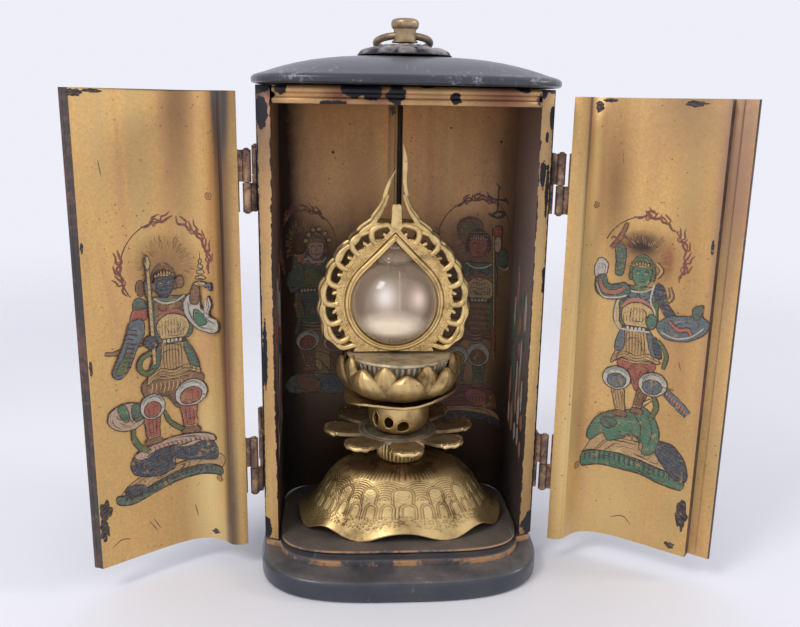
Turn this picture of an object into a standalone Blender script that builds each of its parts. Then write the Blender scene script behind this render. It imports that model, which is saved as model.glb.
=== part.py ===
"""Portable Buddhist shrine: a lacquered cabinet with four curved doors and a jewel reliquary inside.

X runs to the right, Y to the back and Z up. The origin is on the underside of the base, at its centre.
All sizes below are in millimetres and become metres when a mesh is made.
"""
import math

import bmesh
import bpy
from mathutils import Matrix, Vector
from mathutils.geometry import tessellate_polygon

MM = 0.001
GAP = 0.27                    # left between two pieces that touch

# Base and floor
PLAN_POWER = 3.05             # of the rounded rectangle that the base and roof follow
BASE_HALF_X = 41.1
BASE_HALF_Y = 34.9
BASE_STRAIGHT = 7.3           # half-length of the base's straight sides
BASE_TOP = 6.5
STEP_TOP = 8.73
FLOOR_TOP = 10.0

# Cabinet body
BODY_HALF_X = 40.0            # outer face of the side panels
PANEL_THICKNESS = 4.0
PANEL_HALF_Y = 12.4           # outer corner of a side panel's end
MITRE = 1.8                   # how much further the inner corner of that end reaches
CEILING_BOTTOM = 134.7
CEILING_TOP = 139.33

# Doors, as they stand when closed
DOOR_BOTTOM = 7.66
DOOR_TOP = 137.66
DOOR_OUTER = (40.25, 29.25, 5.0)      # half-width, half-depth and power of the outer face
DOOR_INNER = (36.35, 26.5, 6.2)       # the same for the inner face
DOOR_GAP = 0.3                # between a door's end and the side panel
BEVEL_REACH = 1.7             # the plain door's inner corner ends this far from the centre
LIP_SETBACK = 2.8             # the lipped door's inner layer ends this far from the centre
LIP_REACH = 3.3               # its lip passes the centre by this much
LIP_THICKNESS = 1.5
LIP_ROOT = 2.4                # how far the lip strip goes back over its own door

# Hinges
AXIS_X = 42.7
AXIS_Y = 12.4
KNUCKLE_RADIUS = 1.2
BORE_RADIUS = 0.65
PIN_RADIUS = 0.57
LEAF_THICKNESS = 0.8
LEAF_LENGTH = 6.5
UPPER_HINGE = (105.9, 113.9, 122.6)   # bottom, split between the knuckles, top
LOWER_HINGE = (23.4, 31.5, 40.65)
REST_OPEN_LEFT = 142.0        # degrees that the front doors stand open
REST_OPEN_RIGHT = 141.0

# Roof and finial
ROOF_HALF_X = 41.2
ROOF_HALF_Y = 31.7
ROOF_STRAIGHT = 7.0
ROOF_BOTTOM = 139.6
ROOF_TOP = 147.6
ROSETTE_RADIUS = 13.2
ROSETTE_TOP = 151.1
STUD_RADIUS = 3.1
CAP_RADIUS = 3.8
STUD_TOP = 157.8
RING_AXIS_Z = 153.2
RING_RADIUS = 7.6
RING_WIRE = 1.0
RING_HOLE = 1.5
RING_TILT = 12.0              # degrees that the ring hangs below level at rest

# Reliquary
FOOT_X = 0.8                  # the leaf foot stands a little to the right
FOOT_HALF_X = 31.3
FOOT_HALF_Y = 19.5
FOOT_TOP = 29.3
SHELL = 0.8                   # thickness of hammered sheet
COLLAR_RADIUS = 7.4
DISC_BOTTOM = 37.4
DISC_TOP = 38.4
DISC_RADIUS = 11.3
PETAL_REACH = 22.7
PETAL_HALF_WIDTH = 4.8
PETAL_RISE = 1.4              # how much higher the petals' tips are than the disc
PETALS = 8
LEAF_TURN = 4.0               # degrees that the disc and the lotus are turned to the right
BOWL_TOP = 47.8
LOTUS_RADIUS = 18.6
POD_TOP = 63.3
POD_RADIUS = 15.8
JEWEL_X = -1.9
JEWEL_Z = 78.3
CRYSTAL_RADIUS = 12.9
CRYSTAL_DEPTH = 0.9           # depth of the crystal as a share of its width
CRYSTAL_SEAM = 90.2
JEWEL_POINT = 96.8
BEZEL_INNER = 13.2
BEZEL_OUTER = 14.5
BEZEL_HALF_Y = 3.2
PLATE_THICKNESS = 0.9
OPENINGS = 7                  # flame openings on each side of a plate
BOWL_HOLES = (-140, -111, -85, 40, 69, 95)    # headings in degrees, a group in front and one behind
FRONT_TIP = 116.8
BACK_TIP = 123.8

LACQUER = ("black_lacquer", (0.012, 0.012, 0.018), 0.35, 0.0)
GILT = ("aged_gilt", (0.48, 0.29, 0.12), 0.42, 0.35)
BRASS = ("gilt_brass", (0.72, 0.55, 0.28), 0.32, 0.9)
PALE_METAL = ("pale_metal", (0.55, 0.52, 0.50), 0.4, 0.8)
CRYSTAL = ("rock_crystal", (0.82, 0.80, 0.78), 0.05, 0.0)


def clear_scene():
    """Remove every object that the new file came with."""
    for item in list(bpy.data.objects):
        bpy.data.objects.remove(item, do_unlink=True)


def make_material(spec):
    """Return the Principled material for a (name, colour, roughness, metallic) tuple."""
    name, colour, roughness, metallic = spec
    material = bpy.data.materials.get(name)
    if material is None:
        material = bpy.data.materials.new(name)
        material.use_nodes = True
        shader = material.node_tree.nodes["Principled BSDF"]
        shader.inputs["Base Color"].default_value = (*colour, 1.0)
        shader.inputs["Roughness"].default_value = roughness
        shader.inputs["Metallic"].default_value = metallic
    return material


def add_object(name, mesh, spec, parent=None):
    """Turn a bmesh in millimetres into a named object, smooth-shaded except at real edges."""
    bmesh.ops.recalc_face_normals(mesh, faces=mesh.faces)
    bmesh.ops.scale(mesh, vec=(MM, MM, MM), verts=mesh.verts)
    data = bpy.data.meshes.new(name)
    mesh.to_mesh(data)
    mesh.free()
    data.materials.append(make_material(spec))
    data.shade_smooth()
    data.set_sharp_from_angle(angle=math.radians(35))
    item = bpy.data.objects.new(name, data)
    bpy.context.collection.objects.link(item)
    item.parent = parent
    return item


def boolean(item, mesh, operation):
    """Join a helper solid to an object or cut it away; the helper itself isn't part of the model."""
    helper = add_object(f"{item.name}_{operation.lower()}", mesh, LACQUER, item.parent)
    helper.hide_render = True
    helper.display_type = "WIRE"
    modifier = item.modifiers.new(operation.title(), "BOOLEAN")
    modifier.operation = operation
    modifier.solver = "EXACT"
    modifier.object = helper


# ---------------------------------------------------------------- outlines and solids

def superellipse(half_x, half_y, power, count, straight=0.0):
    """Closed outline with flat sides and round corners, as (x, y) points."""
    points = []
    for step in range(count):
        angle = math.tau * (step + 0.5) / count
        across = abs(math.cos(angle)) ** (2 / power) * half_x
        along = abs(math.sin(angle)) ** (2 / power) * (half_y - straight) + straight
        points.append((math.copysign(across, math.cos(angle)), math.copysign(along, math.sin(angle))))
    return points


def face_line(face, from_y, to_x, count):
    """Points along a door face in plan, from depth from_y at the side to width to_x at the front."""
    half_x, half_y, power = face
    start = math.asin((from_y / half_y) ** (power / 2))
    end = math.acos((max(to_x, 0.0) / half_x) ** (power / 2))
    points = []
    for step in range(count + 1):
        angle = start + (end - start) * step / count
        points.append((half_x * math.cos(angle) ** (2 / power), half_y * math.sin(angle) ** (2 / power)))
    return points


def circle(centre, radius, count, start=0.0, sweep=math.tau):
    """Points round a circle, or along an arc of it when sweep is under a full turn."""
    steps = count if sweep >= math.tau else count - 1
    return [(centre[0] + radius * math.cos(start + sweep * step / steps),
             centre[1] + radius * math.sin(start + sweep * step / steps)) for step in range(count)]


def prism(loops, low, high):
    """Closed solid from a flat outline, with holes as further loops, standing from low to high."""
    mesh = bmesh.new()
    flat = [point for loop in loops for point in loop]
    bottom = [mesh.verts.new((x, y, low)) for x, y in flat]
    top = [mesh.verts.new((x, y, high)) for x, y in flat]
    for corners in tessellate_polygon([[Vector((x, y, 0)) for x, y in loop] for loop in loops]):
        mesh.faces.new([bottom[corner] for corner in corners])
        mesh.faces.new([top[corner] for corner in reversed(corners)])
    start = 0
    for loop in loops:
        for step in range(len(loop)):
            here = start + step
            there = start + (step + 1) % len(loop)
            mesh.faces.new((bottom[here], bottom[there], top[there], top[here]))
        start += len(loop)
    return mesh


def loft(rings, closed=False):
    """Closed solid through rings of equally many points, with flat caps unless the rings close up."""
    mesh = bmesh.new()
    verts = [[mesh.verts.new(point) for point in ring] for ring in rings]
    pairs = list(zip(verts, verts[1:]))
    if closed:
        pairs.append((verts[-1], verts[0]))
    else:
        mesh.faces.new(verts[0])
        mesh.faces.new(verts[-1])
    for lower, upper in pairs:
        for step in range(len(lower)):
            after = (step + 1) % len(lower)
            mesh.faces.new((lower[step], lower[after], upper[after], upper[step]))
    return mesh


def turned(profile, count, centre=(0.0, 0.0), closed=False, lobe=None):
    """Solid turned about a vertical line from (radius, height) points.

    lobe, if given, is a function of the angle and the place along the profile that scales the radius.
    """
    rings = []
    for place, (radius, height) in enumerate(profile):
        ring = []
        for step in range(count):
            angle = math.tau * step / count
            reach = radius * (lobe(angle, place) if lobe else 1.0)
            ring.append((centre[0] + reach * math.cos(angle), centre[1] + reach * math.sin(angle), height))
        rings.append(ring)
    return loft(rings, closed)


def placed(loop, sign_x, sign_y, origin=(0.0, 0.0)):
    """Move a plan outline drawn for the +X, +Y quarter into another quarter, relative to origin."""
    return [(sign_x * (x - origin[0]), sign_y * (y - origin[1])) for x, y in loop]


# ---------------------------------------------------------------- cabinet

def base():
    """Slab with a softened edge, and the step that the doors close against."""
    levels = ((0.8, 0.0), (0.0, 0.8), (0.0, 5.9), (0.5, BASE_TOP))
    rings = []
    for inset, height in levels:
        outline = superellipse(BASE_HALF_X - inset, BASE_HALF_Y - inset, PLAN_POWER, 40,
                               BASE_STRAIGHT - inset / 2)
        rings.append([(x, y, height) for x, y in outline])
    item = add_object("base", loft(rings), LACQUER)
    inner_x, inner_y, _ = DOOR_INNER
    shoulder = PANEL_HALF_Y - GAP
    front = face_line((inner_x - GAP, inner_y - GAP, 4.2), shoulder + MITRE, 0.0, 9)
    quarter = [(BODY_HALF_X - GAP, shoulder)] + front[:-1]
    half = quarter + [(-x, y) for x, y in reversed(quarter)]
    outline = half + [(-x, -y) for x, y in half]
    boolean(item, prism([outline], BASE_TOP - 1.0, STEP_TOP), "UNION")


def floor_board():
    """Thin board on the step that the reliquary stands on."""
    half_x = BODY_HALF_X - PANEL_THICKNESS - GAP
    rings = []
    for inset, height in ((0.0, STEP_TOP + GAP), (0.0, FLOOR_TOP - 0.3), (0.3, FLOOR_TOP)):
        rings.append([(x, y, height) for x, y in superellipse(half_x - inset, 23.5 - inset, 4.2, 32)])
    add_object("floor_board", loft(rings), LACQUER)


def side_panels():
    """Two narrow upright panels that carry the hinges; their ends are mitred to meet the doors."""
    inner_x = BODY_HALF_X - PANEL_THICKNESS
    quarter = [(BODY_HALF_X + 0.25, 0.0), (BODY_HALF_X, PANEL_HALF_Y), (inner_x, PANEL_HALF_Y + MITRE)]
    outline = quarter + [(inner_x, -PANEL_HALF_Y - MITRE), (BODY_HALF_X, -PANEL_HALF_Y)]
    for name, side in (("left", -1), ("right", 1)):
        mesh = prism([placed(outline, side, 1)], STEP_TOP + GAP, CEILING_TOP)
        add_object(f"side_panel_{name}", mesh, LACQUER)


def ceiling():
    """Ceiling board under the roof; its edge is a moulding with two ridges and a groove."""
    half_x = BODY_HALF_X - PANEL_THICKNESS - GAP
    levels = ((0.5, 0.0), (0.0, 0.4), (0.0, 1.3), (0.8, 1.6), (0.8, 2.6), (0.0, 2.9), (0.0, 3.9),
              (0.6, CEILING_TOP - CEILING_BOTTOM))
    rings = []
    for inset, rise in levels:
        outline = superellipse(half_x - inset, DOOR_INNER[1] - GAP - inset, 6.2, 24)
        rings.append([(x, y, CEILING_BOTTOM + rise) for x, y in outline])
    add_object("ceiling_moulding", loft(rings), GILT)


def roof():
    """Low domed roof board with a thin rounded rim."""
    levels = ((0.98, 0.0), (1.0, 0.5), (1.0, 1.7), (0.975, 2.4), (0.87, 3.8), (0.70, 5.75), (0.50, 7.15),
              (0.35, ROOF_TOP - ROOF_BOTTOM))
    rings = []
    for scale, rise in levels:
        outline = superellipse(ROOF_HALF_X * scale, ROOF_HALF_Y * scale, PLAN_POWER, 32,
                               ROOF_STRAIGHT * scale)
        rings.append([(x, y, ROOF_BOTTOM + rise) for x, y in outline])
    add_object("roof", loft(rings), LACQUER)


def door_outline(lipped):
    """Plan of a closed door in the +X, +Y quarter, with or without the lip strip over the middle."""
    outer_y = DOOR_OUTER[1]
    start_y = PANEL_HALF_Y + DOOR_GAP
    strip = [(BODY_HALF_X - reach, start_y + rise) for reach, rise in ((0.8, 0.3), (2.2, 0.9), (3.3, 1.65))]
    groove = [(BODY_HALF_X - 3.1, start_y + 2.0)]
    inner = face_line(DOOR_INNER, start_y + 2.1, LIP_SETBACK if lipped else BEVEL_REACH, 10)
    if lipped:
        outer = face_line(DOOR_OUTER, start_y, LIP_ROOT + LIP_SETBACK, 10)
        far_y = outer_y + DOOR_GAP + LIP_THICKNESS
        edge = [(LIP_ROOT + LIP_SETBACK, far_y - 0.4), (LIP_ROOT + LIP_SETBACK - 0.4, far_y),
                (-LIP_REACH + 0.4, far_y), (-LIP_REACH, far_y - 0.4), (-LIP_REACH, outer_y + DOOR_GAP),
                (LIP_SETBACK, outer_y + DOOR_GAP)]
    else:
        outer = face_line(DOOR_OUTER, start_y, 0.5, 10)
        edge = [(DOOR_GAP, outer_y - 0.35)]
    return outer + edge + inner[::-1] + groove + strip[::-1]


def hinge_leaf(face, toward):
    """Plate lying along a side face, and the knuckle with the neck that joins it to the plate.

    face gives the plate's inner surface at a depth y; toward is -1 for the panel's leaf, +1 for a door's.
    """
    near = AXIS_Y + toward * (KNUCKLE_RADIUS + 0.15)
    far = AXIS_Y + toward * LEAF_LENGTH
    inner = [(face(y), y) for y in (near, far)]
    plate = inner + [(x + LEAF_THICKNESS, y) for x, y in inner[::-1]]
    start = math.radians(-100 if toward < 0 else 160)
    arc = circle((AXIS_X, AXIS_Y), KNUCKLE_RADIUS, 9, start, math.radians(300))
    root = [(face(near) + 0.1, near - toward * 0.4), (face(near) + 0.1, near + toward * 1.2)]
    knuckle = arc + (root if toward < 0 else root[::-1])
    return plate, knuckle


def add_leaf(name, face, toward, levels, upper, quarter, parent):
    """One hinge leaf: a full-height plate with a knuckle on its upper or lower half."""
    low, split, high = levels
    sign_x, sign_y = quarter
    origin = (AXIS_X, AXIS_Y) if parent else (0.0, 0.0)
    plate, knuckle = hinge_leaf(face, toward)
    item = add_object(name, prism([placed(plate, sign_x, sign_y, origin)], low, high), BRASS, parent)
    span = (split + 0.12, high) if upper else (low, split - 0.12)
    bore = circle((AXIS_X, AXIS_Y), BORE_RADIUS, 8)
    loops = [placed(loop, sign_x, sign_y, origin) for loop in (knuckle, bore)]
    boolean(item, prism(loops, *span), "UNION")


def door_with_hinges(place, side, lipped, rest_open):
    """A door, turned open about its hinge line, with both hinges and the panel's leaves and pins."""
    quarter = (1 if side == "right" else -1, -1 if place == "front" else 1)
    axis = bpy.data.objects.new(f"axis_{place}_{side}", None)
    bpy.context.collection.objects.link(axis)
    axis.location = (quarter[0] * AXIS_X * MM, quarter[1] * AXIS_Y * MM, 0.0)
    axis.rotation_euler = (0.0, 0.0, -quarter[0] * quarter[1] * math.radians(rest_open))
    outline = placed(door_outline(lipped), *quarter, origin=(AXIS_X, AXIS_Y))
    add_object(f"door_{place}_{side}", prism([outline], DOOR_BOTTOM, DOOR_TOP), GILT, axis)

    half_x, half_y, power = DOOR_OUTER
    panel_face = BODY_HALF_X + 0.25 + GAP / 2
    door_leaf_is_upper = side == "left"
    for level, levels in (("upper", UPPER_HINGE), ("lower", LOWER_HINGE)):
        stem = f"hinge_{place}_{side}_{level}"
        add_leaf(f"{stem}_panel_leaf", lambda y: panel_face, -1, levels, not door_leaf_is_upper, quarter,
                 None)
        add_leaf(f"{stem}_door_leaf",
                 lambda y: half_x * (1 - (y / half_y) ** power) ** (1 / power) + GAP / 2 + 0.1,
                 1, levels, door_leaf_is_upper, quarter, axis)
        pin = placed(circle((AXIS_X, AXIS_Y), PIN_RADIUS, 6), *quarter)
        add_object(f"{stem}_pin", prism([pin], levels[0] - 0.2, levels[2] + 0.2), BRASS)


# ---------------------------------------------------------------- finial

def finial():
    """Petalled rosette on the roof, and the stud whose neck the carrying ring passes through."""
    def petals(angle, place):
        return 1.0 + 0.045 * math.cos(12 * angle) * (place < 4)

    profile = ((ROSETTE_RADIUS, 0.0), (ROSETTE_RADIUS, 0.6), (12.3, 1.75), (9.0, 2.15), (5.6, 2.3),
               (4.1, ROSETTE_TOP - ROOF_TOP - GAP))
    levels = [(radius, ROOF_TOP + GAP + rise) for radius, rise in profile]
    add_object("finial_rosette", turned(levels, 24, lobe=petals), PALE_METAL)

    profile = ((STUD_RADIUS + 0.5, ROSETTE_TOP + GAP), (STUD_RADIUS, ROSETTE_TOP + 0.7), (STUD_RADIUS, 154.9),
               (3.35, 155.15), (CAP_RADIUS, 156.0), (CAP_RADIUS, 156.7), (3.2, 157.5), (1.6, STUD_TOP))
    stud = add_object("finial_stud", turned(profile, 16), BRASS)
    hole = prism([circle((0.0, 0.0), RING_HOLE, 10)], -6.0, 6.0)
    bmesh.ops.rotate(hole, matrix=Matrix.Rotation(math.pi / 2, 3, "Y"), verts=hole.verts)
    bmesh.ops.translate(hole, vec=(0.0, 0.0, RING_AXIS_Z), verts=hole.verts)
    boolean(stud, hole, "DIFFERENCE")


def carrying_ring():
    """Ring through the stud, lying back; its origin is on the line that it swings about."""
    sag = RING_RADIUS - math.sqrt(RING_RADIUS ** 2 - STUD_RADIUS ** 2)
    rings = []
    for step in range(20):
        angle = math.tau * step / 20
        centre = Vector((RING_RADIUS * math.sin(angle), RING_RADIUS * (1 - math.cos(angle)) - sag / 2, 0.0))
        outward = Vector((math.sin(angle), -math.cos(angle), 0.0))
        rings.append([centre + outward * RING_WIRE * math.cos(turn) + Vector((0, 0, RING_WIRE * math.sin(turn)))
                      for turn in (math.tau * side / 7 for side in range(7))])
    item = add_object("finial_ring", loft(rings, closed=True), BRASS)
    item.location = (0.0, 0.0, RING_AXIS_Z * MM)
    item.rotation_euler = (-math.radians(RING_TILT), 0.0, 0.0)


# ---------------------------------------------------------------- reliquary

def rim_height(angle):
    """Height of the leaf foot's wavy rim: low front lobes, higher at the two sides."""
    return 11.7 + 1.45 * math.cos(8 * (angle + math.pi / 2)) + 0.6 * math.cos(angle) ** 2


def leaf_foot():
    """Thin hammered dome like an upturned lotus leaf, open below, with a wavy rim."""
    profile = ((0.25, FOOT_TOP), (0.42, 28.7), (0.59, 26.7), (0.73, 22.4), (0.81, 18.4), (0.89, 15.2),
               (1.0, 12.0))
    count = 36
    rings = []
    for thickness, places in ((SHELL, profile), (0.0, profile[::-1])):
        for scale, height in places:
            waviness = max(0.0, (scale - 0.72) / 0.28) ** 2
            ring = []
            for step in range(count):
                angle = math.tau * step / count
                across = abs(math.cos(angle)) ** (2 / 2.3) * (FOOT_HALF_X * scale - thickness)
                along = abs(math.sin(angle)) ** (2 / 2.3) * (FOOT_HALF_Y * scale - thickness)
                level = height + waviness * (rim_height(angle) - 12.0)
                drop = thickness * (1.0 - waviness)
                ring.append((FOOT_X + math.copysign(across, math.cos(angle)),
                             math.copysign(along, math.sin(angle)), level - drop))
            rings.append(ring)
    add_object("leaf_foot", loft(rings), BRASS)


def petal_disc():
    """Flat disc whose eight petals rise a little towards their tips."""
    mesh = bmesh.new()
    root = math.pi / PETALS * 0.72
    corners = [(DISC_RADIUS * math.cos(root), -DISC_RADIUS * math.sin(root))]
    middle = (PETAL_REACH - PETAL_HALF_WIDTH, 0.0)
    corners += circle(middle, PETAL_HALF_WIDTH, 7, -math.pi * 0.45, math.pi * 0.9)
    corners.append((corners[0][0], -corners[0][1]))
    layers = []
    for level in (DISC_BOTTOM, DISC_TOP):
        petals = []
        for petal in range(PETALS):
            turn = Matrix.Rotation(math.tau * petal / PETALS + math.radians(LEAF_TURN), 2)
            line = []
            for x, y in corners:
                out = max(0.0, (x - corners[0][0]) / (PETAL_REACH - corners[0][0]))
                line.append(mesh.verts.new((*(turn @ Vector((x, y))), level + PETAL_RISE * out)))
            petals.append(line)
            for step in range(len(line) // 2):
                far = len(line) - 1 - step
                inner = line[step + 1:far] if far - step == 2 else [line[step + 1], line[far - 1]]
                mesh.faces.new([line[step], *inner, line[far]])
        mesh.faces.new([line[place] for line in petals for place in (0, -1)])
        layers.append([vert for line in petals for vert in line])
    bottom, top = layers
    for here in range(len(top)):
        there = (here + 1) % len(top)
        mesh.faces.new((bottom[here], bottom[there], top[there], top[here]))
    add_object("petal_disc", mesh, BRASS)


def stem():
    """Ribbed collar, pierced bowl and wavy leaf cup, below and above the petal disc."""
    def ribs(angle, place):
        return 1.0 + 0.05 * math.cos(20 * angle)

    low = FOOT_TOP + GAP
    profile = ((6.6, low), (COLLAR_RADIUS, low + 0.8), (COLLAR_RADIUS, 34.4), (6.3, DISC_BOTTOM - GAP))
    add_object("ribbed_collar", turned(profile, 40, (FOOT_X, 0.0), lobe=ribs), BRASS)

    outer = ((6.0, 0.0), (8.3, 2.0), (9.2, 4.8), (8.9, BOWL_TOP - DISC_TOP - GAP))
    bottom = DISC_TOP + GAP
    profile = [(radius, bottom + rise) for radius, rise in outer]
    profile += [(radius - SHELL, max(bottom + rise, bottom + SHELL)) for radius, rise in outer[::-1]]
    bowl = add_object("pierced_bowl", turned(profile, 16), BRASS)
    holes = bmesh.new()
    for heading in BOWL_HOLES:
        cutter = bmesh.ops.create_cone(holes, cap_ends=True, segments=6, radius1=1.25, radius2=1.25,
                                       depth=4.0)
        turn = Matrix.Rotation(math.radians(heading), 4, "Z")
        place = turn @ Matrix.Translation((9.0, 0.0, bottom + 4.4)) @ Matrix.Rotation(math.pi / 2, 4, "Y")
        bmesh.ops.transform(holes, matrix=place, verts=cutter["verts"])
    boolean(bowl, holes, "DIFFERENCE")

    levels = ((7.4, BOWL_TOP), (10.5, BOWL_TOP + 0.3), (14.0, BOWL_TOP + 1.6), (17.0, BOWL_TOP + 3.4))
    rings = []
    for lift, places in ((0.0, levels), (0.6, levels[::-1])):
        for radius, height in places:
            wave = (max(0.0, radius - 9.5) / 7.5) ** 2
            ring = []
            for step in range(20):
                angle = math.tau * step / 20
                reach = radius * (1.0 + 0.03 * wave * math.cos(5 * angle))
                droop = 0.9 * math.exp(-(math.remainder(angle - math.pi, math.tau) / 0.5) ** 2)
                sway = 1.1 * math.cos(angle) + 0.3 * math.cos(5 * angle + 4.6) - 0.4 - droop
                level = height + lift + wave * sway
                ring.append((reach * math.cos(angle), reach * math.sin(angle), level))
            rings.append(ring)
    add_object("leaf_cup", loft(rings), BRASS)


def lotus():
    """Cup of overlapping petals, and the ribbed seed pod with its flat top inside it."""
    bottom = BOWL_TOP + 2.4
    outer = ((7.5, 0.0), (11.8, 1.9), (15.4, 4.4), (17.6, 7.4), (LOTUS_RADIUS, 10.2))
    count = 24
    rings = []
    for thickness, places in ((0.0, outer), (1.0, outer[::-1])):
        for radius, rise in places:
            ring = []
            for step in range(count):
                angle = math.tau * step / count + math.radians(LEAF_TURN)
                petal = abs(math.cos(4 * (angle + math.pi / 2 - math.radians(LEAF_TURN))))
                bulge = 1.0 + 0.035 * (petal - 0.5) * rise / 10.2
                reach = (radius - thickness) * bulge
                tip = (petal - 0.55) * 2.2 * max(0.0, rise - 7.4) / 2.8
                floor = thickness if rise == 0.0 else 0.0
                ring.append((reach * math.cos(angle), reach * math.sin(angle), bottom + rise + tip + floor))
            rings.append(ring)
    add_object("lotus_cup", loft(rings), BRASS)

    profile = ((6.0, bottom + 1.6), (9.9, bottom + 3.0), (13.3, bottom + 5.6), (15.0, bottom + 8.2),
               (POD_RADIUS, POD_TOP - 0.9), (POD_RADIUS - 0.3, POD_TOP))
    add_object("seed_pod", turned(profile, 24), BRASS)


def jewel_loop(radius, point, count=28):
    """Outline of the jewel: a circle with two straight shoulders up to a point, as (x, z)."""
    loop = []
    shoulder = math.acos(radius / point)
    for step in range(count):
        angle = math.tau * step / count + math.pi / 2
        away = abs(math.remainder(angle - math.pi / 2, math.tau))
        reach = radius / math.cos(max(0.0, shoulder - away))
        loop.append((reach * math.cos(angle), reach * math.sin(angle)))
    return loop


def stand_up(mesh, centre_x, base_z):
    """Turn a solid drawn flat in XY so that it stands facing -Y, about (centre_x, base_z)."""
    bmesh.ops.rotate(mesh, matrix=Matrix.Rotation(math.pi / 2, 3, "X"), verts=mesh.verts)
    bmesh.ops.translate(mesh, vec=(centre_x, 0.0, base_z), verts=mesh.verts)
    return mesh


def flame_outline(tip, inset):
    """Outline of the flame mandorla round the jewel, as (x, z) from the jewel's centre."""
    right = ((9.5, -14.6), (17.0, -14.3), (20.4, -11.6), (22.3, -5.8), (22.7, 0.9), (21.3, 7.4), (18.0, 13.6),
             (12.6, 19.4), (7.9, 24.4), (4.7, 28.8), (3.2, 33.6))
    scaled = [(x - inset, z + inset * (0.6 if z < 0 else -0.4)) for x, z in right]
    smooth = []
    for first, second in zip(scaled, scaled[1:]):
        smooth += [first, ((first[0] + second[0]) / 2 + 0.12, (first[1] + second[1]) / 2 + 0.12)]
    smooth.append(scaled[-1])
    peak = tip - JEWEL_Z
    left = [(-x, z) for x, z in reversed(smooth)]
    return smooth + [(1.8, peak - 6.0), (0.4, peak), (-0.9, peak - 6.0)] + left


def flame_openings(inset):
    """Teardrop openings between the flame tongues, seven down each side."""
    loops = []
    for side in (1, -1):
        for number in range(OPENINGS):
            angle = math.radians(80.0 - 18.1 * number)
            reach = 19.9 - inset + 2.4 * max(0.0, math.sin(angle)) ** 3
            centre = Vector((reach * math.cos(angle), reach * math.sin(angle)))
            lean = angle + math.radians(62)
            drop = []
            for step in range(6):
                turn = math.tau * step / 6
                length = 2.6 if step == 0 else 1.7
                offset = Vector((length * math.cos(turn), 1.35 * math.sin(turn)))
                offset.rotate(Matrix.Rotation(lean, 2))
                drop.append((side * (centre.x + offset.x), centre.y + offset.y))
            loops.append(drop)
    return loops


def jewel():
    """Crystal in its bezel between two pierced flame plates, with the small tab above it."""
    point = JEWEL_POINT - JEWEL_Z
    inner = jewel_loop(BEZEL_INNER, point + 0.6)
    outer = jewel_loop(BEZEL_OUTER, point + 2.2)
    band = prism([outer, inner], -BEZEL_HALF_Y, BEZEL_HALF_Y)
    add_object("jewel_bezel", stand_up(band, JEWEL_X, JEWEL_Z), BRASS)

    around = jewel_loop(BEZEL_OUTER + GAP, point + 2.2 + 2 * GAP)
    for name, depth, tip, inset in (("front", 1.9, FRONT_TIP, 0.9), ("back", -1.9, BACK_TIP, 0.0)):
        loops = [flame_outline(tip, inset), around] + flame_openings(inset)
        plate = prism(loops, depth - PLATE_THICKNESS / 2, depth + PLATE_THICKNESS / 2)
        add_object(f"flame_plate_{name}", stand_up(plate, JEWEL_X, JEWEL_Z), BRASS)

    tab = prism([[(-1.5, 22.6), (0.0, 22.1), (1.5, 22.6), (1.2, 28.9), (-1.2, 28.9)]], 2.65, 3.65)
    add_object("flame_tab", stand_up(tab, JEWEL_X + 0.2, JEWEL_Z), BRASS)

    seam_angle = math.asin((CRYSTAL_SEAM - JEWEL_Z) / CRYSTAL_RADIUS * 0.985)
    profile = []
    for step in range(9):
        angle = -math.pi / 2 * 0.92 + (seam_angle + math.pi / 2 * 0.92) * step / 8
        profile.append((CRYSTAL_RADIUS * math.cos(angle), JEWEL_Z + CRYSTAL_RADIUS * math.sin(angle)))
    ball = turned(profile, 20)
    cap = turned(((profile[-1][0] + 0.2, CRYSTAL_SEAM + 0.1), (4.6, 91.9), (2.2, 93.6), (0.5, 95.6)), 20)
    for name, mesh in (("crystal_jewel", ball), ("crystal_cap", cap)):
        bmesh.ops.scale(mesh, vec=(1.0, CRYSTAL_DEPTH, 1.0), verts=mesh.verts)
        bmesh.ops.translate(mesh, vec=(JEWEL_X, 0.0, 0.0), verts=mesh.verts)
        add_object(name, mesh, CRYSTAL)


def main():
    """Build the whole shrine."""
    clear_scene()
    base()
    floor_board()
    side_panels()
    ceiling()
    roof()
    door_with_hinges("front", "left", False, REST_OPEN_LEFT)
    door_with_hinges("front", "right", True, REST_OPEN_RIGHT)
    door_with_hinges("back", "left", True, 0.0)
    door_with_hinges("back", "right", False, 0.0)
    finial()
    carrying_ring()
    leaf_foot()
    petal_disc()
    stem()
    lotus()
    jewel()


main()
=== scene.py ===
"""Portable Buddhist shrine: the looks of a lacquered cabinet with painted doors round a jewel reliquary.

X runs to the right, Y to the back and Z up. Shapes are drawn in millimetres and become metres in meshes.
"""
from __future__ import annotations

import logging
import math
import random
from dataclasses import dataclass, field
from enum import Enum
from typing import Callable, Sequence

import bmesh
import bpy
from mathutils import Matrix, Vector, noise
from mathutils.geometry import tessellate_polygon

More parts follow.
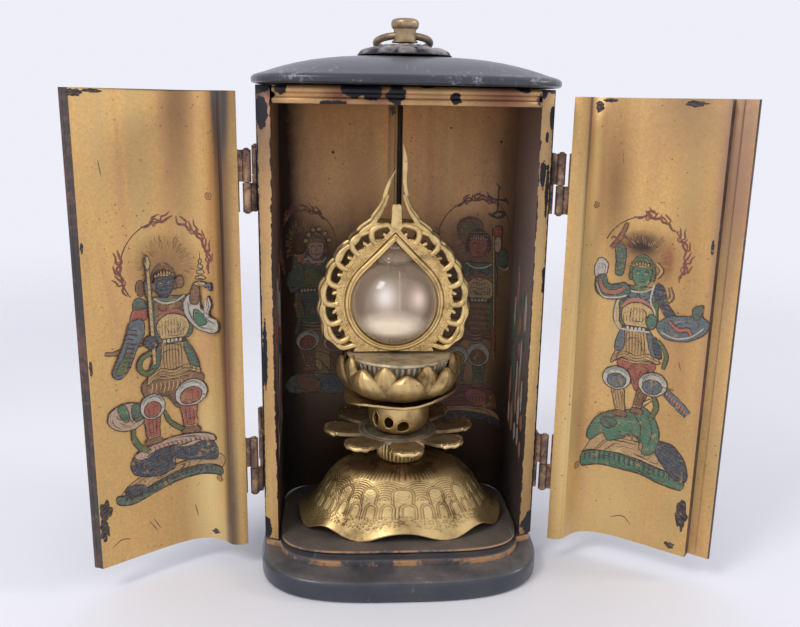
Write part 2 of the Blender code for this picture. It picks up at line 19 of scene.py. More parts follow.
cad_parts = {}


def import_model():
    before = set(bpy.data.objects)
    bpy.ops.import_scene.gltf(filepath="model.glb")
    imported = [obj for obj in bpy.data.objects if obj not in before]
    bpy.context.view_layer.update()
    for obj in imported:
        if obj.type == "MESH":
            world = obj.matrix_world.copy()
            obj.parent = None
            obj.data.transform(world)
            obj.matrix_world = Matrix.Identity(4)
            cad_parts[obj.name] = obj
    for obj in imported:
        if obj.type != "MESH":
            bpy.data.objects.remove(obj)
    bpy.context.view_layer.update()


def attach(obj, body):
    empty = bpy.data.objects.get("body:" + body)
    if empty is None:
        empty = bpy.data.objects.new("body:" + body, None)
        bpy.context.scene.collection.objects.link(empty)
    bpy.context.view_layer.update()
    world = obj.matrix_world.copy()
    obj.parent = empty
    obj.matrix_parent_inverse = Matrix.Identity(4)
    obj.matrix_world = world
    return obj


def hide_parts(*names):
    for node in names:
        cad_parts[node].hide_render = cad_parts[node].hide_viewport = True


Colour = tuple[float, float, float]
Flat = tuple[float, float]
Spot = tuple[float, float, float]

LOG = logging.getLogger("shrine")
MM = 0.001
GAP = 0.27
SMOOTH_ANGLE = math.radians(38)
TINY = 1e-9


# ---------------------------------------------------------------- node trees

class Value:
    """A node's output socket that takes part in Python arithmetic."""

    def __init__(self, graph: "Graph", socket: bpy.types.NodeSocket) -> None:
        """Wrap a socket of the graph's tree."""
        self.graph = graph
        self.socket = socket

    def _math(self, operation: str, first: object, second: object = 0.0, clamp: bool = False) -> "Value":
        """Add a Math node on two operands."""
        settings = {"operation": operation, "use_clamp": clamp}
        return self.graph.node("ShaderNodeMath", settings, {0: first, 1: second})

    def clamped(self) -> "Value":
        """self held between 0 and 1."""
        return self._math("ADD", self, 0.0, clamp=True)

    def between(self, low: float, high: float) -> "Value":
        """Smooth step: 0 at low, 1 at high; low may be the larger of the two."""
        settings = {"interpolation_type": "SMOOTHSTEP"}
        if low < high:
            return self.graph.node("ShaderNodeMapRange", settings, {0: self, 1: low, 2: high})
        return self.graph.node("ShaderNodeMapRange", settings, {0: self, 1: high, 2: low, 3: 1.0, 4: 0.0})


def arithmetic(operation: str, swapped: bool) -> Callable[[Value, object], Value]:
    """Python operator that adds a Math node; swapped puts the other operand first."""
    def operator(self: Value, other: object) -> Value:
        """Combine the value with another value or number."""
        first, second = (other, self) if swapped else (self, other)
        return self._math(operation, first, second)
    return operator


for sign, operation_name in (("add", "ADD"), ("sub", "SUBTRACT"), ("mul", "MULTIPLY"), ("truediv", "DIVIDE"),
                             ("pow", "POWER")):
    setattr(Value, f"__{sign}__", arithmetic(operation_name, False))
    setattr(Value, f"__r{sign}__", arithmetic(operation_name, True))


class Graph:
    """A node tree that is written as calls and expressions."""

    def __init__(self, tree: bpy.types.NodeTree) -> None:
        """Work on the given tree."""
        self.tree = tree

    def node(self, kind: str, settings: dict | None = None, inputs: dict | None = None,
             output: int | str = 0) -> Value:
        """Add a node.

        Args:
            kind: The node's type name.
            settings: The node's own options, set first; "stops" fills a colour ramp.
            inputs: Values or links for its sockets, by name or number.
            output: Which output to return.

        Returns:
            The output, ready for more arithmetic.
        """
        made = self.tree.nodes.new(kind)
        for key, value in (settings or {}).items():
            if key == "stops":
                elements = made.color_ramp.elements
                while len(elements) < len(value):
                    elements.new(1.0)
                for element, (position, colour) in zip(elements, value):
                    element.position = position
                    element.color = (*colour, 1.0)
            else:
                setattr(made, key, value)
        for key, value in (inputs or {}).items():
            if isinstance(value, Value):
                self.tree.links.new(value.socket, made.inputs[key])
            else:
                made.inputs[key].default_value = value
        return Value(self, made.outputs[output])


class Surface(Graph):
    """The shader tree of one finish, on Object coordinates."""

    def __init__(self, name: str) -> None:
        """Start a material of that name."""
        self.material = bpy.data.materials.new(name)
        self.material.use_nodes = True
        super().__init__(self.material.node_tree)
        self.shader = self.tree.nodes["Principled BSDF"]
        self.place = self.node("ShaderNodeTexCoord", output="Object")

    def stretched(self, stretch: Spot) -> Value:
        """Object coordinates scaled along each axis."""
        return self.node("ShaderNodeVectorMath", {"operation": "MULTIPLY"}, {0: self.place, 1: stretch})

    def noise(self, size: float, detail: float = 3.0, stretch: Spot = (1, 1, 1), twist: float = 0.0,
              rough: float = 0.55) -> Value:
        """Cloudy pattern from 0 to 1.

        Args:
            size: Size of the clouds in millimetres.
            detail: Octaves of finer clouds.
            stretch: Smaller numbers draw the pattern out along that axis.
            twist: How much the clouds swirl.
            rough: Weight of the finer clouds.

        Returns:
            The pattern.
        """
        vector = self.place if stretch == (1, 1, 1) else self.stretched(stretch)
        inputs = {"Vector": vector, "Scale": 1.0 / (size * MM), "Detail": detail, "Roughness": rough,
                  "Distortion": twist}
        return self.node("ShaderNodeTexNoise", None, inputs)

    def specks(self, size: float, share: float) -> Value:
        """Scattered round specks, 1 inside a speck.

        Args:
            size: Distance between specks in millimetres.
            share: Radius of a speck as a share of that distance.

        Returns:
            The mask.
        """
        cells = self.node("ShaderNodeTexVoronoi", None, {"Vector": self.place, "Scale": 1.0 / (size * MM)})
        return cells.between(share + 0.12, share)

    def near(self, centre: Spot, radius: float, soft: float = 1.0, stretch: Spot = (1, 1, 1)) -> Value:
        """1 at a spot (millimetres), falling to 0 at radius; soft is the share over which it falls."""
        moved = self.stretched(stretch) if stretch != (1, 1, 1) else self.place
        there = tuple(c * s * MM for c, s in zip(centre, stretch))
        reach = self.node("ShaderNodeVectorMath", {"operation": "DISTANCE"}, {0: moved, 1: there}, "Value")
        return reach.between(radius * MM, radius * MM * (1.0 - soft))

    def axis(self, which: str) -> Value:
        """One Object coordinate in millimetres."""
        return self.node("ShaderNodeSeparateXYZ", None, {0: self.place}, which) * (1.0 / MM)

    def mix(self, factor: Value | float, first: object, second: object) -> Value:
        """Blend two colours: first at factor 0, second at 1."""
        pair = {0: factor}
        for key, colour in ((6, first), (7, second)):
            pair[key] = colour if isinstance(colour, Value) else (*colour, 1.0)
        return self.node("ShaderNodeMix", {"data_type": "RGBA"}, pair, 2)

    def relief(self, height: Value, distance: float, strength: float = 1.0) -> Value:
        """Bump of a height pattern; distance is its depth in millimetres."""
        return self.node("ShaderNodeBump", None, {"Strength": strength, "Distance": distance * MM,
                                                   "Height": height})

    def done(self, **sockets: object) -> bpy.types.Material:
        """Set or link the shader's sockets, named with _ for a space, and return the material."""
        for key, value in sockets.items():
            socket = self.shader.inputs[key.replace("_", " ")]
            if isinstance(value, Value):
                self.tree.links.new(value.socket, socket)
            elif isinstance(value, tuple):
                socket.default_value = (*value, 1.0)
            else:
                socket.default_value = value
        return self.material


class GeoTree(Graph):
    """A geometry tree with named inputs, baked into a plain mesh."""

    def __init__(self, name: str, inputs: dict[str, str]) -> None:
        """Start a tree.

        Args:
            name: The tree's name.
            inputs: Socket type of each named input, such as {"Radius": "Float"}.
        """
        super().__init__(bpy.data.node_groups.new(name, "GeometryNodeTree"))
        face = self.tree.interface
        face.new_socket("Geometry", in_out="INPUT", socket_type="NodeSocketGeometry")
        for label, kind in inputs.items():
            face.new_socket(label, in_out="INPUT", socket_type=f"NodeSocket{kind}")
        face.new_socket("Geometry", in_out="OUTPUT", socket_type="NodeSocketGeometry")
        self.source = self.tree.nodes.new("NodeGroupInput")

    def input(self, label: str) -> Value:
        """A named input of the tree."""
        return Value(self, self.source.outputs[label])

    def close(self, geometry: Value) -> None:
        """End the tree in Realize Instances and Set Material."""
        solid = self.node("GeometryNodeRealizeInstances", None, {0: geometry})
        dressed = self.node("GeometryNodeSetMaterial", None, {0: solid, "Material": self.input("Material")})
        sink = self.tree.nodes.new("NodeGroupOutput")
        self.tree.links.new(dressed.socket, sink.inputs[0])

    def bake(self, name: str, host: bpy.types.Mesh, values: dict[str, object]) -> bpy.types.Object:
        """Run the tree on a mesh and keep the result as a plain object.

        Args:
            name: Name of the new object.
            host: The mesh the tree works on.
            values: A value for each named input.

        Returns:
            The object with the result as its mesh.
        """
        carrier = bpy.data.objects.new(f"{name}_carrier", host)
        bpy.context.collection.objects.link(carrier)
        modifier = carrier.modifiers.new("tree", "NODES")
        modifier.node_group = self.tree
        for item in self.tree.interface.items_tree:
            if item.in_out == "INPUT" and item.name in values:
                modifier[item.identifier] = values[item.name]
        mesh = plain_mesh(carrier)
        bpy.data.objects.remove(carrier, do_unlink=True)
        mesh.name = name
        return link_mesh(name, mesh)


# ---------------------------------------------------------------- meshes

def plain_mesh(item: bpy.types.Object) -> bpy.types.Mesh:
    """The object's mesh with its modifiers applied."""
    bpy.context.view_layer.update()
    return bpy.data.meshes.new_from_object(item.evaluated_get(bpy.context.evaluated_depsgraph_get()))


def link_mesh(name: str, mesh: bpy.types.Mesh) -> bpy.types.Object:
    """Put a mesh into the scene, smooth except at real edges."""
    mesh.shade_smooth()
    mesh.set_sharp_from_angle(angle=SMOOTH_ANGLE)
    item = bpy.data.objects.new(name, mesh)
    bpy.context.collection.objects.link(item)
    return item


def applied(item: bpy.types.Object) -> bpy.types.Object:
    """Replace the object's mesh by the result of its modifiers, and drop them."""
    mesh = plain_mesh(item)
    item.modifiers.clear()
    item.data = mesh
    mesh.shade_smooth()
    mesh.set_sharp_from_angle(angle=SMOOTH_ANGLE)
    return item


def bevelled(item: bpy.types.Object, width: float, segments: int = 2) -> bpy.types.Object:
    """Round the real edges of a piece by a width in millimetres."""
    bevel = item.modifiers.new("edges", "BEVEL")
    bevel.width = width * MM
    bevel.segments = segments
    bevel.limit_method = "ANGLE"
    bevel.angle_limit = math.radians(30)
    bevel.use_clamp_overlap = True
    return applied(item)


def cut_away(item: bpy.types.Object, cutter: bpy.types.Object) -> bpy.types.Object:
    """Cut one solid out of another and remove the cutter."""
    modifier = item.modifiers.new("cut", "BOOLEAN")
    modifier.operation = "DIFFERENCE"
    modifier.solver = "EXACT"
    modifier.object = cutter
    applied(item)
    bpy.data.objects.remove(cutter, do_unlink=True)
    return item


def merged(name: str, items: Sequence[bpy.types.Object]) -> bpy.types.Object:
    """Join several objects at the origin into one piece, keeping their materials and attributes."""
    mesh = bmesh.new()
    materials: list[bpy.types.Material] = []
    for item in items:
        start = len(mesh.faces)
        mesh.from_mesh(item.data)
        mesh.faces.ensure_lookup_table()
        slots = list(item.data.materials)
        for face in mesh.faces[start:]:
            material = slots[min(face.material_index, len(slots) - 1)]
            if material not in materials:
                materials.append(material)
            face.material_index = materials.index(material)
        bpy.data.objects.remove(item, do_unlink=True)
    data = bpy.data.meshes.new(name)
    mesh.to_mesh(data)
    mesh.free()
    for material in materials:
        data.materials.append(material)
    return link_mesh(name, data)


def settle(item: bpy.types.Object, body: str, slot: str, *nodes: str) -> bpy.types.Object:
    """Hand a finished piece to the frame.

    Args:
        item: The piece.
        body: The body that it rides on.
        slot: The material slot meant for its finish; not used.
        nodes: The CAD nodes that it stands for.

    Returns:
        The piece.
    """
    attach(item, body)
    if nodes:
        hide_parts(*nodes)
    LOG.info("%-34s %-16s %7d faces", item.name, body, len(item.data.polygons))
    return item


class Solid:
    """Skins and solids drawn in millimetres and gathered into one mesh."""

    def __init__(self) -> None:
        """Start empty."""
        self.points: list[Spot] = []
        self.faces: list[Sequence[int]] = []
        self.tags: list[int] = []
        self.hollow: list[float] = []

    def add(self, points: Sequence[Spot], faces: Sequence[Sequence[int]], tags: int | Sequence[int] = 0,
            hollow: float | Sequence[float] = 0.0) -> "Solid":
        """Add points and faces; tags choose each face's material and hollow says how deep a point lies."""
        start = len(self.points)
        self.points += [tuple(point) for point in points]
        self.faces += [[start + corner for corner in face] for face in faces]
        self.tags += [tags] * len(faces) if isinstance(tags, int) else list(tags)
        self.hollow += [hollow] * len(points) if isinstance(hollow, (int, float)) else list(hollow)
        return self

    def skin(self, rows: Sequence[Sequence[Spot]], loop: bool = False, caps: bool = True,
             hollow: Sequence[float] | float = 0.0,
             tag_of: Callable[[int, int], int] | None = None) -> "Solid":
        """Skin over rows of equally many points, each row closed on itself.

        Args:
            rows: The rows, each a list of points.
            loop: Whether the last row joins the first.
            caps: Whether the first and last rows are filled.
            hollow: Depth of each point, row by row.
            tag_of: Material of the face at (row, step), if not all have the first.

        Returns:
            The solid itself.
        """
        width = len(rows[0])
        faces: list[Sequence[int]] = []
        tags: list[int] = []
        for row in range(len(rows) if loop else len(rows) - 1):
            below, above = row * width, (row + 1) % len(rows) * width
            for step in range(width):
                after = (step + 1) % width
                faces.append((below + step, below + after, above + after, above + step))
                tags.append(tag_of(row, step) if tag_of else 0)
        if caps and not loop:
            faces += [tuple(range(width))[::-1], tuple(range((len(rows) - 1) * width, len(rows) * width))]
            tags += [0, 0]
        return self.add([point for row in rows for point in row], faces, tags, hollow)

    def tube(self, path: Sequence[Spot], radius: float | Sequence[float], sides: int = 8, loop: bool = False,
             flat: float = 1.0) -> "Solid":
        """Round or flattened rod along a path; radius may be given for each point of it."""
        spine = [Vector(point) for point in path]
        radii = [radius] * len(spine) if isinstance(radius, (int, float)) else list(radius)
        rows = []
        side = None
        for place, point in enumerate(spine):
            along = direction(spine, place, loop).normalized()
            if side is None:
                side = along.orthogonal() if abs(along.y) > 0.9 else Vector((0, 1, 0)).cross(along)
            side = (side - along * side.dot(along)).normalized()
            up = along.cross(side)
            rows.append([tuple(point + radii[place] * (side * math.cos(turn) + up * flat * math.sin(turn)))
                         for turn in (math.tau * step / sides for step in range(sides))])
        return self.skin(rows, loop=loop)

    def turned(self, profile: Sequence[Flat], count: int, centre: Flat = (0.0, 0.0)) -> "Solid":
        """Solid turned about a vertical line from (radius, height) points."""
        rows = [[(*spot, height) for spot in circle(radius, count, centre)] for radius, height in profile]
        return self.skin(rows)

    def slab(self, loops: Sequence[Sequence[Flat]], low: float, high: float, cap: int = 0,
             sides: Sequence[int] | int = 0) -> "Solid":
        """Flat plate with holes, standing from low to high; sides tags the first outline's segments."""
        flat = [point for loop in loops for point in loop]
        count = len(flat)
        faces: list[Sequence[int]] = []
        for corners in tessellate_polygon([[Vector((x, y, 0)) for x, y in loop] for loop in loops]):
            faces.append(tuple(corners))
            faces.append(tuple(count + corner for corner in reversed(corners)))
        tags = [cap] * len(faces)
        start = 0
        for number, loop in enumerate(loops):
            for step in range(len(loop)):
                here, there = start + step, start + (step + 1) % len(loop)
                faces.append((here, there, count + there, count + here))
                tags.append(sides[step] if number == 0 and not isinstance(sides, int) else cap)
            start += len(loop)
        return self.add([(x, y, low) for x, y in flat] + [(x, y, high) for x, y in flat], faces, tags)

    def moved(self, place: Callable[[Spot], Spot]) -> "Solid":
        """Move every point by a function."""
        self.points = [tuple(place(point)) for point in self.points]
        return self

    def item(self, name: str, *materials: bpy.types.Material) -> bpy.types.Object:
        """Make the object, with its faces turned outwards."""
        mesh = bpy.data.meshes.new(name)
        mesh.from_pydata([tuple(c * MM for c in point) for point in self.points], [], self.faces)
        mesh.polygons.foreach_set("material_index", self.tags)
        depth = mesh.attributes.new("hollow", "FLOAT", "POINT")
        depth.data.foreach_set("value", self.hollow)
        for material in materials:
            mesh.materials.append(material)
        work = bmesh.new()
        work.from_mesh(mesh)
        bmesh.ops.recalc_face_normals(work, faces=work.faces)
        work.to_mesh(mesh)
        work.free()
        return link_mesh(name, mesh)


# ---------------------------------------------------------------- outlines

def circle(radius: float, count: int, centre: Flat = (0.0, 0.0)) -> list[Flat]:
    """Points round a circle."""
    return [(centre[0] + radius * math.cos(turn), centre[1] + radius * math.sin(turn))
            for turn in (math.tau * step / count for step in range(count))]


def direction(path: Sequence[Sequence[float]], place: int, closed: bool = False) -> Vector:
    """Vector from the point before a place of a path to the point after it."""
    before = path[place - 1] if place or closed else path[place]
    after = path[(place + 1) % len(path)] if place + 1 < len(path) or closed else path[place]
    return Vector([there - here for here, there in zip(before, after)])


def at_share(line: Sequence[Sequence[float]], share: float,
             weight: float = 1.0) -> tuple[float, float, float]:
    """Place at a share of a line's length, and the length up to there; weight scales the first axis."""
    lengths = [0.0]
    for first, second in zip(line, line[1:]):
        lengths.append(lengths[-1] + math.hypot((second[0] - first[0]) * weight, second[1] - first[1]))
    want = share * lengths[-1]
    place = next((k for k in range(1, len(lengths)) if lengths[k] >= want - TINY), len(lengths) - 1)
    part = (want - lengths[place - 1]) / max(TINY, lengths[place] - lengths[place - 1])
    return (lerp(line[place - 1][0], line[place][0], part), lerp(line[place - 1][1], line[place][1], part),
            want)


def superellipse(half_x: float, half_y: float, power: float, count: int,
                 straight: float = 0.0) -> list[Flat]:
    """Closed outline with flat sides and round corners."""
    points = []
    for step in range(count):
        angle = math.tau * (step + 0.5) / count
        across = abs(math.cos(angle)) ** (2 / power) * half_x
        along = abs(math.sin(angle)) ** (2 / power) * (half_y - straight) + straight
        points.append((math.copysign(across, math.cos(angle)), math.copysign(along, math.sin(angle))))
    return points


def smooth(points: Sequence[Sequence[float]], closed: bool = False, steps: int = 5) -> list[tuple]:
    """Smooth curve through a few points."""
    count = len(points)
    result = []
    for place in range(count if closed else count - 1):
        if closed:
            four = [points[(place + shift) % count] for shift in (-1, 0, 1, 2)]
        else:
            four = [points[min(max(place + shift, 0), count - 1)] for shift in (-1, 0, 1, 2)]
        for step in range(steps):
            t = step / steps
            weights = (-t ** 3 + 2 * t * t - t, 3 * t ** 3 - 5 * t * t + 2, -3 * t ** 3 + 4 * t * t + t,
                       t ** 3 - t * t)
            result.append(tuple(sum(w * p[axis] for w, p in zip(weights, four)) / 2
                                for axis in range(len(four[0]))))
    if not closed:
        result.append(tuple(points[-1]))
    return result


def lerp(first: float, second: float, share: float) -> float:
    """The number at a share of the way from first to second."""
    return first + (second - first) * share


def wobble(x: float, y: float, size: float, seed: float = 0.0) -> float:
    """Smooth random number from about -1 to 1 that changes over size."""
    return noise.noise(Vector((x / size, y / size, seed * 7.3)))


# ---------------------------------------------------------------- finishes

@dataclass(frozen=True)
class ColourPatch:
    """A soft patch of another colour on a finish."""

    centre: Spot                  # millimetres
    radius: float
    colour: Colour = (0.13, 0.065, 0.035)
    strength: float = 0.8
    soft: float = 1.0
    stretch: Spot = (1, 1, 1)
    broken: bool = False          # edges broken like a chip


@dataclass(frozen=True)
class GoldLacquer:
    """Aged gold lacquer: warm gold, brown where it is thin, speckled and a little rubbed."""

    name: str
    gold: Colour = (0.66, 0.41, 0.15)
    brown: Colour = (0.27, 0.145, 0.058)
    thin: float = 0.45            # how much of the brown shows through
    dull: float = 0.0             # share darkened all over
    # soft patches of other colours: worn and darker areas, and on the doors also painted sheen and painted
    # shadow
    patches: tuple[ColourPatch, ...] = ()
    darker_below: float = 0.0      # height in millimetres under which the gold goes dark
    flakes: float = 0.0           # share lost to the black under it
    streak: float = 9.0           # width of the upright streaks in millimetres

    def build(self) -> bpy.types.Material:
        """Return the material."""
        s = Surface(self.name)
        clouds = s.noise(26, 4, (1, 1, 0.45), 0.4)
        streaks = s.noise(self.streak, 3, (1, 1, 0.05))
        grain = s.noise(0.9, 4)
        weave = s.noise(0.35, 3, (1, 1, 0.6), rough=0.7)
        fleck = s.noise(2.6, 5, rough=0.7)
        thin = (clouds.between(0.42, 0.72) * 0.65 + streaks.between(0.5, 0.75) * 0.4) * self.thin
        pale = tuple(min(1.0, c * 1.22) for c in self.gold)
        colour = s.mix(grain.between(0.35, 0.7) * 0.6, self.gold, pale)
        colour = s.mix(weave.between(0.44, 0.72) * 0.27, colour, self.brown)
        tint = s.noise(10, 3, (1, 1, 0.14), 0.6)
        colour = s.mix(tint.between(0.5, 0.68) * 0.5, colour,
                       tuple(c * k for c, k in zip(self.gold, (0.82, 0.98, 1.15))))
        colour = s.mix(tint.between(0.5, 0.34) * 0.5, colour,
                       tuple(c * k for c, k in zip(self.gold, (0.86, 0.74, 1.0))))
        colour = s.mix((thin + fleck.between(0.55, 0.8) * 0.3 * self.thin).clamped(), colour, self.brown)
        for colour_patch in self.patches:
            reach = s.near(colour_patch.centre, colour_patch.radius, colour_patch.soft, colour_patch.stretch)
            if colour_patch.broken:
                ragged = (reach + fleck * 1.5 + clouds * 0.6 - 1.05).between(0.4, 0.47) * colour_patch.strength
            else:
                ragged = (reach * (0.55 + clouds * 0.5 + fleck * 0.4) * colour_patch.strength).clamped()
            colour = s.mix(ragged, colour, colour_patch.colour)
        spread = s.noise(14, 2).between(0.45, 0.65)
        specks = s.specks(2.3, 0.045) * spread * 0.7 + s.specks(0.9, 0.07) * 0.3
        colour = s.mix((specks + self.dull * (0.7 + fleck * 0.6)).clamped(), colour, (0.045, 0.027, 0.02))
        # darker towards the bottom
        if self.darker_below:
            height = s.axis("Z")
            dark = (height + clouds * 24.0).between(self.darker_below + 26.0, self.darker_below - 14.0)
            colour = s.mix(dark * 0.9, colour, (0.045, 0.034, 0.03))
        gone = fleck.between(1.0 - self.flakes, 1.02 - self.flakes) if self.flakes else 0.0
        colour = s.mix(gone, colour, (0.015, 0.015, 0.02))
        bump = s.relief(grain * 0.5 + clouds, 0.06, 0.55)
        return s.done(Base_Color=colour, Roughness=0.36 + fleck * 0.2, Metallic=0.5 - thin * 0.3,
                      Normal=bump)


@dataclass(frozen=True)
class BlackLacquer:
    """Old black lacquer: a blue sheen, a pale dusting (on the roof partly a painted sheen of the sky),
    rubbed brown edges and fine scratches.
    """

    name: str
    black: Colour = (0.020, 0.024, 0.034)
    dust_and_sheen_share: float = 0.2
    dust_and_sheen_colour: Colour = (0.21, 0.19, 0.175)
    gloss: float = 0.34
    worn: float = 0.12            # share rubbed through to red-brown
    scuffs: float = 0.0           # share scuffed pale
    dust_and_sheen_above: float = 0.0      # height in millimetres under which the pale dusting and painted sheen mostly fall away
    gilt_left: tuple[float, float, float] = (0.0, 0.0, 0.0)    # from height, to height, share still gilt

    def build(self) -> bpy.types.Material:
        """Return the material."""
        s = Surface(self.name)
        clouds = s.noise(17, 5, rough=0.65)
        fine = s.noise(1.6, 5, rough=0.7)
        lines = s.noise(2.4, 2, (1, 0.06, 0.6), 0.6)
        # pale film: dusting, and on the roof partly a painted sky sheen
        dust_and_sheen_mask = ((clouds.between(0.3, 0.75) * 0.8 + fine * 0.4) * self.dust_and_sheen_share).clamped()
        if self.dust_and_sheen_above:
            above = s.axis("Z").between(self.dust_and_sheen_above - 0.7, self.dust_and_sheen_above + 0.9)
            dust_and_sheen_mask = dust_and_sheen_mask * (above * 0.75 + 0.25)
        colour = s.mix(dust_and_sheen_mask, self.black, self.dust_and_sheen_colour)
        rubbed = (clouds * 0.6 + fine * 0.55).between(0.78 - self.worn * 0.6, 0.9 - self.worn * 0.6)
        colour = s.mix(rubbed * 0.75, colour, (0.17, 0.075, 0.055))
        colour = s.mix(lines.between(0.68, 0.74) * 0.35, colour, (0.26, 0.27, 0.30))
        pale = (clouds * 0.5 + fine * 0.7).between(0.74 - self.scuffs * 0.3, 0.86 - self.scuffs * 0.3)
        colour = s.mix(pale * min(0.8, self.scuffs * 2), colour, (0.44, 0.445, 0.49))
        low, high, share = self.gilt_left
        gilt: Value | float = 0.0
        if share:
            height = s.axis("Z")
            band = height.between(low - 0.15, low + 0.15) * height.between(high + 0.2, high - 0.1)
            left = (s.noise(15, 4, (1, 1, 0.3), 0.3) * 0.75 + fine * 0.3).between(0.68 - share * 0.4,
                                                                                  0.78 - share * 0.4)
            gilt = band * left
            colour = s.mix(gilt, colour, (0.52, 0.30, 0.14))
        rough = self.gloss + dust_and_sheen_mask * 0.35 + rubbed * 0.2
        return s.done(Base_Color=colour, Roughness=rough, Metallic=gilt * 0.5 if share else 0.0,
                      Normal=s.relief(clouds * 0.5 + fine * 0.5, 0.12, 0.6), Coat_Weight=0.25 - dust_and_sheen_mask * 0.2,
                      Coat_Roughness=0.18)


@dataclass(frozen=True)
class OldMetal:
    """Gilt or patinated metal: bright where rubbed, darker and browner in the hollows."""

    name: str
    bright: Colour = (0.80, 0.60, 0.31)
    dark: Colour = (0.16, 0.095, 0.045)
    tarnish: float = 0.35         # share of the surface that has gone brown
    green: float = 0.0            # share of grey-green patina
    rough: float = 0.30
    metallic: float = 0.9
    cloud: float = 9.0            # size of the tarnish clouds in millimetres
    grain: float = 0.05           # depth of the cast or hammered skin in millimetres

    def build(self) -> bpy.types.Material:
        """Return the material."""
        s = Surface(self.name)
        hollow = s.node("ShaderNodeAttribute", {"attribute_name": "hollow"}, output="Fac")
        clouds = s.noise(self.cloud, 5, rough=0.62)
        fine = s.noise(0.8, 4, rough=0.65)
        brown = (clouds.between(0.62 - self.tarnish * 0.5, 0.95 - self.tarnish * 0.4) * 0.8
                 + fine.between(0.5, 0.85) * 0.35 * self.tarnish)
        colour = s.mix((brown + hollow * 0.95).clamped(), self.bright, self.dark)
        moss = s.noise(6.5, 4, rough=0.6).between(0.75 - self.green * 0.5, 0.95 - self.green * 0.5)
        colour = s.mix(moss * (0.85 if self.green else 0.0), colour, (0.13, 0.135, 0.11))
        colour = s.mix(s.specks(2.2, 0.07) * 0.5, colour, self.dark)
        rough = (self.rough + fine * 0.16 + brown * 0.12 + hollow * 0.2).clamped()
        metal = self.metallic - moss * 0.5 * (1.0 if self.green else 0.0)
        return s.done(Base_Color=colour, Roughness=rough, Metallic=metal,
                      Normal=s.relief(clouds * 0.4 + fine * 0.6, self.grain, 0.7))


@dataclass(frozen=True)
class Pigment:
    """Mineral paint that takes its colour from the brushwork, rubbed and cracked."""

    name: str
    dark: float = 0.0             # extra darkening, in patches
    worn: float = 0.8
    brocade: float = 0.13         # strength of the fine gold threads

    def build(self) -> bpy.types.Material:
        """Return the material."""
        s = Surface(self.name)
        paint = s.node("ShaderNodeAttribute", {"attribute_name": "paint"}, output="Color")
        fine = s.noise(0.55, 4, rough=0.75)
        patch = s.noise(3.4, 4, (1, 1, 0.8), 0.5, 0.65)
        small = s.noise(1.1, 5, rough=0.75)
        colour = s.mix(small.between(0.42, 0.62) * 0.32, paint, (0.22, 0.15, 0.09))
        colour = s.mix(fine.between(0.48, 0.72) * 0.55, colour, (0.05, 0.03, 0.024))
        thread = s.node("ShaderNodeTexWave", {"wave_type": "RINGS"}, {
            "Vector": s.place, "Scale": 0.33 / MM, "Distortion": 5.0, "Detail": 2.0, "Detail Scale": 1.6})
        colour = s.mix(thread.between(0.80, 0.95) * self.brocade, colour, (0.50, 0.33, 0.14))
        lost = (small * 0.6 + patch * 0.5).between(0.60, 0.70)
        colour = s.mix(lost * self.worn, colour, (0.42, 0.25, 0.095))
        colour = s.mix(self.dark * (0.6 + patch * 0.6), colour, (0.03, 0.02, 0.016))
        return s.done(Base_Color=colour, Roughness=0.5 + fine * 0.15, Normal=s.relief(fine, 0.03, 0.6))


@dataclass(frozen=True)
class Crystal:
    """Clear rock crystal with a faint warm tint."""

    name: str
    tint: Colour = (0.975, 0.955, 0.93)

    def build(self) -> bpy.types.Material:
        """Return the material."""
        s = Surface(self.name)
        swirl = s.noise(7, 3, twist=0.8)
        return s.done(Base_Color=s.mix(swirl * 0.5, self.tint, (0.93, 0.90, 0.87)), Transmission_Weight=1.0,
                      Roughness=0.12, IOR=1.46, Normal=s.relief(swirl, 0.02, 0.3))


@dataclass(frozen=True)
class HazeWithPaintedLight:
    """Milky veil inside the crystal, densest and whitest low down; it gives off painted light, brightest
    round the middle, with two painted highlights.
    """

    name: str
    upper: Colour = (0.62, 0.50, 0.42)
    lower: Colour = (0.90, 0.82, 0.72)

    def build(self) -> bpy.types.Material:
        """Return the material."""
        s = Surface(self.name)
        swirl = s.noise(8, 3, twist=0.6)
        # painted light: brightest round the middle of the crystal, and more opaque there
        body = s.near((-1.9, -8.0, 81.0), 19.0, 0.9)
        height = s.axis("Z")
        milk = s.near((-2.6, -7.0, 72.9), 11.0, 1.0, (0.8, 0.7, 1.9)) * height.between(68.0, 71.2)
        # painted highlights: soft bright spots high on the left and right where the lamps would reflect
        left = s.near((-4.9, -9.0, 81.6), 6.0, 1.0, (1.0, 0.7, 0.8))
        right = s.near((4.6, -9.0, 81.0), 5.0, 1.0, (1.0, 0.7, 0.8))
        lumps = s.noise(2.2, 4)
        white = (milk * (0.75 + swirl * 0.6 + lumps * 0.5)).clamped()
        # the painted highlights also make the veil more opaque
        veil = (0.15 + body * 0.2 + swirl * 0.14 + white * 0.45 + (left + right) * 0.4).clamped()
        # painted light given off by the haze: brightest round the middle, dimmer at the bottom, whiter in
        # the milky mass, brightest at the two painted highlights
        painted_glow = s.mix(body, (0.07, 0.05, 0.032), (0.30, 0.235, 0.165))
        painted_glow = s.mix(height.between(71.0, 68.4) * 0.8, painted_glow, (0.06, 0.04, 0.022))
        painted_glow = s.mix(white, painted_glow, (0.47, 0.39, 0.285))
        painted_glow = s.mix(left * left * 0.8, painted_glow, (0.82, 0.83, 0.88))
        painted_glow = s.mix(right * right * 0.8, painted_glow, (0.78, 0.62, 0.55))
        return s.done(Base_Color=s.mix(white, self.upper, self.lower), Roughness=0.8, Alpha=veil,
                      Emission_Color=painted_glow, Emission_Strength=1.0)


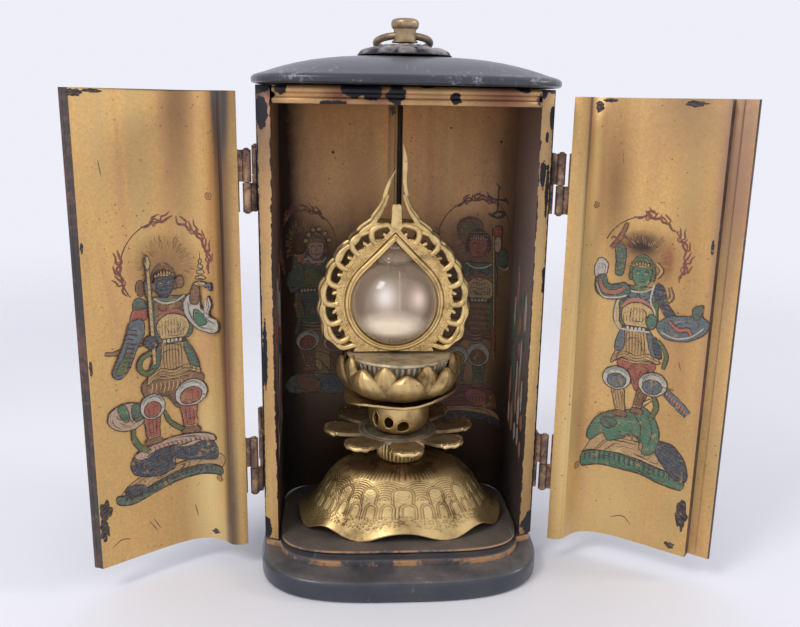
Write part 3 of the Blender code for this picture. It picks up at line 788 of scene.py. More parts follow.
@dataclass(frozen=True)
class Chalk:
    """Dull off-white relic grains."""

    name: str
    white: Colour = (0.80, 0.73, 0.63)

    def build(self) -> bpy.types.Material:
        """Return the material."""
        s = Surface(self.name)
        patch = s.noise(3.0, 4)
        return s.done(Base_Color=s.mix(patch.between(0.4, 0.75) * 0.7, self.white, (0.56, 0.45, 0.35)),
                      Roughness=0.7, Normal=s.relief(patch, 0.1, 0.5))


class Finishes:
    """Every finish of the shrine, made once."""

    def __init__(self) -> None:
        """Build the materials."""
        # the roof's pale bluish dusting is partly a painted sheen of the sky, fainter on the rim's side
        self.roof = BlackLacquer("roof_lacquer", dust_and_sheen_share=0.5, worn=0.16, gloss=0.3, scuffs=0.24,
                                 dust_and_sheen_above=142.4, black=(0.014, 0.018, 0.028),
                                 dust_and_sheen_colour=(0.17, 0.175, 0.205)).build()
        self.base = BlackLacquer("base_side_lacquer", black=(0.016, 0.024, 0.040), dust_and_sheen_share=0.15, worn=0.14,
                                 gloss=0.3, scuffs=0.1).build()
        self.ledge = BlackLacquer("base_ledge_dust", dust_and_sheen_share=0.8, worn=0.2, gloss=0.5, scuffs=0.16,
                                  dust_and_sheen_colour=(0.165, 0.145, 0.13)).build()
        self.riser = BlackLacquer("step_riser", dust_and_sheen_share=0.5, worn=0.4, gloss=0.4,
                                  gilt_left=(6.55, 8.2, 0.56)).build()
        self.step = BlackLacquer("step_top", dust_and_sheen_share=0.25, worn=0.1, gloss=0.25, scuffs=0.05).build()
        self.board = BlackLacquer("floor_board_lacquer", black=(0.062, 0.048, 0.040), dust_and_sheen_share=0.8, worn=0.12,
                                  gloss=0.4, dust_and_sheen_colour=(0.150, 0.122, 0.100), scuffs=0.04,
                                  gilt_left=(8.95, 9.72, 0.62)).build()
        self.outside = BlackLacquer("outside_lacquer", black=(0.016, 0.019, 0.028), dust_and_sheen_share=0.16, worn=0.12,
                                    gloss=0.28).build()
        self.edge = BlackLacquer("door_edge_lacquer", black=(0.024, 0.017, 0.015), dust_and_sheen_share=0.25, worn=0.35,
                                 gloss=0.5, dust_and_sheen_colour=(0.13, 0.095, 0.08)).build()
        black = (0.014, 0.014, 0.02)
        chips = tuple(ColourPatch((x, -26.0, z), reach, black, 1.0, 1.0, (1, 0.2, stretch), True)
                      for x, z, reach, stretch in
                      ((-14.6, 138.4, 5.0, 1.3), (-10.0, 137.8, 4.6, 1.2), (-12.4, 138.2, 4.2, 1.4),
                       (-3.6, 137.2, 4.4, 1.0), (11.4, 136.6, 2.8, 1.0), (-18.0, 134.8, 3.4, 2.4),
                       (-21.4, 135.0, 2.6, 2.4), (29.0, 139.4, 4.0, 1.8), (4.0, 139.6, 3.0, 2.2),
                       (-33.0, 138.4, 3.6, 1.0), (34.6, 136.6, 3.4, 0.8)))
        reddish = tuple(ColourPatch((x, -26.0, 137.0), reach, (0.22, 0.085, 0.05), 0.9, 1.0, (1, 0.2, 1.3))
                        for x, reach in
                        ((-8.0, 9.0), (-18.0, 6.0), (24.0, 12.0)))
        self.moulding = GoldLacquer("moulding_gold", thin=0.9, flakes=0.2, gold=(0.60, 0.36, 0.15),
                                    patches=reddish + chips).build()
        losses = tuple(ColourPatch((x, -13.0, z), reach, black, 1.0, 1.0, (1.0, 0.3, stretch), True)
                       for x, z, reach, stretch in
                       ((-38.7, 141.0, 6.0, 0.8), (-38.6, 132.6, 3.2, 0.42), (36.2, 140.0, 3.4, 0.7),
                        (39.4, 132.0, 1.6, 0.3), (38.8, 140.2, 3.4, 1.0), (37.4, 117.0, 1.9, 0.3),
                        (38.0, 127.0, 1.2, 0.4), (39.6, 12.6, 4.6, 0.7), (-39.8, 12.0, 4.2, 0.6),
                        (-39.9, 62.0, 2.0, 0.2), (39.9, 88.0, 2.0, 0.2), (-39.98, 75.0, 0.9, 0.007),
                        (-36.02, 75.0, 1.0, 0.008), (39.98, 75.0, 1.0, 0.008), (36.02, 75.0, 0.9, 0.007),
                        (-38.8, 66.0, 1.1, 0.06), (38.9, 112.0, 1.1, 0.08)))
        rubbed = (ColourPatch((38.0, -13.0, 128.0), 56.0, (0.36, 0.22, 0.125), 0.6, 1.0, (1.0, 0.3, 1.0)),
                  ColourPatch((-38.0, -13.0, 139.0), 46.0, (0.20, 0.12, 0.075), 1.0, 1.0, (1.0, 0.3, 1.0)),
                  ColourPatch((-36.6, -13.0, 134.0), 9.0, (0.50, 0.27, 0.17), 0.7, 1.0, (4.0, 0.3, 1.0)))
        self.panel = GoldLacquer("panel_gold", gold=(0.63, 0.405, 0.15), thin=1.0, flakes=0.14, streak=2.6,
                                 patches=rubbed + losses).build()
        # inside faces of the side panels: a much darker gold, darkened all over and towards the bottom
        pale_wall = ColourPatch((36.0, 0.0, 80.0), 62.0, (0.40, 0.32, 0.30), 0.9, 0.6, (1.0, 1.0, 0.7))
        self.wall = GoldLacquer("wall_gold", gold=(0.26, 0.165, 0.11), brown=(0.08, 0.05, 0.04), thin=0.9,
                                dull=0.36, darker_below=60.0, patches=(pale_wall,)).build()
        self.hinge = OldMetal("hinge_copper", bright=(0.50, 0.31, 0.19), dark=(0.035, 0.03, 0.04),
                              tarnish=0.75, rough=0.42, cloud=3.2).build()
        self.rosette = OldMetal("rosette_metal", bright=(0.47, 0.44, 0.42), dark=(0.05, 0.045, 0.05),
                                tarnish=0.55, rough=0.36, metallic=0.8, cloud=6.0).build()
        self.copper = OldMetal("finial_copper", bright=(0.52, 0.38, 0.22), dark=(0.085, 0.07, 0.058),
                               tarnish=0.75, rough=0.33).build()
        self.brass = OldMetal("gilt_brass", bright=(0.74, 0.53, 0.235), dark=(0.13, 0.072, 0.03),
                              tarnish=0.42).build()
        self.flame = OldMetal("flame_brass", bright=(0.82, 0.605, 0.275), tarnish=0.34, rough=0.34,
                              dark=(0.17, 0.095, 0.04), cloud=5.0).build()
        self.shaded = OldMetal("shaded_brass", bright=(0.30, 0.205, 0.10), tarnish=0.6, rough=0.42,
                               dark=(0.07, 0.04, 0.022), cloud=5.0).build()
        self.petal = OldMetal("petal_brass", bright=(0.36, 0.255, 0.13), dark=(0.09, 0.055, 0.03),
                              tarnish=0.5, green=0.35, rough=0.4, metallic=0.8, cloud=4.0).build()
        self.disc = OldMetal("disc_brass", bright=(0.46, 0.36, 0.23), dark=(0.10, 0.075, 0.055),
                             tarnish=0.55, green=0.6, rough=0.4, metallic=0.75, cloud=4.0).build()
        self.pod = OldMetal("pod_metal", bright=(0.60, 0.50, 0.33), dark=(0.15, 0.125, 0.085), tarnish=0.45,
                            rough=0.42, metallic=0.6, cloud=4.0).build()
        self.crystal = Crystal("rock_crystal").build()
        self.relic = Chalk("relic_grains").build()
        # milky haze that gives off painted light and carries painted highlights
        self.haze = HazeWithPaintedLight("crystal_haze_painted_glow").build()


# ---------------------------------------------------------------- studio

@dataclass
class Studio:
    """Pale floor, soft light and the camera."""

    camera_place: Spot = (-17.43, -243.58, 135.0)
    lens: float = 38.097
    yaw: float = -0.0712
    pitch: float = 0.2426
    roll: float = 0.01702
    sky: Colour = (0.86, 0.86, 0.945)
    floor_radius: float = 900.0

    def camera(self) -> None:
        """Make the camera and choose it."""
        data = bpy.data.cameras.new("camera")
        data.lens = self.lens
        data.sensor_width = 36.0
        data.clip_start = 0.005
        item = bpy.data.objects.new("camera", data)
        bpy.context.collection.objects.link(item)
        turn = (Matrix.Rotation(self.yaw, 4, "Z") @ Matrix.Rotation(math.pi / 2 - self.pitch, 4, "X")
                @ Matrix.Rotation(self.roll, 4, "Z"))
        item.matrix_world = Matrix.Translation(Vector(self.camera_place) * MM) @ turn
        bpy.context.scene.camera = item

    def light(self, name: str, toward: Spot, distance: float, size: float, power: float,
              colour: Colour = (1, 1, 1)) -> None:
        """Add a soft square light that shines at the shrine from a direction."""
        data = bpy.data.lights.new(name, "AREA")
        data.shape = "RECTANGLE"
        data.size = size
        data.size_y = size * 1.3
        data.energy = power
        data.color = colour
        item = bpy.data.objects.new(name, data)
        bpy.context.collection.objects.link(item)
        aim = Vector((0.0, 0.0, 0.07))
        item.location = aim + Vector(toward).normalized() * distance
        item.rotation_euler = (item.location - aim).to_track_quat("Z", "Y").to_euler()

    def floor(self) -> None:
        """Lay the floor, a big disc with a faint mottle."""
        s = Surface("pale_floor")
        cloud = s.noise(60, 2)
        s.done(Base_Color=s.mix(cloud, (0.76, 0.765, 0.80), (0.79, 0.79, 0.815)), Roughness=0.75,
               Alpha=s.near((0.0, 0.0, 0.0), self.floor_radius * 0.75, 0.82))
        Solid().slab([circle(self.floor_radius, 96)], -2.0, -0.02).item("floor", s.material)

    def build(self) -> None:
        """Set up everything that isn't the object."""
        scene = bpy.context.scene
        scene.view_settings.view_transform = "Standard"
        world = bpy.data.worlds.new("studio")
        world.use_nodes = True
        world.node_tree.nodes["Background"].inputs["Color"].default_value = (*self.sky, 1.0)
        world.node_tree.nodes["Background"].inputs["Strength"].default_value = 1.0
        scene.world = world
        self.camera()
        self.floor()
        self.light("window_left", (-0.54, -0.50, 0.72), 1.0, 0.26, 3.2, (1.0, 0.98, 0.95))
        self.light("window_right", (0.89, -0.12, 0.42), 1.0, 0.18, 1.8, (1.0, 0.96, 0.9))


# ---------------------------------------------------------------- cabinet

PANEL_X = 40.0                      # outer face of the side panels
PANEL_THICK = 4.0
PANEL_Y = 12.4                      # half-depth of their outer faces
PLAN_POWER = 3.05                   # roundness of the base and the roof in plan
INNER_FACE = (36.35, 26.5, 6.2)     # half-width, half-depth and power of the doors' inner faces
OUTER_FACE = (40.25, 29.25, 5.0)    # the same of their outer faces


def stacked(levels: Sequence[Flat], outline: Callable[[float], Sequence[Flat]]) -> list[list[Spot]]:
    """Rows of points, one for each (inset, height), from an outline that depends on its inset."""
    return [[(x, y, height) for x, y in outline(inset)] for inset, height in levels]


@dataclass
class Cabinet:
    """Base, floor board, side panels, ceiling moulding and roof."""

    finish: Finishes
    body: str = "cabinet"
    half_x: float = 41.1
    half_y: float = 34.9
    base_top: float = 6.5
    step_top: float = 8.73
    mitre: float = 1.8
    ceiling_low: float = 134.7
    ceiling_high: float = 139.33

    def step_outline(self, inset: float) -> list[Flat]:
        """Plan of the raised step that the doors close against."""
        shoulder = PANEL_Y - GAP
        front = face_line((INNER_FACE[0] - GAP - inset, INNER_FACE[1] - GAP - inset, 4.2),
                          shoulder + self.mitre, 0.0, 28)
        quarter = [(PANEL_X - GAP - inset, shoulder - inset)] + front[:-1]
        half = quarter + [(-x, y) for x, y in reversed(quarter)]
        return half + [(-x, -y) for x, y in half]

    def base(self) -> None:
        """Slab with a softly rounded edge, and the step with its half-lost gilding."""
        levels = ((1.4, 0.0), (0.5, 0.15), (0.1, 0.7), (0.0, 1.4), (0.0, 4.7), (0.08, 5.3), (0.4, 5.9),
                  (0.9, 6.2), (2.0, self.base_top - 0.08), (14.0, self.base_top))
        rows = stacked(levels, lambda inset: superellipse(self.half_x - inset, self.half_y - inset,
                                                          PLAN_POWER, 144, 7.3 - inset / 2))
        slab = Solid().skin(rows, tag_of=lambda row, step: 1 if row >= 6 else 0)
        slab = slab.item("base_slab", self.finish.base, self.finish.ledge)
        rows = stacked(((0.0, 5.9), (0.0, 8.15), (0.12, 8.5), (0.5, self.step_top), (6.0, self.step_top)),
                       self.step_outline)
        step = Solid().skin(rows, tag_of=lambda row, step: 0 if row < 2 else 1)
        step = step.item("base_step", self.finish.riser, self.finish.step)
        settle(merged("shrine_base", [slab, step]), self.body, "base_lacquer", "base")

    def floor_board(self) -> None:
        """Thin dusty board with a rounded edge."""
        half_x = PANEL_X - PANEL_THICK - GAP
        low, high = self.step_top + GAP, 10.0
        levels = ((0.3, low), (0.0, low + 0.25), (0.0, high - 0.35), (0.12, high - 0.1), (0.4, high),
                  (9.0, high))
        rows = stacked(levels, lambda inset: superellipse(half_x - inset, 23.5 - inset, 4.2, 120))
        settle(Solid().skin(rows).item("shrine_floor_board", self.finish.board), self.body, "floor_lacquer",
               "floor_board")

    def panels(self) -> None:
        """Side panels: gold on the mitred ends and inside, black outside."""
        inner = PANEL_X - PANEL_THICK
        for name, side in (("left", -1), ("right", 1)):
            ends = [(PANEL_X, PANEL_Y), (inner, PANEL_Y + self.mitre)]
            outer = [(PANEL_X + 0.25 * math.cos(math.pi / 2 * step / 6), PANEL_Y * step / 6)
                     for step in range(-5, 6)]
            outline = outer + ends + [(x, -y) for x, y in reversed(ends)]
            tags = [0] * 11 + [1, 2, 1, 0]
            loop = [(side * x, y) for x, y in outline]
            solid = Solid().slab([loop], self.step_top + GAP, self.ceiling_high, 0, tags)
            panel = solid.item(f"shrine_side_panel_{name}", self.finish.outside, self.finish.panel,
                               self.finish.wall)
            settle(bevelled(panel, 0.22), self.body, "gilt_panel", f"side_panel_{name}")

    def ceiling(self) -> None:
        """Ceiling board whose edge is a moulding of two rounded ridges with a groove."""
        half_x = PANEL_X - PANEL_THICK - GAP
        profile = [(0.55, 0.0), (0.2, 0.12), (0.02, 0.5), (0.0, 0.95), (0.12, 1.3), (0.55, 1.55),
                   (0.8, 1.75), (0.8, 2.45), (0.55, 2.7), (0.12, 2.9), (0.0, 3.25), (0.02, 3.7), (0.2, 4.1),
                   (0.55, 4.35), (1.4, self.ceiling_high - self.ceiling_low)]
        rows = stacked([(inset, self.ceiling_low + rise) for inset, rise in profile],
                       lambda inset: superellipse(half_x - inset, INNER_FACE[1] - GAP - inset, 6.2, 120))
        settle(Solid().skin(rows).item("shrine_ceiling_moulding", self.finish.moulding), self.body,
               "gilt_moulding", "ceiling_moulding")

    def roof(self) -> None:
        """Low dome with a thin rounded rim."""
        levels = [(0.955, 0.0), (0.985, 0.1), (0.998, 0.45), (1.0, 0.95), (1.0, 1.45), (0.994, 1.9),
                  (0.98, 2.3), (0.955, 2.65), (0.92, 3.05)]
        levels += [(scale, 3.05 + 4.95 * (1 - (scale / 0.92) ** 2.9)) for scale in
                   (0.87, 0.8, 0.72, 0.63, 0.54, 0.45, 0.35, 0.24, 0.12)]
        rows = []
        for scale, rise in levels:
            outline = superellipse(41.2 * scale, 31.7 * scale, PLAN_POWER, 144, 7.0 * scale)
            rows.append([(x, y, 139.6 + rise + 0.05 * wobble(x, y, 9)) for x, y in outline])
        settle(Solid().skin(rows).item("shrine_roof", self.finish.roof), self.body, "roof_lacquer", "roof")

    def build(self) -> None:
        """Make every piece of the cabinet."""
        self.base()
        self.floor_board()
        self.panels()
        self.ceiling()
        self.roof()


# ---------------------------------------------------------------- doors

def face_line(face: Spot, from_y: float, to_x: float, count: int) -> list[Flat]:
    """Points along a door face in plan.

    Args:
        face: Half-width, half-depth and power of the superellipse it follows.
        from_y: Depth at which it starts at the side.
        to_x: Distance from the middle at which it ends.
        count: Number of segments.

    Returns:
        The points, from the side to the middle.
    """
    half_x, half_y, power = face
    start = math.asin((from_y / half_y) ** (power / 2))
    end = math.acos((max(to_x, 0.0) / half_x) ** (power / 2))
    points = []
    for step in range(count + 1):
        angle = start + (end - start) * step / count
        points.append((half_x * math.cos(angle) ** (2 / power), half_y * math.sin(angle) ** (2 / power)))
    return points


@dataclass
class InnerFace:
    """Inner face of a closed door, measured along the face from the cabinet's middle."""

    face: Spot = INNER_FACE
    end_y: float = 14.8
    station: float = 1.25
    spots: list[Flat] = field(default_factory=list)
    normals: list[Flat] = field(default_factory=list)

    def __post_init__(self) -> None:
        """Lay evenly spaced stations along the face."""
        fine = face_line(self.face, self.end_y, 0.0, 3000)[::-1]
        travelled, wanted = 0.0, 0.0
        for first, second in zip(fine, fine[1:]):
            step = math.dist(first, second)
            while travelled + step >= wanted:
                share = (wanted - travelled) / step
                self.spots.append((lerp(first[0], second[0], share), lerp(first[1], second[1], share)))
                wanted += self.station
            travelled += step
        for place in range(len(self.spots)):
            along = direction(self.spots, place).normalized()
            self.normals.append((along.y, -along.x))
        self.length = (len(self.spots) - 1) * self.station

    def at(self, across: float, lift: float) -> Flat:
        """Plan position at a distance along the face, lifted off it towards the inside."""
        place = min(max(across / self.station, 0.0), len(self.spots) - 1.001)
        low = int(place)
        share = place - low
        ends = []
        for number in (low, low + 1):
            (x, y), (nx, ny) = self.spots[number], self.normals[number]
            ends.append((x + nx * lift * self.inward(), y + ny * lift * self.inward()))
        return lerp(ends[0][0], ends[1][0], share), lerp(ends[0][1], ends[1][1], share)

    def inward(self) -> float:
        """Sign that makes a lift point into the cabinet."""
        return 1.0 if self.normals[0][1] < 0 else -1.0


class Wing(Enum):
    """The four doors: side, place, lip strip and how far each stands open."""

    FRONT_LEFT = ("front", "left", False, 142.0)
    FRONT_RIGHT = ("front", "right", True, 141.0)
    BACK_LEFT = ("back", "left", True, 0.0)
    BACK_RIGHT = ("back", "right", False, 0.0)


@dataclass
class Door:
    """One curved door with its hinges, drawn closed and turned to where it stands."""

    wing: Wing
    finish: Finishes
    gold: bpy.types.Material
    inner: InnerFace
    axis: Flat = (42.7, PANEL_Y)
    bottom: float = 7.66
    top: float = 137.66
    gap: float = 0.3
    outer: Spot = OUTER_FACE
    bevel: float = 1.7
    lip_setback: float = 2.8
    lip_reach: float = 3.3
    lip_thick: float = 1.5
    lip_root: float = 2.4
    knuckle: float = 1.2
    leaf_thick: float = 0.8
    leaf_length: float = 6.5
    upper: Spot = (105.9, 113.9, 122.6)
    lower: Spot = (23.4, 31.5, 40.65)

    def __post_init__(self) -> None:
        """Work out the quarter that the door stands in."""
        self.place, self.side, self.lipped, self.open = self.wing.value
        self.name = f"door_{self.place}_{self.side}"
        self.body = f"{self.place}_{self.side}_door"
        self.sign_x = 1 if self.side == "right" else -1
        self.sign_y = -1 if self.place == "front" else 1

    def closed(self, point: Spot) -> Spot:
        """Carry a point drawn in the +X, +Y quarter to the door's own quarter."""
        return self.sign_x * point[0], self.sign_y * point[1], point[2]

    def at_rest(self, point: Spot) -> Spot:
        """Carry a point of the closed door, drawn in the +X, +Y quarter, to where the door stands."""
        x, y, z = self.closed(point)
        centre_x, centre_y, _ = self.closed((*self.axis, 0.0))
        angle = -self.sign_x * self.sign_y * math.radians(self.open)
        dx, dy = x - centre_x, y - centre_y
        return (centre_x + dx * math.cos(angle) - dy * math.sin(angle),
                centre_y + dx * math.sin(angle) + dy * math.cos(angle), z)

    def on_face(self, across: float, up: float, lift: float = 0.0) -> Spot:
        """A place on the door's inner face, across from the free edge's side and up from the table."""
        x, y = self.inner.at(across, lift)
        return self.at_rest((x, y, up))

    def plan(self) -> tuple[list[Flat], list[int]]:
        """Plan outline and the material of each of its segments: 0 black outside, 1 gold, 2 worn edge."""
        start_y = PANEL_Y + self.gap
        outer_y = self.outer[1]
        strip = [(PANEL_X - reach, start_y + rise) for reach, rise in
                 ((0.8, 0.3), (1.6, 0.5), (2.2, 0.9), (2.9, 1.45), (3.3, 1.65))]
        groove = [(PANEL_X - 3.15, start_y + 1.95)]
        free = self.lip_setback if self.lipped else self.bevel
        inner = [(free, self.inner.spots[2][1])] + [spot for spot in self.inner.spots
                                                    if spot[0] > free + 0.3]
        if self.lipped:
            outer = face_line(self.outer, start_y, self.lip_root + self.lip_setback, 44)
            far_y = outer_y + self.gap + self.lip_thick
            root, lip, flush = self.lip_root + self.lip_setback, self.lip_reach, outer_y + self.gap
            edge = [(root, far_y - 0.5), (root - 0.15, far_y - 0.15), (root - 0.5, far_y),
                    (0.8 - lip, far_y), (0.25 - lip, far_y - 0.15), (-lip, far_y - 0.6),
                    (0.05 - lip, flush + 0.3), (0.35 - lip, flush), (0.3, flush + 0.04),
                    (0.45, flush - 0.18), (0.7, flush), (self.lip_setback, flush)]
            edge_tags = [0] * 4 + [0, 2, 2, 2, 1, 1, 1, 1, 2]
        else:
            outer = face_line(self.outer, start_y, 0.5, 44)
            edge = [(self.gap, outer_y - 0.35), (0.75, outer_y - 1.15), (0.95, outer_y - 1.2)]
            edge_tags = [0, 2, 2, 2]
        outline = outer + edge + inner + groove + strip[::-1]
        tags = [0] * (len(outer) - 1) + edge_tags + [1] * (len(inner) + len(strip) + 1)
        return outline, tags

    def board(self) -> None:
        """The door board itself."""
        outline, tags = self.plan()
        solid = Solid().slab([outline], self.bottom, self.top, 2, tags).moved(self.at_rest)
        item = solid.item(f"shrine_{self.name}", self.finish.outside, self.gold, self.finish.edge)
        settle(bevelled(item, 0.2), self.body, "gilt_door", self.name)

    def leaf_face(self, y: float) -> float:
        """Distance of the door leaf's inner surface from the middle, at a depth."""
        half_x, half_y, power = self.outer
        return half_x * (1 - (y / half_y) ** power) ** (1 / power) + GAP / 2 + 0.1

    def leaf(self, toward: int, levels: Spot, upper: bool) -> Solid:
        """One hinge leaf with its knuckle and three flat nails.

        Args:
            toward: -1 for the side panel's leaf, 1 for the door's.
            levels: Bottom, split and top of the hinge.
            upper: Whether the knuckle is on the upper half.

        Returns:
            The leaf in the +X, +Y quarter.
        """
        low, split, high = levels
        face = self.leaf_face if toward > 0 else (lambda y: OUTER_FACE[0] + GAP / 2)
        depths = [self.axis[1] + toward * lerp(self.knuckle + 0.15, self.leaf_length, step / 5)
                  for step in range(6)]
        inner = [(face(y), y) for y in depths]
        plate = inner + [(x + self.leaf_thick, y) for x, y in inner[::-1]]
        solid = Solid().slab([plate], low, high)
        span = (split + 0.12, high) if upper else (low, split - 0.12)
        rows = []
        for inset, z in ((0.12, span[0]), (0.0, span[0] + 0.15), (0.0, span[1] - 0.15), (0.12, span[1])):
            rows.append([(*spot, z) for spot in circle(self.knuckle - inset, 24, self.axis)])
        solid.skin(rows)
        near = depths[0]
        web = [(face(near) + 0.02, near - toward * 0.1), (face(near) + self.leaf_thick, near - toward * 0.1),
               (self.axis[0] + 0.2, self.axis[1] + toward * 0.9),
               (self.axis[0] - 0.9, self.axis[1] + toward * 0.5)]
        solid.slab([web], span[0] + 0.1, span[1] - 0.1)
        for share in (0.2, 0.5, 0.8):
            nail_y = self.axis[1] + toward * 4.6
            centre = (face(nail_y) + self.leaf_thick, nail_y, lerp(low, high, share))
            rows = []
            for radius, proud in ((0.75, -0.1), (0.72, 0.1), (0.45, 0.27), (0.1, 0.33)):
                rows.append([(centre[0] + proud, y, z) for y, z in circle(radius, 14, centre[1:])])
            solid.skin(rows)
        return solid

    def hinges(self) -> None:
        """Both hinges: the side panel's leaves with the pins, and the door's leaves."""
        upper_is_door = self.side == "left"
        for toward, kind in ((-1, "panel_leaf"), (1, "door_leaf")):
            parts = []
            nodes = []
            for level, levels in (("upper", self.upper), ("lower", self.lower)):
                leaf = self.leaf(toward, levels, upper_is_door == (toward > 0))
                leaf.moved(self.at_rest if toward > 0 else self.closed)
                if toward < 0:
                    x, y, _ = self.closed((*self.axis, 0.0))
                    low, high = levels[0], levels[2]
                    pin = ((0.3, low - 0.45), (0.7, low - 0.3), (0.7, low - 0.05), (0.57, low), (0.57, high),
                           (0.7, high + 0.05), (0.7, high + 0.3), (0.3, high + 0.45))
                    rows = [[(*spot, z) for spot in circle(radius, 16, (x, y))] for radius, z in pin]
                    leaf.skin(rows)
                    nodes.append(f"hinge_{self.place}_{self.side}_{level}_pin")
                nodes.append(f"hinge_{self.place}_{self.side}_{level}_{kind}")
                parts.append(leaf.item(f"{self.name}_{level}", self.finish.hinge))
            piece = merged(f"hinges_{self.place}_{self.side}_{kind}", parts)
            body = self.body if toward > 0 else "cabinet"
            settle(piece, body, "hinge_copper", *nodes)

    def build(self) -> None:
        """Make the door and its hinges."""
        self.board()
        self.hinges()


# ---------------------------------------------------------------- finial

@dataclass
class Finial:
    """Rosette, stud and carrying ring on the roof."""

    finish: Finishes
    rosette_radius: float = 13.2
    low: float = 147.87
    top: float = 151.1
    petals: int = 12
    ring_radius: float = 7.6
    wire: float = 1.0
    tilt: float = 12.0
    axis_z: float = 153.2

    def rosette(self) -> None:
        """Low dome of plump petals in two rows round a raised eye."""
        rows: list[list[Spot]] = []
        hollow: list[float] = []
        count, rings = 288, 34
        for ring in range(rings + 1):
            share = 1.0 - ring / rings * 0.69
            row = []
            for step in range(count):
                angle = math.tau * step / count
                outer = abs(math.cos(self.petals * angle / 2))
                inner = abs(math.sin(self.petals * angle / 2))
                rim = 1.0 - 0.055 * (1 - outer) ** 2 - 0.02 * (1 - outer)
                if share > 0.64:
                    across = (share - 0.64) / 0.36
                    plump = math.sin(math.pi * min(1.0, across * 0.92 + 0.08)) ** 0.6 * outer ** 0.45
                    height = lerp(2.35, 0.35, across) * 0.62 + 1.05 * plump
                    depth = 1.0 - plump
                else:
                    across = (share - 0.31) / 0.33
                    plump = math.sin(math.pi * min(1.0, across * 0.85 + 0.15)) ** 0.7 * inner ** 0.5
                    height = lerp(2.5, 1.75, across) + 0.75 * plump
                    depth = 0.8 * (1.0 - plump)
                height *= min(1.0, (1.0 - share) * 14 + 0.02)
                row.append((self.rosette_radius * share * rim * math.cos(angle),
                            self.rosette_radius * share * rim * math.sin(angle),
                            self.low + min(height, 3.2)))
                hollow.append(min(1.0, depth ** 1.6))
            rows.append(row)
        item = Solid().skin(rows, hollow=hollow).item("roof_rosette", self.finish.rosette)
        settle(item, "cabinet", "rosette_metal", "finial_rosette")

    def stud(self) -> None:
        """Neck and rounded cap, with the hole that the ring passes through."""
        profile = ((0.3, 151.3), (3.55, 151.37), (3.6, 151.6), (3.3, 151.9), (3.1, 152.1), (3.1, 154.6),
                   (3.2, 154.9), (3.45, 155.05), (3.72, 155.4), (3.8, 156.0), (3.8, 156.6), (3.65, 157.05),
                   (3.3, 157.4), (2.6, 157.65), (1.4, 157.78), (0.2, 157.8))
        stud = Solid().turned(profile, 64).item("roof_stud", self.finish.copper)
        bore = Solid().tube([(-6, 0, self.axis_z), (6, 0, self.axis_z)], 1.42, 24)
        stud = cut_away(stud, bore.item("hole", self.finish.copper))
        settle(stud, "cabinet", "finial_copper", "finial_stud")

    def ring(self) -> None:
        """Round ring, worn a little thinner where it hangs."""
        sag = self.ring_radius - math.sqrt(self.ring_radius ** 2 - 3.1 ** 2)
        path, radii = [], []
        for step in range(96):
            angle = math.tau * step / 96
            y = self.ring_radius * (1 - math.cos(angle)) - sag / 2
            x = self.ring_radius * math.sin(angle)
            slope = math.radians(self.tilt)
            path.append((x, y * math.cos(slope), self.axis_z - y * math.sin(slope)))
            radii.append(self.wire * (1.0 - 0.07 * math.exp(-(1 - math.cos(angle)) * 14)))
        item = Solid().tube(path, radii, 16, loop=True).item("roof_ring", self.finish.copper)
        settle(item, "carrying_ring", "finial_copper", "finial_ring")

    def build(self) -> None:
        """Make the three pieces."""
        self.rosette()
        self.stud()
        self.ring()


# ---------------------------------------------------------------- paintings

LEAST_STEP = 1e-6


class Paint:
    """Colours of the mineral paints."""

    INK = (0.035, 0.02, 0.018)
    RUST = (0.17, 0.045, 0.032)
    PLUM = (0.19, 0.052, 0.045)
    BLUE = (0.028, 0.048, 0.075)
    SLATE = (0.09, 0.13, 0.15)
    TEAL = (0.06, 0.12, 0.085)
    GREEN = (0.05, 0.16, 0.095)
    MOSS = (0.08, 0.13, 0.05)
    WHITE = (0.48, 0.45, 0.37)
    SHELL = (0.46, 0.32, 0.23)
    EARTH = (0.46, 0.29, 0.13)
    RED = (0.33, 0.085, 0.06)
    ROSE = (0.42, 0.16, 0.11)
    TAN = (0.44, 0.27, 0.105)
    BROWN = (0.20, 0.095, 0.045)
    STRAW = (0.52, 0.36, 0.15)
    BLACK = (0.012, 0.012, 0.018)
    UMBER = (0.30, 0.165, 0.075)


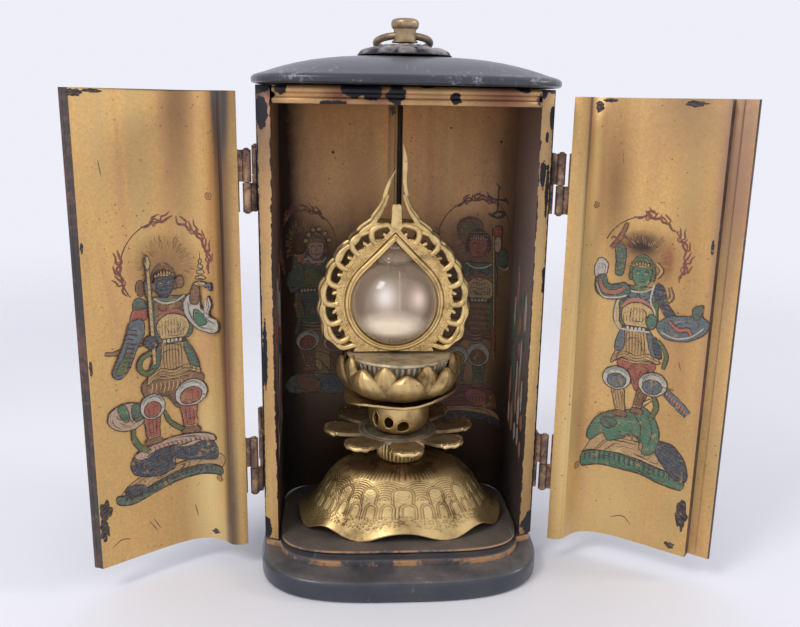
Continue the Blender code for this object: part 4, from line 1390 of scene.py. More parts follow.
@dataclass
class Painting:
    """Flat brushwork in millimetres across and up a door, later laid on the curved face."""

    shapes: list[tuple[list[Flat], Colour, int]] = field(default_factory=list)
    boxes: list[tuple[float, float, float, float]] = field(default_factory=list)
    station: float = 1.25
    layer: float = 0.004
    base_lift: float = 0.02

    def fill(self, outline: Sequence[Flat], colour: Colour) -> None:
        """Add a filled outline on top of whatever it overlaps."""
        xs, ys = [x for x, _ in outline], [y for _, y in outline]
        box = (min(xs), min(ys), max(xs), max(ys))
        level = 0
        for other, (_, _, layer) in zip(self.boxes, self.shapes):
            if box[0] < other[2] and other[0] < box[2] and box[1] < other[3] and other[1] < box[3]:
                level = max(level, layer + 1)
        self.boxes.append(box)
        self.shapes.append((list(outline), colour, level))

    def stroke(self, path: Sequence[Flat], width: float, colour: Colour, taper: float = 0.75) -> None:
        """Brush stroke along a path, fuller in its middle.

        Args:
            path: Points of the stroke.
            width: Greatest width.
            colour: Colour of the paint.
            taper: How much the width falls towards the ends, from 0 to 1.
        """
        count = len(path)
        left, right = [], []
        for place, (x, y) in enumerate(path):
            along = direction(path, place)
            across = Vector((0, 1))
            if along.length > LEAST_STEP:
                across = Vector((-along.y, along.x)).normalized()
            share = place / (count - 1)
            half = width / 2 * (1.0 - taper * abs(2 * share - 1) ** 2)
            half *= 1.0 + 0.28 * wobble(x, y, 1.7, width)
            left.append((x + across.x * half, y + across.y * half))
            right.append((x - across.x * half, y - across.y * half))
        for first in range(0, count - 1, 6):
            after = min(first + 7, count)
            self.fill(left[first:after] + right[first:after][::-1], colour)

    def wrap(self, name: str, door: Door, material: bpy.types.Material) -> bpy.types.Object | None:
        """Lay the painting on a door's inner face.

        Args:
            name: Name of the piece.
            door: The door that carries it.
            material: The paint.

        Returns:
            The painting, riding on the door.
        """
        mesh = bmesh.new()
        tint = mesh.verts.layers.float_color.new("paint")
        for outline, colour, level in self.shapes:
            lift = self.base_lift + self.layer * level
            corners = [mesh.verts.new((x, y, lift)) for x, y in outline]
            for corner in corners:
                corner[tint] = (*colour, 1.0)
            for triangle in tessellate_polygon([[Vector((x, y, 0)) for x, y in outline]]):
                if len(set(triangle)) == 3:
                    mesh.faces.new([corners[corner] for corner in triangle])
        bmesh.ops.dissolve_degenerate(mesh, dist=1e-4, edges=mesh.edges)
        for step in range(1, int(door.inner.length / self.station) + 1):
            bmesh.ops.bisect_plane(mesh, geom=mesh.verts[:] + mesh.edges[:] + mesh.faces[:],
                                   plane_co=(step * self.station, 0, 0), plane_no=(1, 0, 0))
        grown = bmesh.ops.extrude_face_region(mesh, geom=mesh.faces[:], use_keep_orig=True)["geom"]
        for vertex in (part for part in grown if isinstance(part, bmesh.types.BMVert)):
            vertex.co.z = -0.012
        for vertex in mesh.verts:
            place = door.on_face(*vertex.co)
            vertex.co = Vector(place) * MM
        bmesh.ops.recalc_face_normals(mesh, faces=mesh.faces)
        data = bpy.data.meshes.new(name)
        mesh.to_mesh(data)
        mesh.free()
        data.materials.append(material)
        return settle(link_mesh(name, data), door.body, "gilt_door")


@dataclass
class Brush:
    """Draws in a figure's own millimetres: x to the viewer's right and z up from its belt."""

    painting: Painting
    origin: Flat
    turn: int = 1                 # -1 where the viewer's right is towards the door's free edge
    scale: float = 1.0
    outline: float = 0.3

    def at(self, point: Flat) -> Flat:
        """Carry a point of the figure to the door."""
        return (self.origin[0] + self.turn * self.scale * point[0], self.origin[1] + self.scale * point[1])

    def shape(self, colour: Colour, *points: Flat, ink: Colour = Paint.INK,
              width: float | None = None) -> None:
        """Filled smooth shape with an ink outline."""
        loop = smooth([self.at(point) for point in points], True, 5)
        seed = len(self.painting.shapes)
        loop = [(x + 0.17 * wobble(x, z, 0.8, seed), z + 0.17 * wobble(z, x, 0.8, seed + 3))
                for x, z in loop]
        self.painting.fill(loop, colour)
        width = self.outline if width is None else width
        if width:
            self.painting.stroke(loop + loop[:1], width, ink, 0.15)
            self.folds(loop, colour)

    def folds(self, loop: Sequence[Flat], colour: Colour) -> None:
        """Dark and light strokes inside a shape that follow its edge."""
        middle = Vector((sum(x for x, _ in loop) / len(loop), sum(z for _, z in loop) / len(loop)))
        span = max(math.dist(point, middle) for point in loop)
        if span < 1.5:
            return
        chance = random.Random(len(self.painting.shapes))
        light = tuple(min(0.62, c * 1.5 + 0.06) for c in colour)
        for number in range(3 + int(span * 1.1)):
            start, length = chance.randrange(len(loop)), chance.randrange(len(loop) // 6, len(loop) // 3)
            share = chance.uniform(0.3, 0.9)
            path = [tuple(middle.lerp(Vector(loop[(start + step) % len(loop)]), share - 0.012 * step))
                    for step in range(length)]
            self.painting.stroke(path, chance.uniform(0.13, 0.24), light if number % 3 == 2 else Paint.INK,
                                 0.8)

    def oval(self, colour: Colour, x: float, z: float, half_x: float, half_z: float,
             width: float | None = None, lean: float = 0.0) -> None:
        """Filled oval, leaning by an angle in degrees."""
        turn = math.radians(lean)
        points = []
        for step in range(8):
            angle = math.tau * step / 8
            u, v = half_x * math.cos(angle), half_z * math.sin(angle)
            points.append((x + u * math.cos(turn) - v * math.sin(turn),
                           z + u * math.sin(turn) + v * math.cos(turn)))
        self.shape(colour, *points, width=width)

    def line(self, colour: Colour, width: float, *points: Flat, taper: float = 0.7) -> None:
        """Smooth tapered stroke."""
        self.painting.stroke(smooth([self.at(point) for point in points], steps=4), width, colour, taper)

    def ribbon(self, colour: Colour, width: float, *points: Flat, stripe: Colour | None = None) -> None:
        """Broad stroke with an ink edge and, if asked, a stripe along its middle."""
        self.line(Paint.INK, width + 0.55, *points, taper=0.3)
        self.line(colour, width, *points, taper=0.35)
        if stripe:
            self.line(stripe, width * 0.35, *points, taper=0.5)

    def hatch(self, colour: Colour, width: float, start: Flat, end: Flat, drop: Flat, count: int,
              bend: float = 0.0) -> None:
        """Row of short strokes from start to end, each running by drop."""
        for step in range(count):
            share = (step + 0.5) / count
            x, z = lerp(start[0], end[0], share), lerp(start[1], end[1], share)
            size = 0.8 + 0.35 * wobble(x * 3, z * 3, 1.0)
            middle = (x + drop[0] * size / 2 + bend, z + drop[1] * size / 2)
            self.line(colour, width, (x, z), middle, (x + drop[0] * size, z + drop[1] * size))

    def halo(self, x: float, z: float, radius: float, gaps: Sequence[Flat], flames: Sequence[float]) -> None:
        """Thin ring with curling flames; gaps are spans of degrees that are rubbed away."""
        for start in range(0, 360, 12):
            if any(low <= start < high for low, high in gaps):
                continue
            arc = [math.radians(start + 12.2 * step / 4) for step in range(5)]
            self.line(Paint.INK, 0.26, *[(x + radius * math.cos(a), z + radius * math.sin(a)) for a in arc],
                      taper=0.1)
        chance = random.Random(round(radius * 10))
        for step in range(110):
            a = math.radians(lerp(-35.0, 215.0, step / 109) + chance.uniform(-4, 4))
            near = chance.uniform(0.3, 0.56)
            far = near + chance.uniform(0.1, 0.2)
            self.line(chance.choice((Paint.BROWN, Paint.UMBER, Paint.TAN, Paint.UMBER)), 0.15,
                      *[(x + radius * reach * math.cos(a + turn), z + radius * reach * math.sin(a + turn))
                        for reach, turn in ((near, 0.0), ((near + far) / 2, 0.05), (far, 0.02))])
        for number, angle in enumerate(flames):
            a = math.radians(angle)
            out, along = Vector((math.cos(a), math.sin(a))), Vector((-math.sin(a), math.cos(a)))
            if along.y < 0 or (abs(along.y) < 0.5 and along.x > 0):
                along = -along
            base = Vector((x, z)) + out * radius
            bend = 1.0 if number % 2 else -0.7
            points = [base - along * 3.2, base - along * 1.6 + out * 0.8 * bend,
                      base + along * 0.2 - out * 0.3 * bend, base + along * 2.0 + out * 0.6 * bend,
                      base + along * 3.4 + out * 1.2]
            self.line(Paint.PLUM, 0.7, *[tuple(point) for point in points])
            branch = base + along * 0.2
            points = [branch, branch + out * 1.2 + along * 0.1, branch + out * 1.5 + along * 1.3,
                      branch + out * (2.0 + 0.4 * bend) + along * 2.4]
            self.line(Paint.PLUM, 0.5, *[tuple(point) for point in points])
            if number % 3 == 0:
                self.oval(Paint.ROSE, *(base - out * 0.4 + along * 0.6), 0.5, 0.7, width=0.16)

    def knee(self, x: float, z: float, half_x: float, half_z: float, lean: float, inner: Colour) -> None:
        """Gathered trouser knee: white ruff, coloured cap and curved folds."""
        self.oval(Paint.WHITE, x, z, half_x, half_z, lean=lean)
        turn = math.radians(lean)
        self.oval(inner, x - 0.3 * math.sin(turn), z - half_z * 0.22, half_x * 0.68, half_z * 0.62,
                  lean=lean)
        for share in (0.8, 0.9):
            arc = [(x + half_x * share * math.cos(a), z + half_z * share * math.sin(a))
                   for a in (math.radians(20 + 35 * step) for step in range(5))]
            self.line(Paint.SLATE, 0.14, *arc)
        for shift in (-0.3, 0.05, 0.35):
            self.line(Paint.INK, 0.16, (x + half_x * shift, z + half_z * 0.2),
                      (x + half_x * shift * 1.2, z - half_z * 0.3), (x + half_x * shift, z - half_z * 0.7))

    def shin(self, colour: Colour, top: Flat, foot: Flat, width: float) -> None:
        """Wrapped shin with folds, a cuff and a dark foot."""
        (x, z), (fx, fz) = top, foot
        self.shape(colour, (x - width / 2, z), (x + width / 2, z),
                   (x * 0.4 + fx * 0.6 + width * 0.45, z * 0.4 + fz * 0.6), (fx + width * 0.36, fz),
                   (fx - width * 0.36, fz), (x * 0.5 + fx * 0.5 - width * 0.5, (z + fz) / 2))
        for shift in (-0.22, 0.0, 0.22):
            self.line(Paint.INK, 0.17, (x + width * shift, z - 0.5),
                      (lerp(x, fx, 0.5) + width * shift * 1.2, lerp(z, fz, 0.5)),
                      (fx + width * shift * 0.8, fz + 0.4))
        self.line(Paint.STRAW, 0.4, (fx - width * 0.36, fz + 0.5), (fx, fz + 0.2),
                  (fx + width * 0.36, fz + 0.5))
        self.shape(Paint.BROWN, (fx - width * 0.4, fz), (fx + width * 0.4, fz),
                   (fx + width * 0.62, fz - 1.5), (fx, fz - 1.8), (fx - width * 0.62, fz - 1.5))

    def face(self, x: float, z: float, skin: Colour, hair: Colour, size: float = 1.0) -> None:
        """Small plain face under a crown, with hair standing up behind it."""
        self.shape(hair, (x - 3.3 * size, z - 1.2), (x - 3.5 * size, z + 2.2), (x - 2.2 * size, z + 4.8),
                   (x, z + 5.9), (x + 2.3 * size, z + 4.6), (x + 3.6 * size, z + 2.0),
                   (x + 3.3 * size, z - 1.4), (x, z))
        self.shape(skin, (x - 2.6 * size, z + 2.0), (x, z + 2.8), (x + 2.6 * size, z + 2.0),
                   (x + 2.5 * size, z - 1.0), (x + 1.1 * size, z - 3.1), (x - 1.2 * size, z - 3.1),
                   (x - 2.5 * size, z - 1.0))
        for side in (-1, 1):
            self.line(Paint.INK, 0.3, (x + side * 0.5, z + 0.9), (x + side * 1.2, z + 1.25),
                      (x + side * 1.9, z + 0.8))
            self.line(Paint.STRAW, 0.22, (x + side * 0.8, z + 0.45), (x + side * 1.5, z + 0.45))
            self.oval(hair, x + side * 3.1 * size, z - 0.4, 0.55, 1.1)
        self.line(Paint.INK, 0.2, (x, z + 0.6), (x + 0.25, z - 0.5), (x - 0.2, z - 0.7))
        self.line(Paint.INK, 0.24, (x - 0.8, z - 1.5), (x, z - 1.75), (x + 0.9, z - 1.4))
        for step in range(-3, 4):
            self.shape(Paint.STRAW, (x + step * 0.82 - 0.38, z + 2.5),
                       (x + step * 0.8, z + 4.2 - 0.13 * step * step), (x + step * 0.82 + 0.38, z + 2.5),
                       width=0.16)
        self.line(Paint.BROWN, 0.4, (x - 2.8, z + 2.3), (x, z + 3.0), (x + 2.8, z + 2.3), taper=0.2)

    def skirt(self, front: Colour, side: Colour, low: float, half: float, lean: float = 0.0) -> None:
        """Armoured skirt: a striped front, coloured sides and a wavy hem."""
        self.shape(front, (-3.2, 0.4), (3.3, 0.4), (half * 0.8 + lean, low * 0.45), (half + lean, low * 0.9),
                   (half * 0.55 + lean, low * 0.86), (lean, low), (-half * 0.5 + lean, low * 0.88),
                   (-half + lean, low * 1.05), (-half * 0.75 + lean, low * 0.5))
        self.shape(side, (3.3, 0.2), (5.6, low * 0.22), (half * 0.98 + lean, low * 0.72),
                   (half * 0.6 + lean, low * 0.62))
        self.shape(side, (-3.2, 0.0), (-5.0, low * 0.25), (-half * 0.85 + lean, low * 0.66),
                   (-half * 0.5 + lean, low * 0.6))
        for step in range(-3, 4):
            self.line(Paint.INK, 0.2, (step * 0.78, -0.9), (step * 0.9 + lean * 0.5, low * 0.4),
                      (step * 0.82 + lean * 0.8, low * 0.74))
        for share in (0.72, 0.8, 0.88):
            self.line(Paint.INK, 0.2, (-half * 0.9 + lean, low * (share + 0.12)),
                      (-half * 0.45 + lean, low * (share - 0.04)), (lean, low * (share + 0.05)),
                      (half * 0.5 + lean, low * (share - 0.05)), (half * 0.95 + lean, low * (share + 0.04)))
            self.line(Paint.STRAW, 0.24, (-half * 0.6 + lean, low * (share + 0.03)),
                      (lean, low * (share + 0.09)), (half * 0.7 + lean, low * share))

    def armour(self, chest: Colour, band: Colour, belly: Colour, sleeve: Colour) -> None:
        """Torso with breast plates, a bright band, a ribbed belly and a beaded belt."""
        self.shape(sleeve, (-5.4, 12.2), (-2.0, 12.4), (2.6, 12.4), (5.6, 11.6), (6.0, 6.0), (5.2, 0.8),
                   (-3.6, 0.4), (-4.9, 4.5))
        self.shape(chest, (-4.2, 11.6), (0.2, 10.6), (4.4, 11.4), (4.5, 8.2), (0.2, 8.8), (-4.2, 8.0))
        for side in (-1, 1):
            self.oval(chest, side * 1.9, 10.0, 1.6, 1.25)
        self.shape(belly, (-4.0, 5.6), (-1.6, 7.4), (1.0, 7.6), (4.2, 6.2), (5.2, 3.4), (3.6, 0.7),
                   (0.0, 0.2), (-2.9, 0.7), (-4.2, 3.2))
        self.line(band, 1.0, (-4.4, 6.0), (-2.0, 8.1), (1.2, 8.4), (4.4, 7.0), taper=0.3)
        for step in range(-4, 5):
            self.line(Paint.BROWN, 0.24, (step * 0.95, 3.4 + 0.1 * abs(step)), (step * 0.85, 1.6))
            self.line(Paint.BROWN, 0.2, (step * 0.8, 6.4 - 0.12 * step * step), (step * 0.95, 4.0))
        self.shape(Paint.INK, (-3.2, 0.7), (3.4, 0.7), (3.4, -0.7), (-3.2, -0.7), width=0)
        for step in range(5):
            self.oval(Paint.WHITE, -2.2 + step * 1.15, 0.0, 0.42, 0.5, width=0.0)
        self.line(Paint.WHITE, 0.5, (-4.6, 12.5), (-2.0, 10.9), (1.6, 11.0), (4.2, 12.5), taper=0.3)

    def rock(self, colour: Colour, x: float, z: float, half: float, tall: float, seed: float) -> None:
        """Craggy rock with pale lights along its top."""
        points = []
        for step in range(14):
            angle = math.tau * step / 14
            across, up = math.cos(angle), math.sin(angle)
            bump = 1.0 + 0.16 * wobble(across * 3, up * 3, 1.3, seed)
            points.append((x + half * bump * math.copysign(abs(across) ** 0.8, across),
                           z + tall * bump * math.copysign(abs(up) ** 0.7, up) - 0.1 * half * across))
        self.shape(colour, *points)
        for step in range(9):
            px = x + half * (step - 4) / 5
            pz = z + 0.5 * tall * wobble(px, seed, 2.0)
            self.line(Paint.INK, 0.3, (px - 1.0, pz + 1.2), (px, pz), (px - 0.3, pz - 1.6))
            self.line(Paint.SLATE, 0.26, (px + 0.2, pz + 1.5), (px + 1.2, pz + 0.4), (px + 1.1, pz - 1.0))

    def ground(self, top: Sequence[Flat], low: Sequence[Flat], colour: Colour, tall: float) -> None:
        """Ledge of earth: a pale top and a coloured cliff with dark strokes."""
        self.shape(Paint.EARTH, *top, *[(x, z + 1.0) for x, z in reversed(low)])
        foot = [(x, z + 1.2 - tall * (1.0 + 0.22 * wobble(x, z, 2.5))) for x, z in low]
        cliff = [(x, z + 1.2) for x, z in low] + foot[::-1]
        self.shape(colour, *cliff)
        for (x, z), (nx, nz) in zip(low, low[1:]):
            count = max(2, int((nx - x) / 1.3))
            self.hatch(Paint.BLUE, 0.55, (x, z + 1.0), (nx, nz + 1.0), (-0.1, -tall * 0.7), count, 0.25)
            self.hatch(Paint.INK, 0.2, (x + 0.5, z + 1.0), (nx + 0.5, nz + 1.0), (0.1, -tall * 0.85), count,
                       -0.2)
        self.line(Paint.INK, 0.34, *[(x, z + 1.2) for x, z in low], taper=0.2)
        self.line(Paint.INK, 0.34, *foot, taper=0.2)

    def pole(self, colour: Colour, top: Flat, foot: Flat, width: float) -> None:
        """Straight staff with ink sides."""
        self.line(Paint.INK, width + 0.5, top, foot, taper=0.1)
        self.line(colour, width, top, foot, taper=0.1)
        count = int(abs(top[1] - foot[1]) / 1.6)
        for step in range(count):
            share = (step + 0.5) / count
            x, z = lerp(top[0], foot[0], share), lerp(top[1], foot[1], share)
            self.line(Paint.BROWN, 0.2, (x - width / 2, z + 0.3), (x + width / 2, z - 0.3))


def pagoda_bearer(b: Brush) -> None:
    """Blue-faced guardian with a staff and a small pagoda, on dark rocks."""
    b.halo(-0.9, 20.9, 12.4, ((205, 345), (64, 76)), (104, 92, 60, 46, 32, 18, 4, 170, 184, 198))
    b.ground([(-17.4, -42.6), (-14.2, -39.6), (-8.0, -37.6), (2.0, -36.8), (10.0, -34.6), (15.0, -35.2)],
             [(-18.0, -43.4), (-13.6, -44.2), (-7.4, -42.8), (-1.0, -41.0), (6.0, -40.0), (13.4, -39.8)],
             Paint.TEAL, 2.6)
    b.rock(Paint.BLUE, -7.0, -34.9, 6.4, 4.2, 1.0)
    b.rock(Paint.BLUE, 5.4, -33.4, 7.2, 3.3, 2.0)
    b.rock(Paint.BLUE, -13.0, -42.0, 2.6, 1.7, 3.0)
    b.shape(Paint.SHELL, (-12.6, -31.6), (-8.0, -29.9), (-2.0, -28.7), (4.0, -28.6), (10.6, -28.9),
            (11.8, -30.6), (8.0, -30.9), (3.0, -32.4), (-2.0, -31.0), (-7.0, -31.7), (-10.4, -33.2))
    b.hatch(Paint.RUST, 0.3, (-9.0, -30.0), (9.8, -29.6), (0.6, -1.9), 14, 0.3)
    b.ribbon(Paint.MOSS, 1.3, (-12.4, -22.8), (-12.4, -26.4), (-10.6, -29.6), (-8.2, -31.2))
    b.ribbon(Paint.MOSS, 1.1, (-3.0, -20.4), (-1.6, -23.8), (1.4, -26.4), (4.2, -28.0))
    b.shape(Paint.SHELL, (-18.8, -17.4), (-15.6, -15.8), (-11.6, -16.0), (-9.0, -17.8), (-9.4, -22.0),
            (-12.8, -23.6), (-16.6, -23.0), (-19.4, -20.4))
    b.shape(Paint.GREEN, (-16.6, -16.4), (-14.4, -16.2), (-13.4, -19.6), (-14.4, -21.0), (-16.0, -19.4))
    b.shape(Paint.TEAL, (-12.4, -16.4), (-9.6, -17.6), (-9.8, -21.0), (-12.4, -20.8))
    b.hatch(Paint.INK, 0.22, (-17.6, -18.2), (-11.6, -20.6), (1.6, -2.2), 5, -0.4)
    b.shape(Paint.BROWN, (-7.8, -10.2), (7.6, -10.2), (7.2, -14.8), (1.4, -20.2), (-2.4, -16.0),
            (-8.4, -15.2))
    b.hatch(Paint.STRAW, 0.3, (-7.0, -11.5), (6.6, -11.8), (-0.6, -3.6), 11, 0.3)
    b.shin(Paint.RED, (-6.9, -20.2), (-6.7, -27.6), 4.3)
    b.shin(Paint.RED, (4.0, -19.0), (4.5, -26.4), 4.5)
    b.knee(-6.6, -18.2, 3.7, 3.7, 8, Paint.RED)
    b.knee(4.9, -16.0, 4.9, 3.9, 18, Paint.RED)
    b.skirt(Paint.TAN, Paint.TEAL, -11.2, 7.8)
    b.armour(Paint.BROWN, Paint.RED, Paint.STRAW, Paint.TEAL)
    b.ribbon(Paint.BROWN, 1.1, (-19.0, -0.8), (-16.0, -1.2), (-12.4, -0.2), (-8.0, 0.0), stripe=Paint.ROSE)
    b.shape(Paint.TEAL, (-9.8, 12.9), (-7.2, 12.5), (-6.0, 9.6), (-8.0, 8.4), (-10.4, 9.8))
    b.shape(Paint.RED, (-10.4, 9.8), (-6.8, 9.8), (-6.6, 7.2), (-9.0, 6.4), (-11.4, 6.6))
    b.shape(Paint.SLATE, (-11.6, 6.8), (-8.0, 6.9), (-7.8, 3.2), (-10.0, -0.6), (-13.0, -6.6), (-15.6, -8.4),
            (-17.4, -6.6), (-15.0, -1.4), (-13.0, 3.2))
    b.shape(Paint.MOSS, (-16.6, -6.6), (-14.0, -7.0), (-12.2, -3.0), (-13.6, -2.0))
    b.hatch(Paint.INK, 0.4, (-12.2, 5.6), (-14.8, -5.6), (3.2, -1.0), 9, 0.3)
    b.ribbon(Paint.MOSS, 1.2, (-5.6, -2.6), (-8.6, -3.6), (-9.8, -6.2), (-8.0, -8.4), (-5.4, -7.6))
    b.face(-1.4, 16.0, Paint.BLUE, Paint.BROWN)
    b.oval(Paint.BROWN, -8.0, 15.6, 1.4, 2.2)
    b.oval(Paint.SLATE, -6.0, 15.4, 1.0, 2.8)
    b.oval(Paint.BROWN, 3.0, 16.4, 1.2, 1.8)
    b.pole(Paint.STRAW, (-6.0, 21.0), (-5.4, -6.0), 0.8)
    b.shape(Paint.STRAW, (-6.0, 24.4), (-5.2, 22.4), (-6.0, 20.4), (-6.8, 22.4))
    b.oval(Paint.BLUE, -6.2, 0.4, 1.9, 1.8)
    b.shape(Paint.WHITE, (4.2, 11.4), (6.2, 13.0), (8.6, 12.0), (8.8, 8.6), (10.6, 9.2), (11.4, 12.2),
            (12.4, 10.0), (11.4, 6.6), (14.6, 5.6), (14.8, 2.8), (11.8, 1.6), (7.4, 2.8), (4.4, 6.2),
            (3.6, 9.0))
    b.shape(Paint.GREEN, (6.8, 8.2), (8.8, 7.4), (10.6, 4.8), (8.4, 3.6), (6.6, 5.4))
    b.line(Paint.SLATE, 0.3, (5.0, 10.8), (5.6, 7.0), (8.2, 3.4), (12.8, 2.8))
    b.line(Paint.SLATE, 0.3, (9.8, 8.6), (10.2, 5.8), (13.6, 4.6))
    b.shape(Paint.BROWN, (5.8, 10.2), (8.2, 10.2), (8.4, 14.6), (6.8, 15.4), (6.0, 13.4))
    b.line(Paint.INK, 0.24, (8.9, 24.6), (8.9, 19.6))
    for z, half in ((15.6, 1.9), (17.2, 1.5), (18.8, 1.15), (20.4, 0.8), (21.8, 0.5)):
        b.oval(Paint.STRAW, 8.9, z, half, 0.62)
    b.ribbon(Paint.SLATE, 0.7, (10.2, 14.8), (12.2, 15.6), (12.0, 13.8))


def fist_raiser(b: Brush) -> None:
    """Green-faced guardian with a raised thunderbolt, standing on a green creature."""
    b.halo(0.6, 20.6, 11.6, ((152, 330), (350, 360), (0, 12), (40, 52)), (92, 78, 58, 30, 14, -2, -14))
    b.ribbon(Paint.BROWN, 1.2, (8.6, 13.2), (9.4, 10.4), (7.6, 8.8), (6.6, 10.4), stripe=Paint.TAN)
    b.ground([(-12.4, -38.6), (-9.0, -34.0), (-4.0, -33.0), (6.0, -32.6), (13.2, -33.6), (17.0, -38.0)],
             [(-12.8, -40.4), (-7.0, -40.0), (-1.0, -40.2), (5.0, -40.8), (11.0, -42.0), (17.2, -42.4)],
             Paint.GREEN, 4.4)
    b.shape(Paint.BLUE, (8.4, -32.6), (13.4, -32.6), (17.6, -37.0), (18.4, -42.4), (14.8, -42.6),
            (10.6, -38.4), (8.2, -35.0))
    b.shape(Paint.GREEN, (-11.8, -33.2), (-9.4, -28.4), (-4.4, -25.6), (1.2, -24.4), (4.6, -23.2),
            (8.2, -26.4), (9.6, -31.4), (8.2, -36.4), (5.0, -37.2), (5.0, -34.2), (2.0, -31.8),
            (-1.6, -33.8), (-5.2, -35.2), (-7.2, -33.0), (-10.6, -35.4))
    b.hatch(Paint.RUST, 0.36, (-8.8, -26.6), (0.4, -25.8), (0.6, -1.9), 11, 0.3)
    b.oval(Paint.TEAL, -5.6, -29.4, 2.4, 1.7)
    b.line(Paint.INK, 0.28, (-7.2, -30.4), (-5.6, -31.4), (-3.6, -30.4))
    b.oval(Paint.STRAW, -6.2, -28.9, 0.4, 0.34)
    b.line(Paint.INK, 0.3, (1.4, -25.2), (4.0, -29.0), (4.0, -33.6))
    b.line(Paint.INK, 0.3, (5.4, -24.8), (7.4, -29.4), (6.6, -34.6))
    b.ribbon(Paint.SLATE, 2.6, (9.6, -16.8), (12.8, -19.2), (17.0, -22.6), stripe=Paint.ROSE)
    b.hatch(Paint.INK, 0.3, (10.0, -16.4), (16.8, -21.8), (-0.6, -2.4), 9)
    b.ribbon(Paint.MOSS, 1.2, (6.8, -19.0), (8.0, -22.4), (6.4, -26.4))
    b.ribbon(Paint.STRAW, 0.8, (6.2, -20.4), (4.0, -22.2), (2.6, -24.0))
    b.shape(Paint.RED, (-3.8, -9.6), (6.2, -9.6), (5.4, -13.2), (3.0, -17.4), (1.4, -18.4), (-0.4, -15.4),
            (-3.4, -13.4))
    b.line(Paint.RUST, 0.4, (-3.0, -10.6), (-1.6, -13.2), (0.2, -10.8), (1.6, -15.0), (3.2, -10.8),
           (4.8, -13.0))
    b.shin(Paint.TAN, (-3.8, -18.0), (-2.4, -25.2), 3.4)
    b.shin(Paint.BROWN, (3.8, -17.6), (2.4, -23.6), 3.0)
    b.knee(-4.2, -15.4, 4.1, 3.5, -4, Paint.SLATE)
    b.knee(6.4, -15.6, 4.2, 3.6, 8, Paint.SLATE)
    b.skirt(Paint.TAN, Paint.SLATE, -10.4, 7.0, 0.6)
    b.shape(Paint.BLUE, (5.2, -2.6), (6.4, -2.0), (8.2, -7.4), (6.4, -7.0))
    b.ribbon(Paint.MOSS, 0.9, (6.6, -2.4), (9.4, -6.2), (8.8, -10.6))
    b.armour(Paint.SLATE, Paint.ROSE, Paint.STRAW, Paint.MOSS)
    b.line(Paint.WHITE, 0.55, (-3.0, 12.0), (-5.6, 7.4), (-6.0, 3.0), (-4.4, -0.4), (4.2, -0.4), taper=0.2)
    b.line(Paint.INK, 0.2, (-3.6, 11.8), (-6.2, 7.4), (-6.6, 2.6), (-4.8, -0.8), taper=0.2)
    b.line(Paint.WHITE, 0.5, (4.4, 13.4), (3.6, 8.8), (5.2, 5.2), (4.2, 2.6), taper=0.2)
    b.face(0.6, 15.6, Paint.GREEN, Paint.MOSS)
    b.ribbon(Paint.TAN, 0.8, (4.4, 19.4), (6.0, 17.6), (4.8, 15.4))
    b.shape(Paint.BLUE, (5.2, 13.8), (7.2, 12.6), (8.6, 8.4), (11.0, 5.4), (8.8, 4.2), (6.2, 7.8),
            (4.6, 10.6))
    b.shape(Paint.TEAL, (-7.4, 23.8), (-4.8, 23.2), (-4.4, 18.4), (-5.0, 15.2), (-6.8, 15.4), (-7.0, 18.8))
    b.line(Paint.INK, 0.3, (-6.8, 18.6), (-4.6, 18.4))
    b.ribbon(Paint.BROWN, 1.0, (-8.6, 22.8), (-6.2, 26.2), (-4.6, 30.2), stripe=Paint.RED)
    for x, z in ((-8.8, 25.4), (-4.4, 25.6), (-8.8, 23.2), (-3.6, 23.4)):
        b.line(Paint.RUST, 0.55, (-6.4, 24.8), (lerp(-6.4, x, 0.7), z + 0.6), (x, z))
    b.shape(Paint.WHITE, (-11.6, 20.0), (-13.2, 17.6), (-12.8, 14.4), (-11.2, 13.6), (-9.4, 15.2),
            (-9.2, 18.4))
    b.shape(Paint.TEAL, (-12.6, 14.2), (-9.6, 15.0), (-8.6, 12.4), (-6.0, 12.6), (-4.2, 13.0), (-2.4, 11.6),
            (-3.2, 8.8), (-6.8, 8.0), (-10.0, 8.4), (-12.2, 10.4))
    b.ribbon(Paint.ROSE, 1.1, (-11.4, 13.8), (-10.0, 10.6), (-6.6, 10.0), (-4.0, 11.6), stripe=Paint.RED)
    b.line(Paint.WHITE, 0.45, (-12.4, 12.6), (-10.2, 8.8), (-6.4, 8.5), (-3.2, 9.4), taper=0.2)
    b.oval(Paint.GREEN, 4.4, 2.6, 1.5, 2.2)
    b.shape(Paint.SLATE, (6.0, 2.2), (9.0, 4.8), (12.6, 5.6), (15.4, 6.2), (17.6, 9.0), (18.4, 6.2),
            (20.4, 4.6), (19.4, 1.6), (15.6, -1.0), (11.0, -1.8), (7.4, -0.8))
    b.ribbon(Paint.RED, 0.9, (9.4, 3.6), (12.0, 1.6), (14.8, 2.0), (15.8, 0.4), stripe=Paint.ROSE)
    b.shape(Paint.TEAL, (15.6, 8.2), (18.2, 9.4), (17.8, 5.8), (16.0, 5.4))
    b.line(Paint.WHITE, 0.4, (7.4, 0.2), (11.4, -1.0), (15.8, 0.2), (19.0, 3.2), taper=0.2)


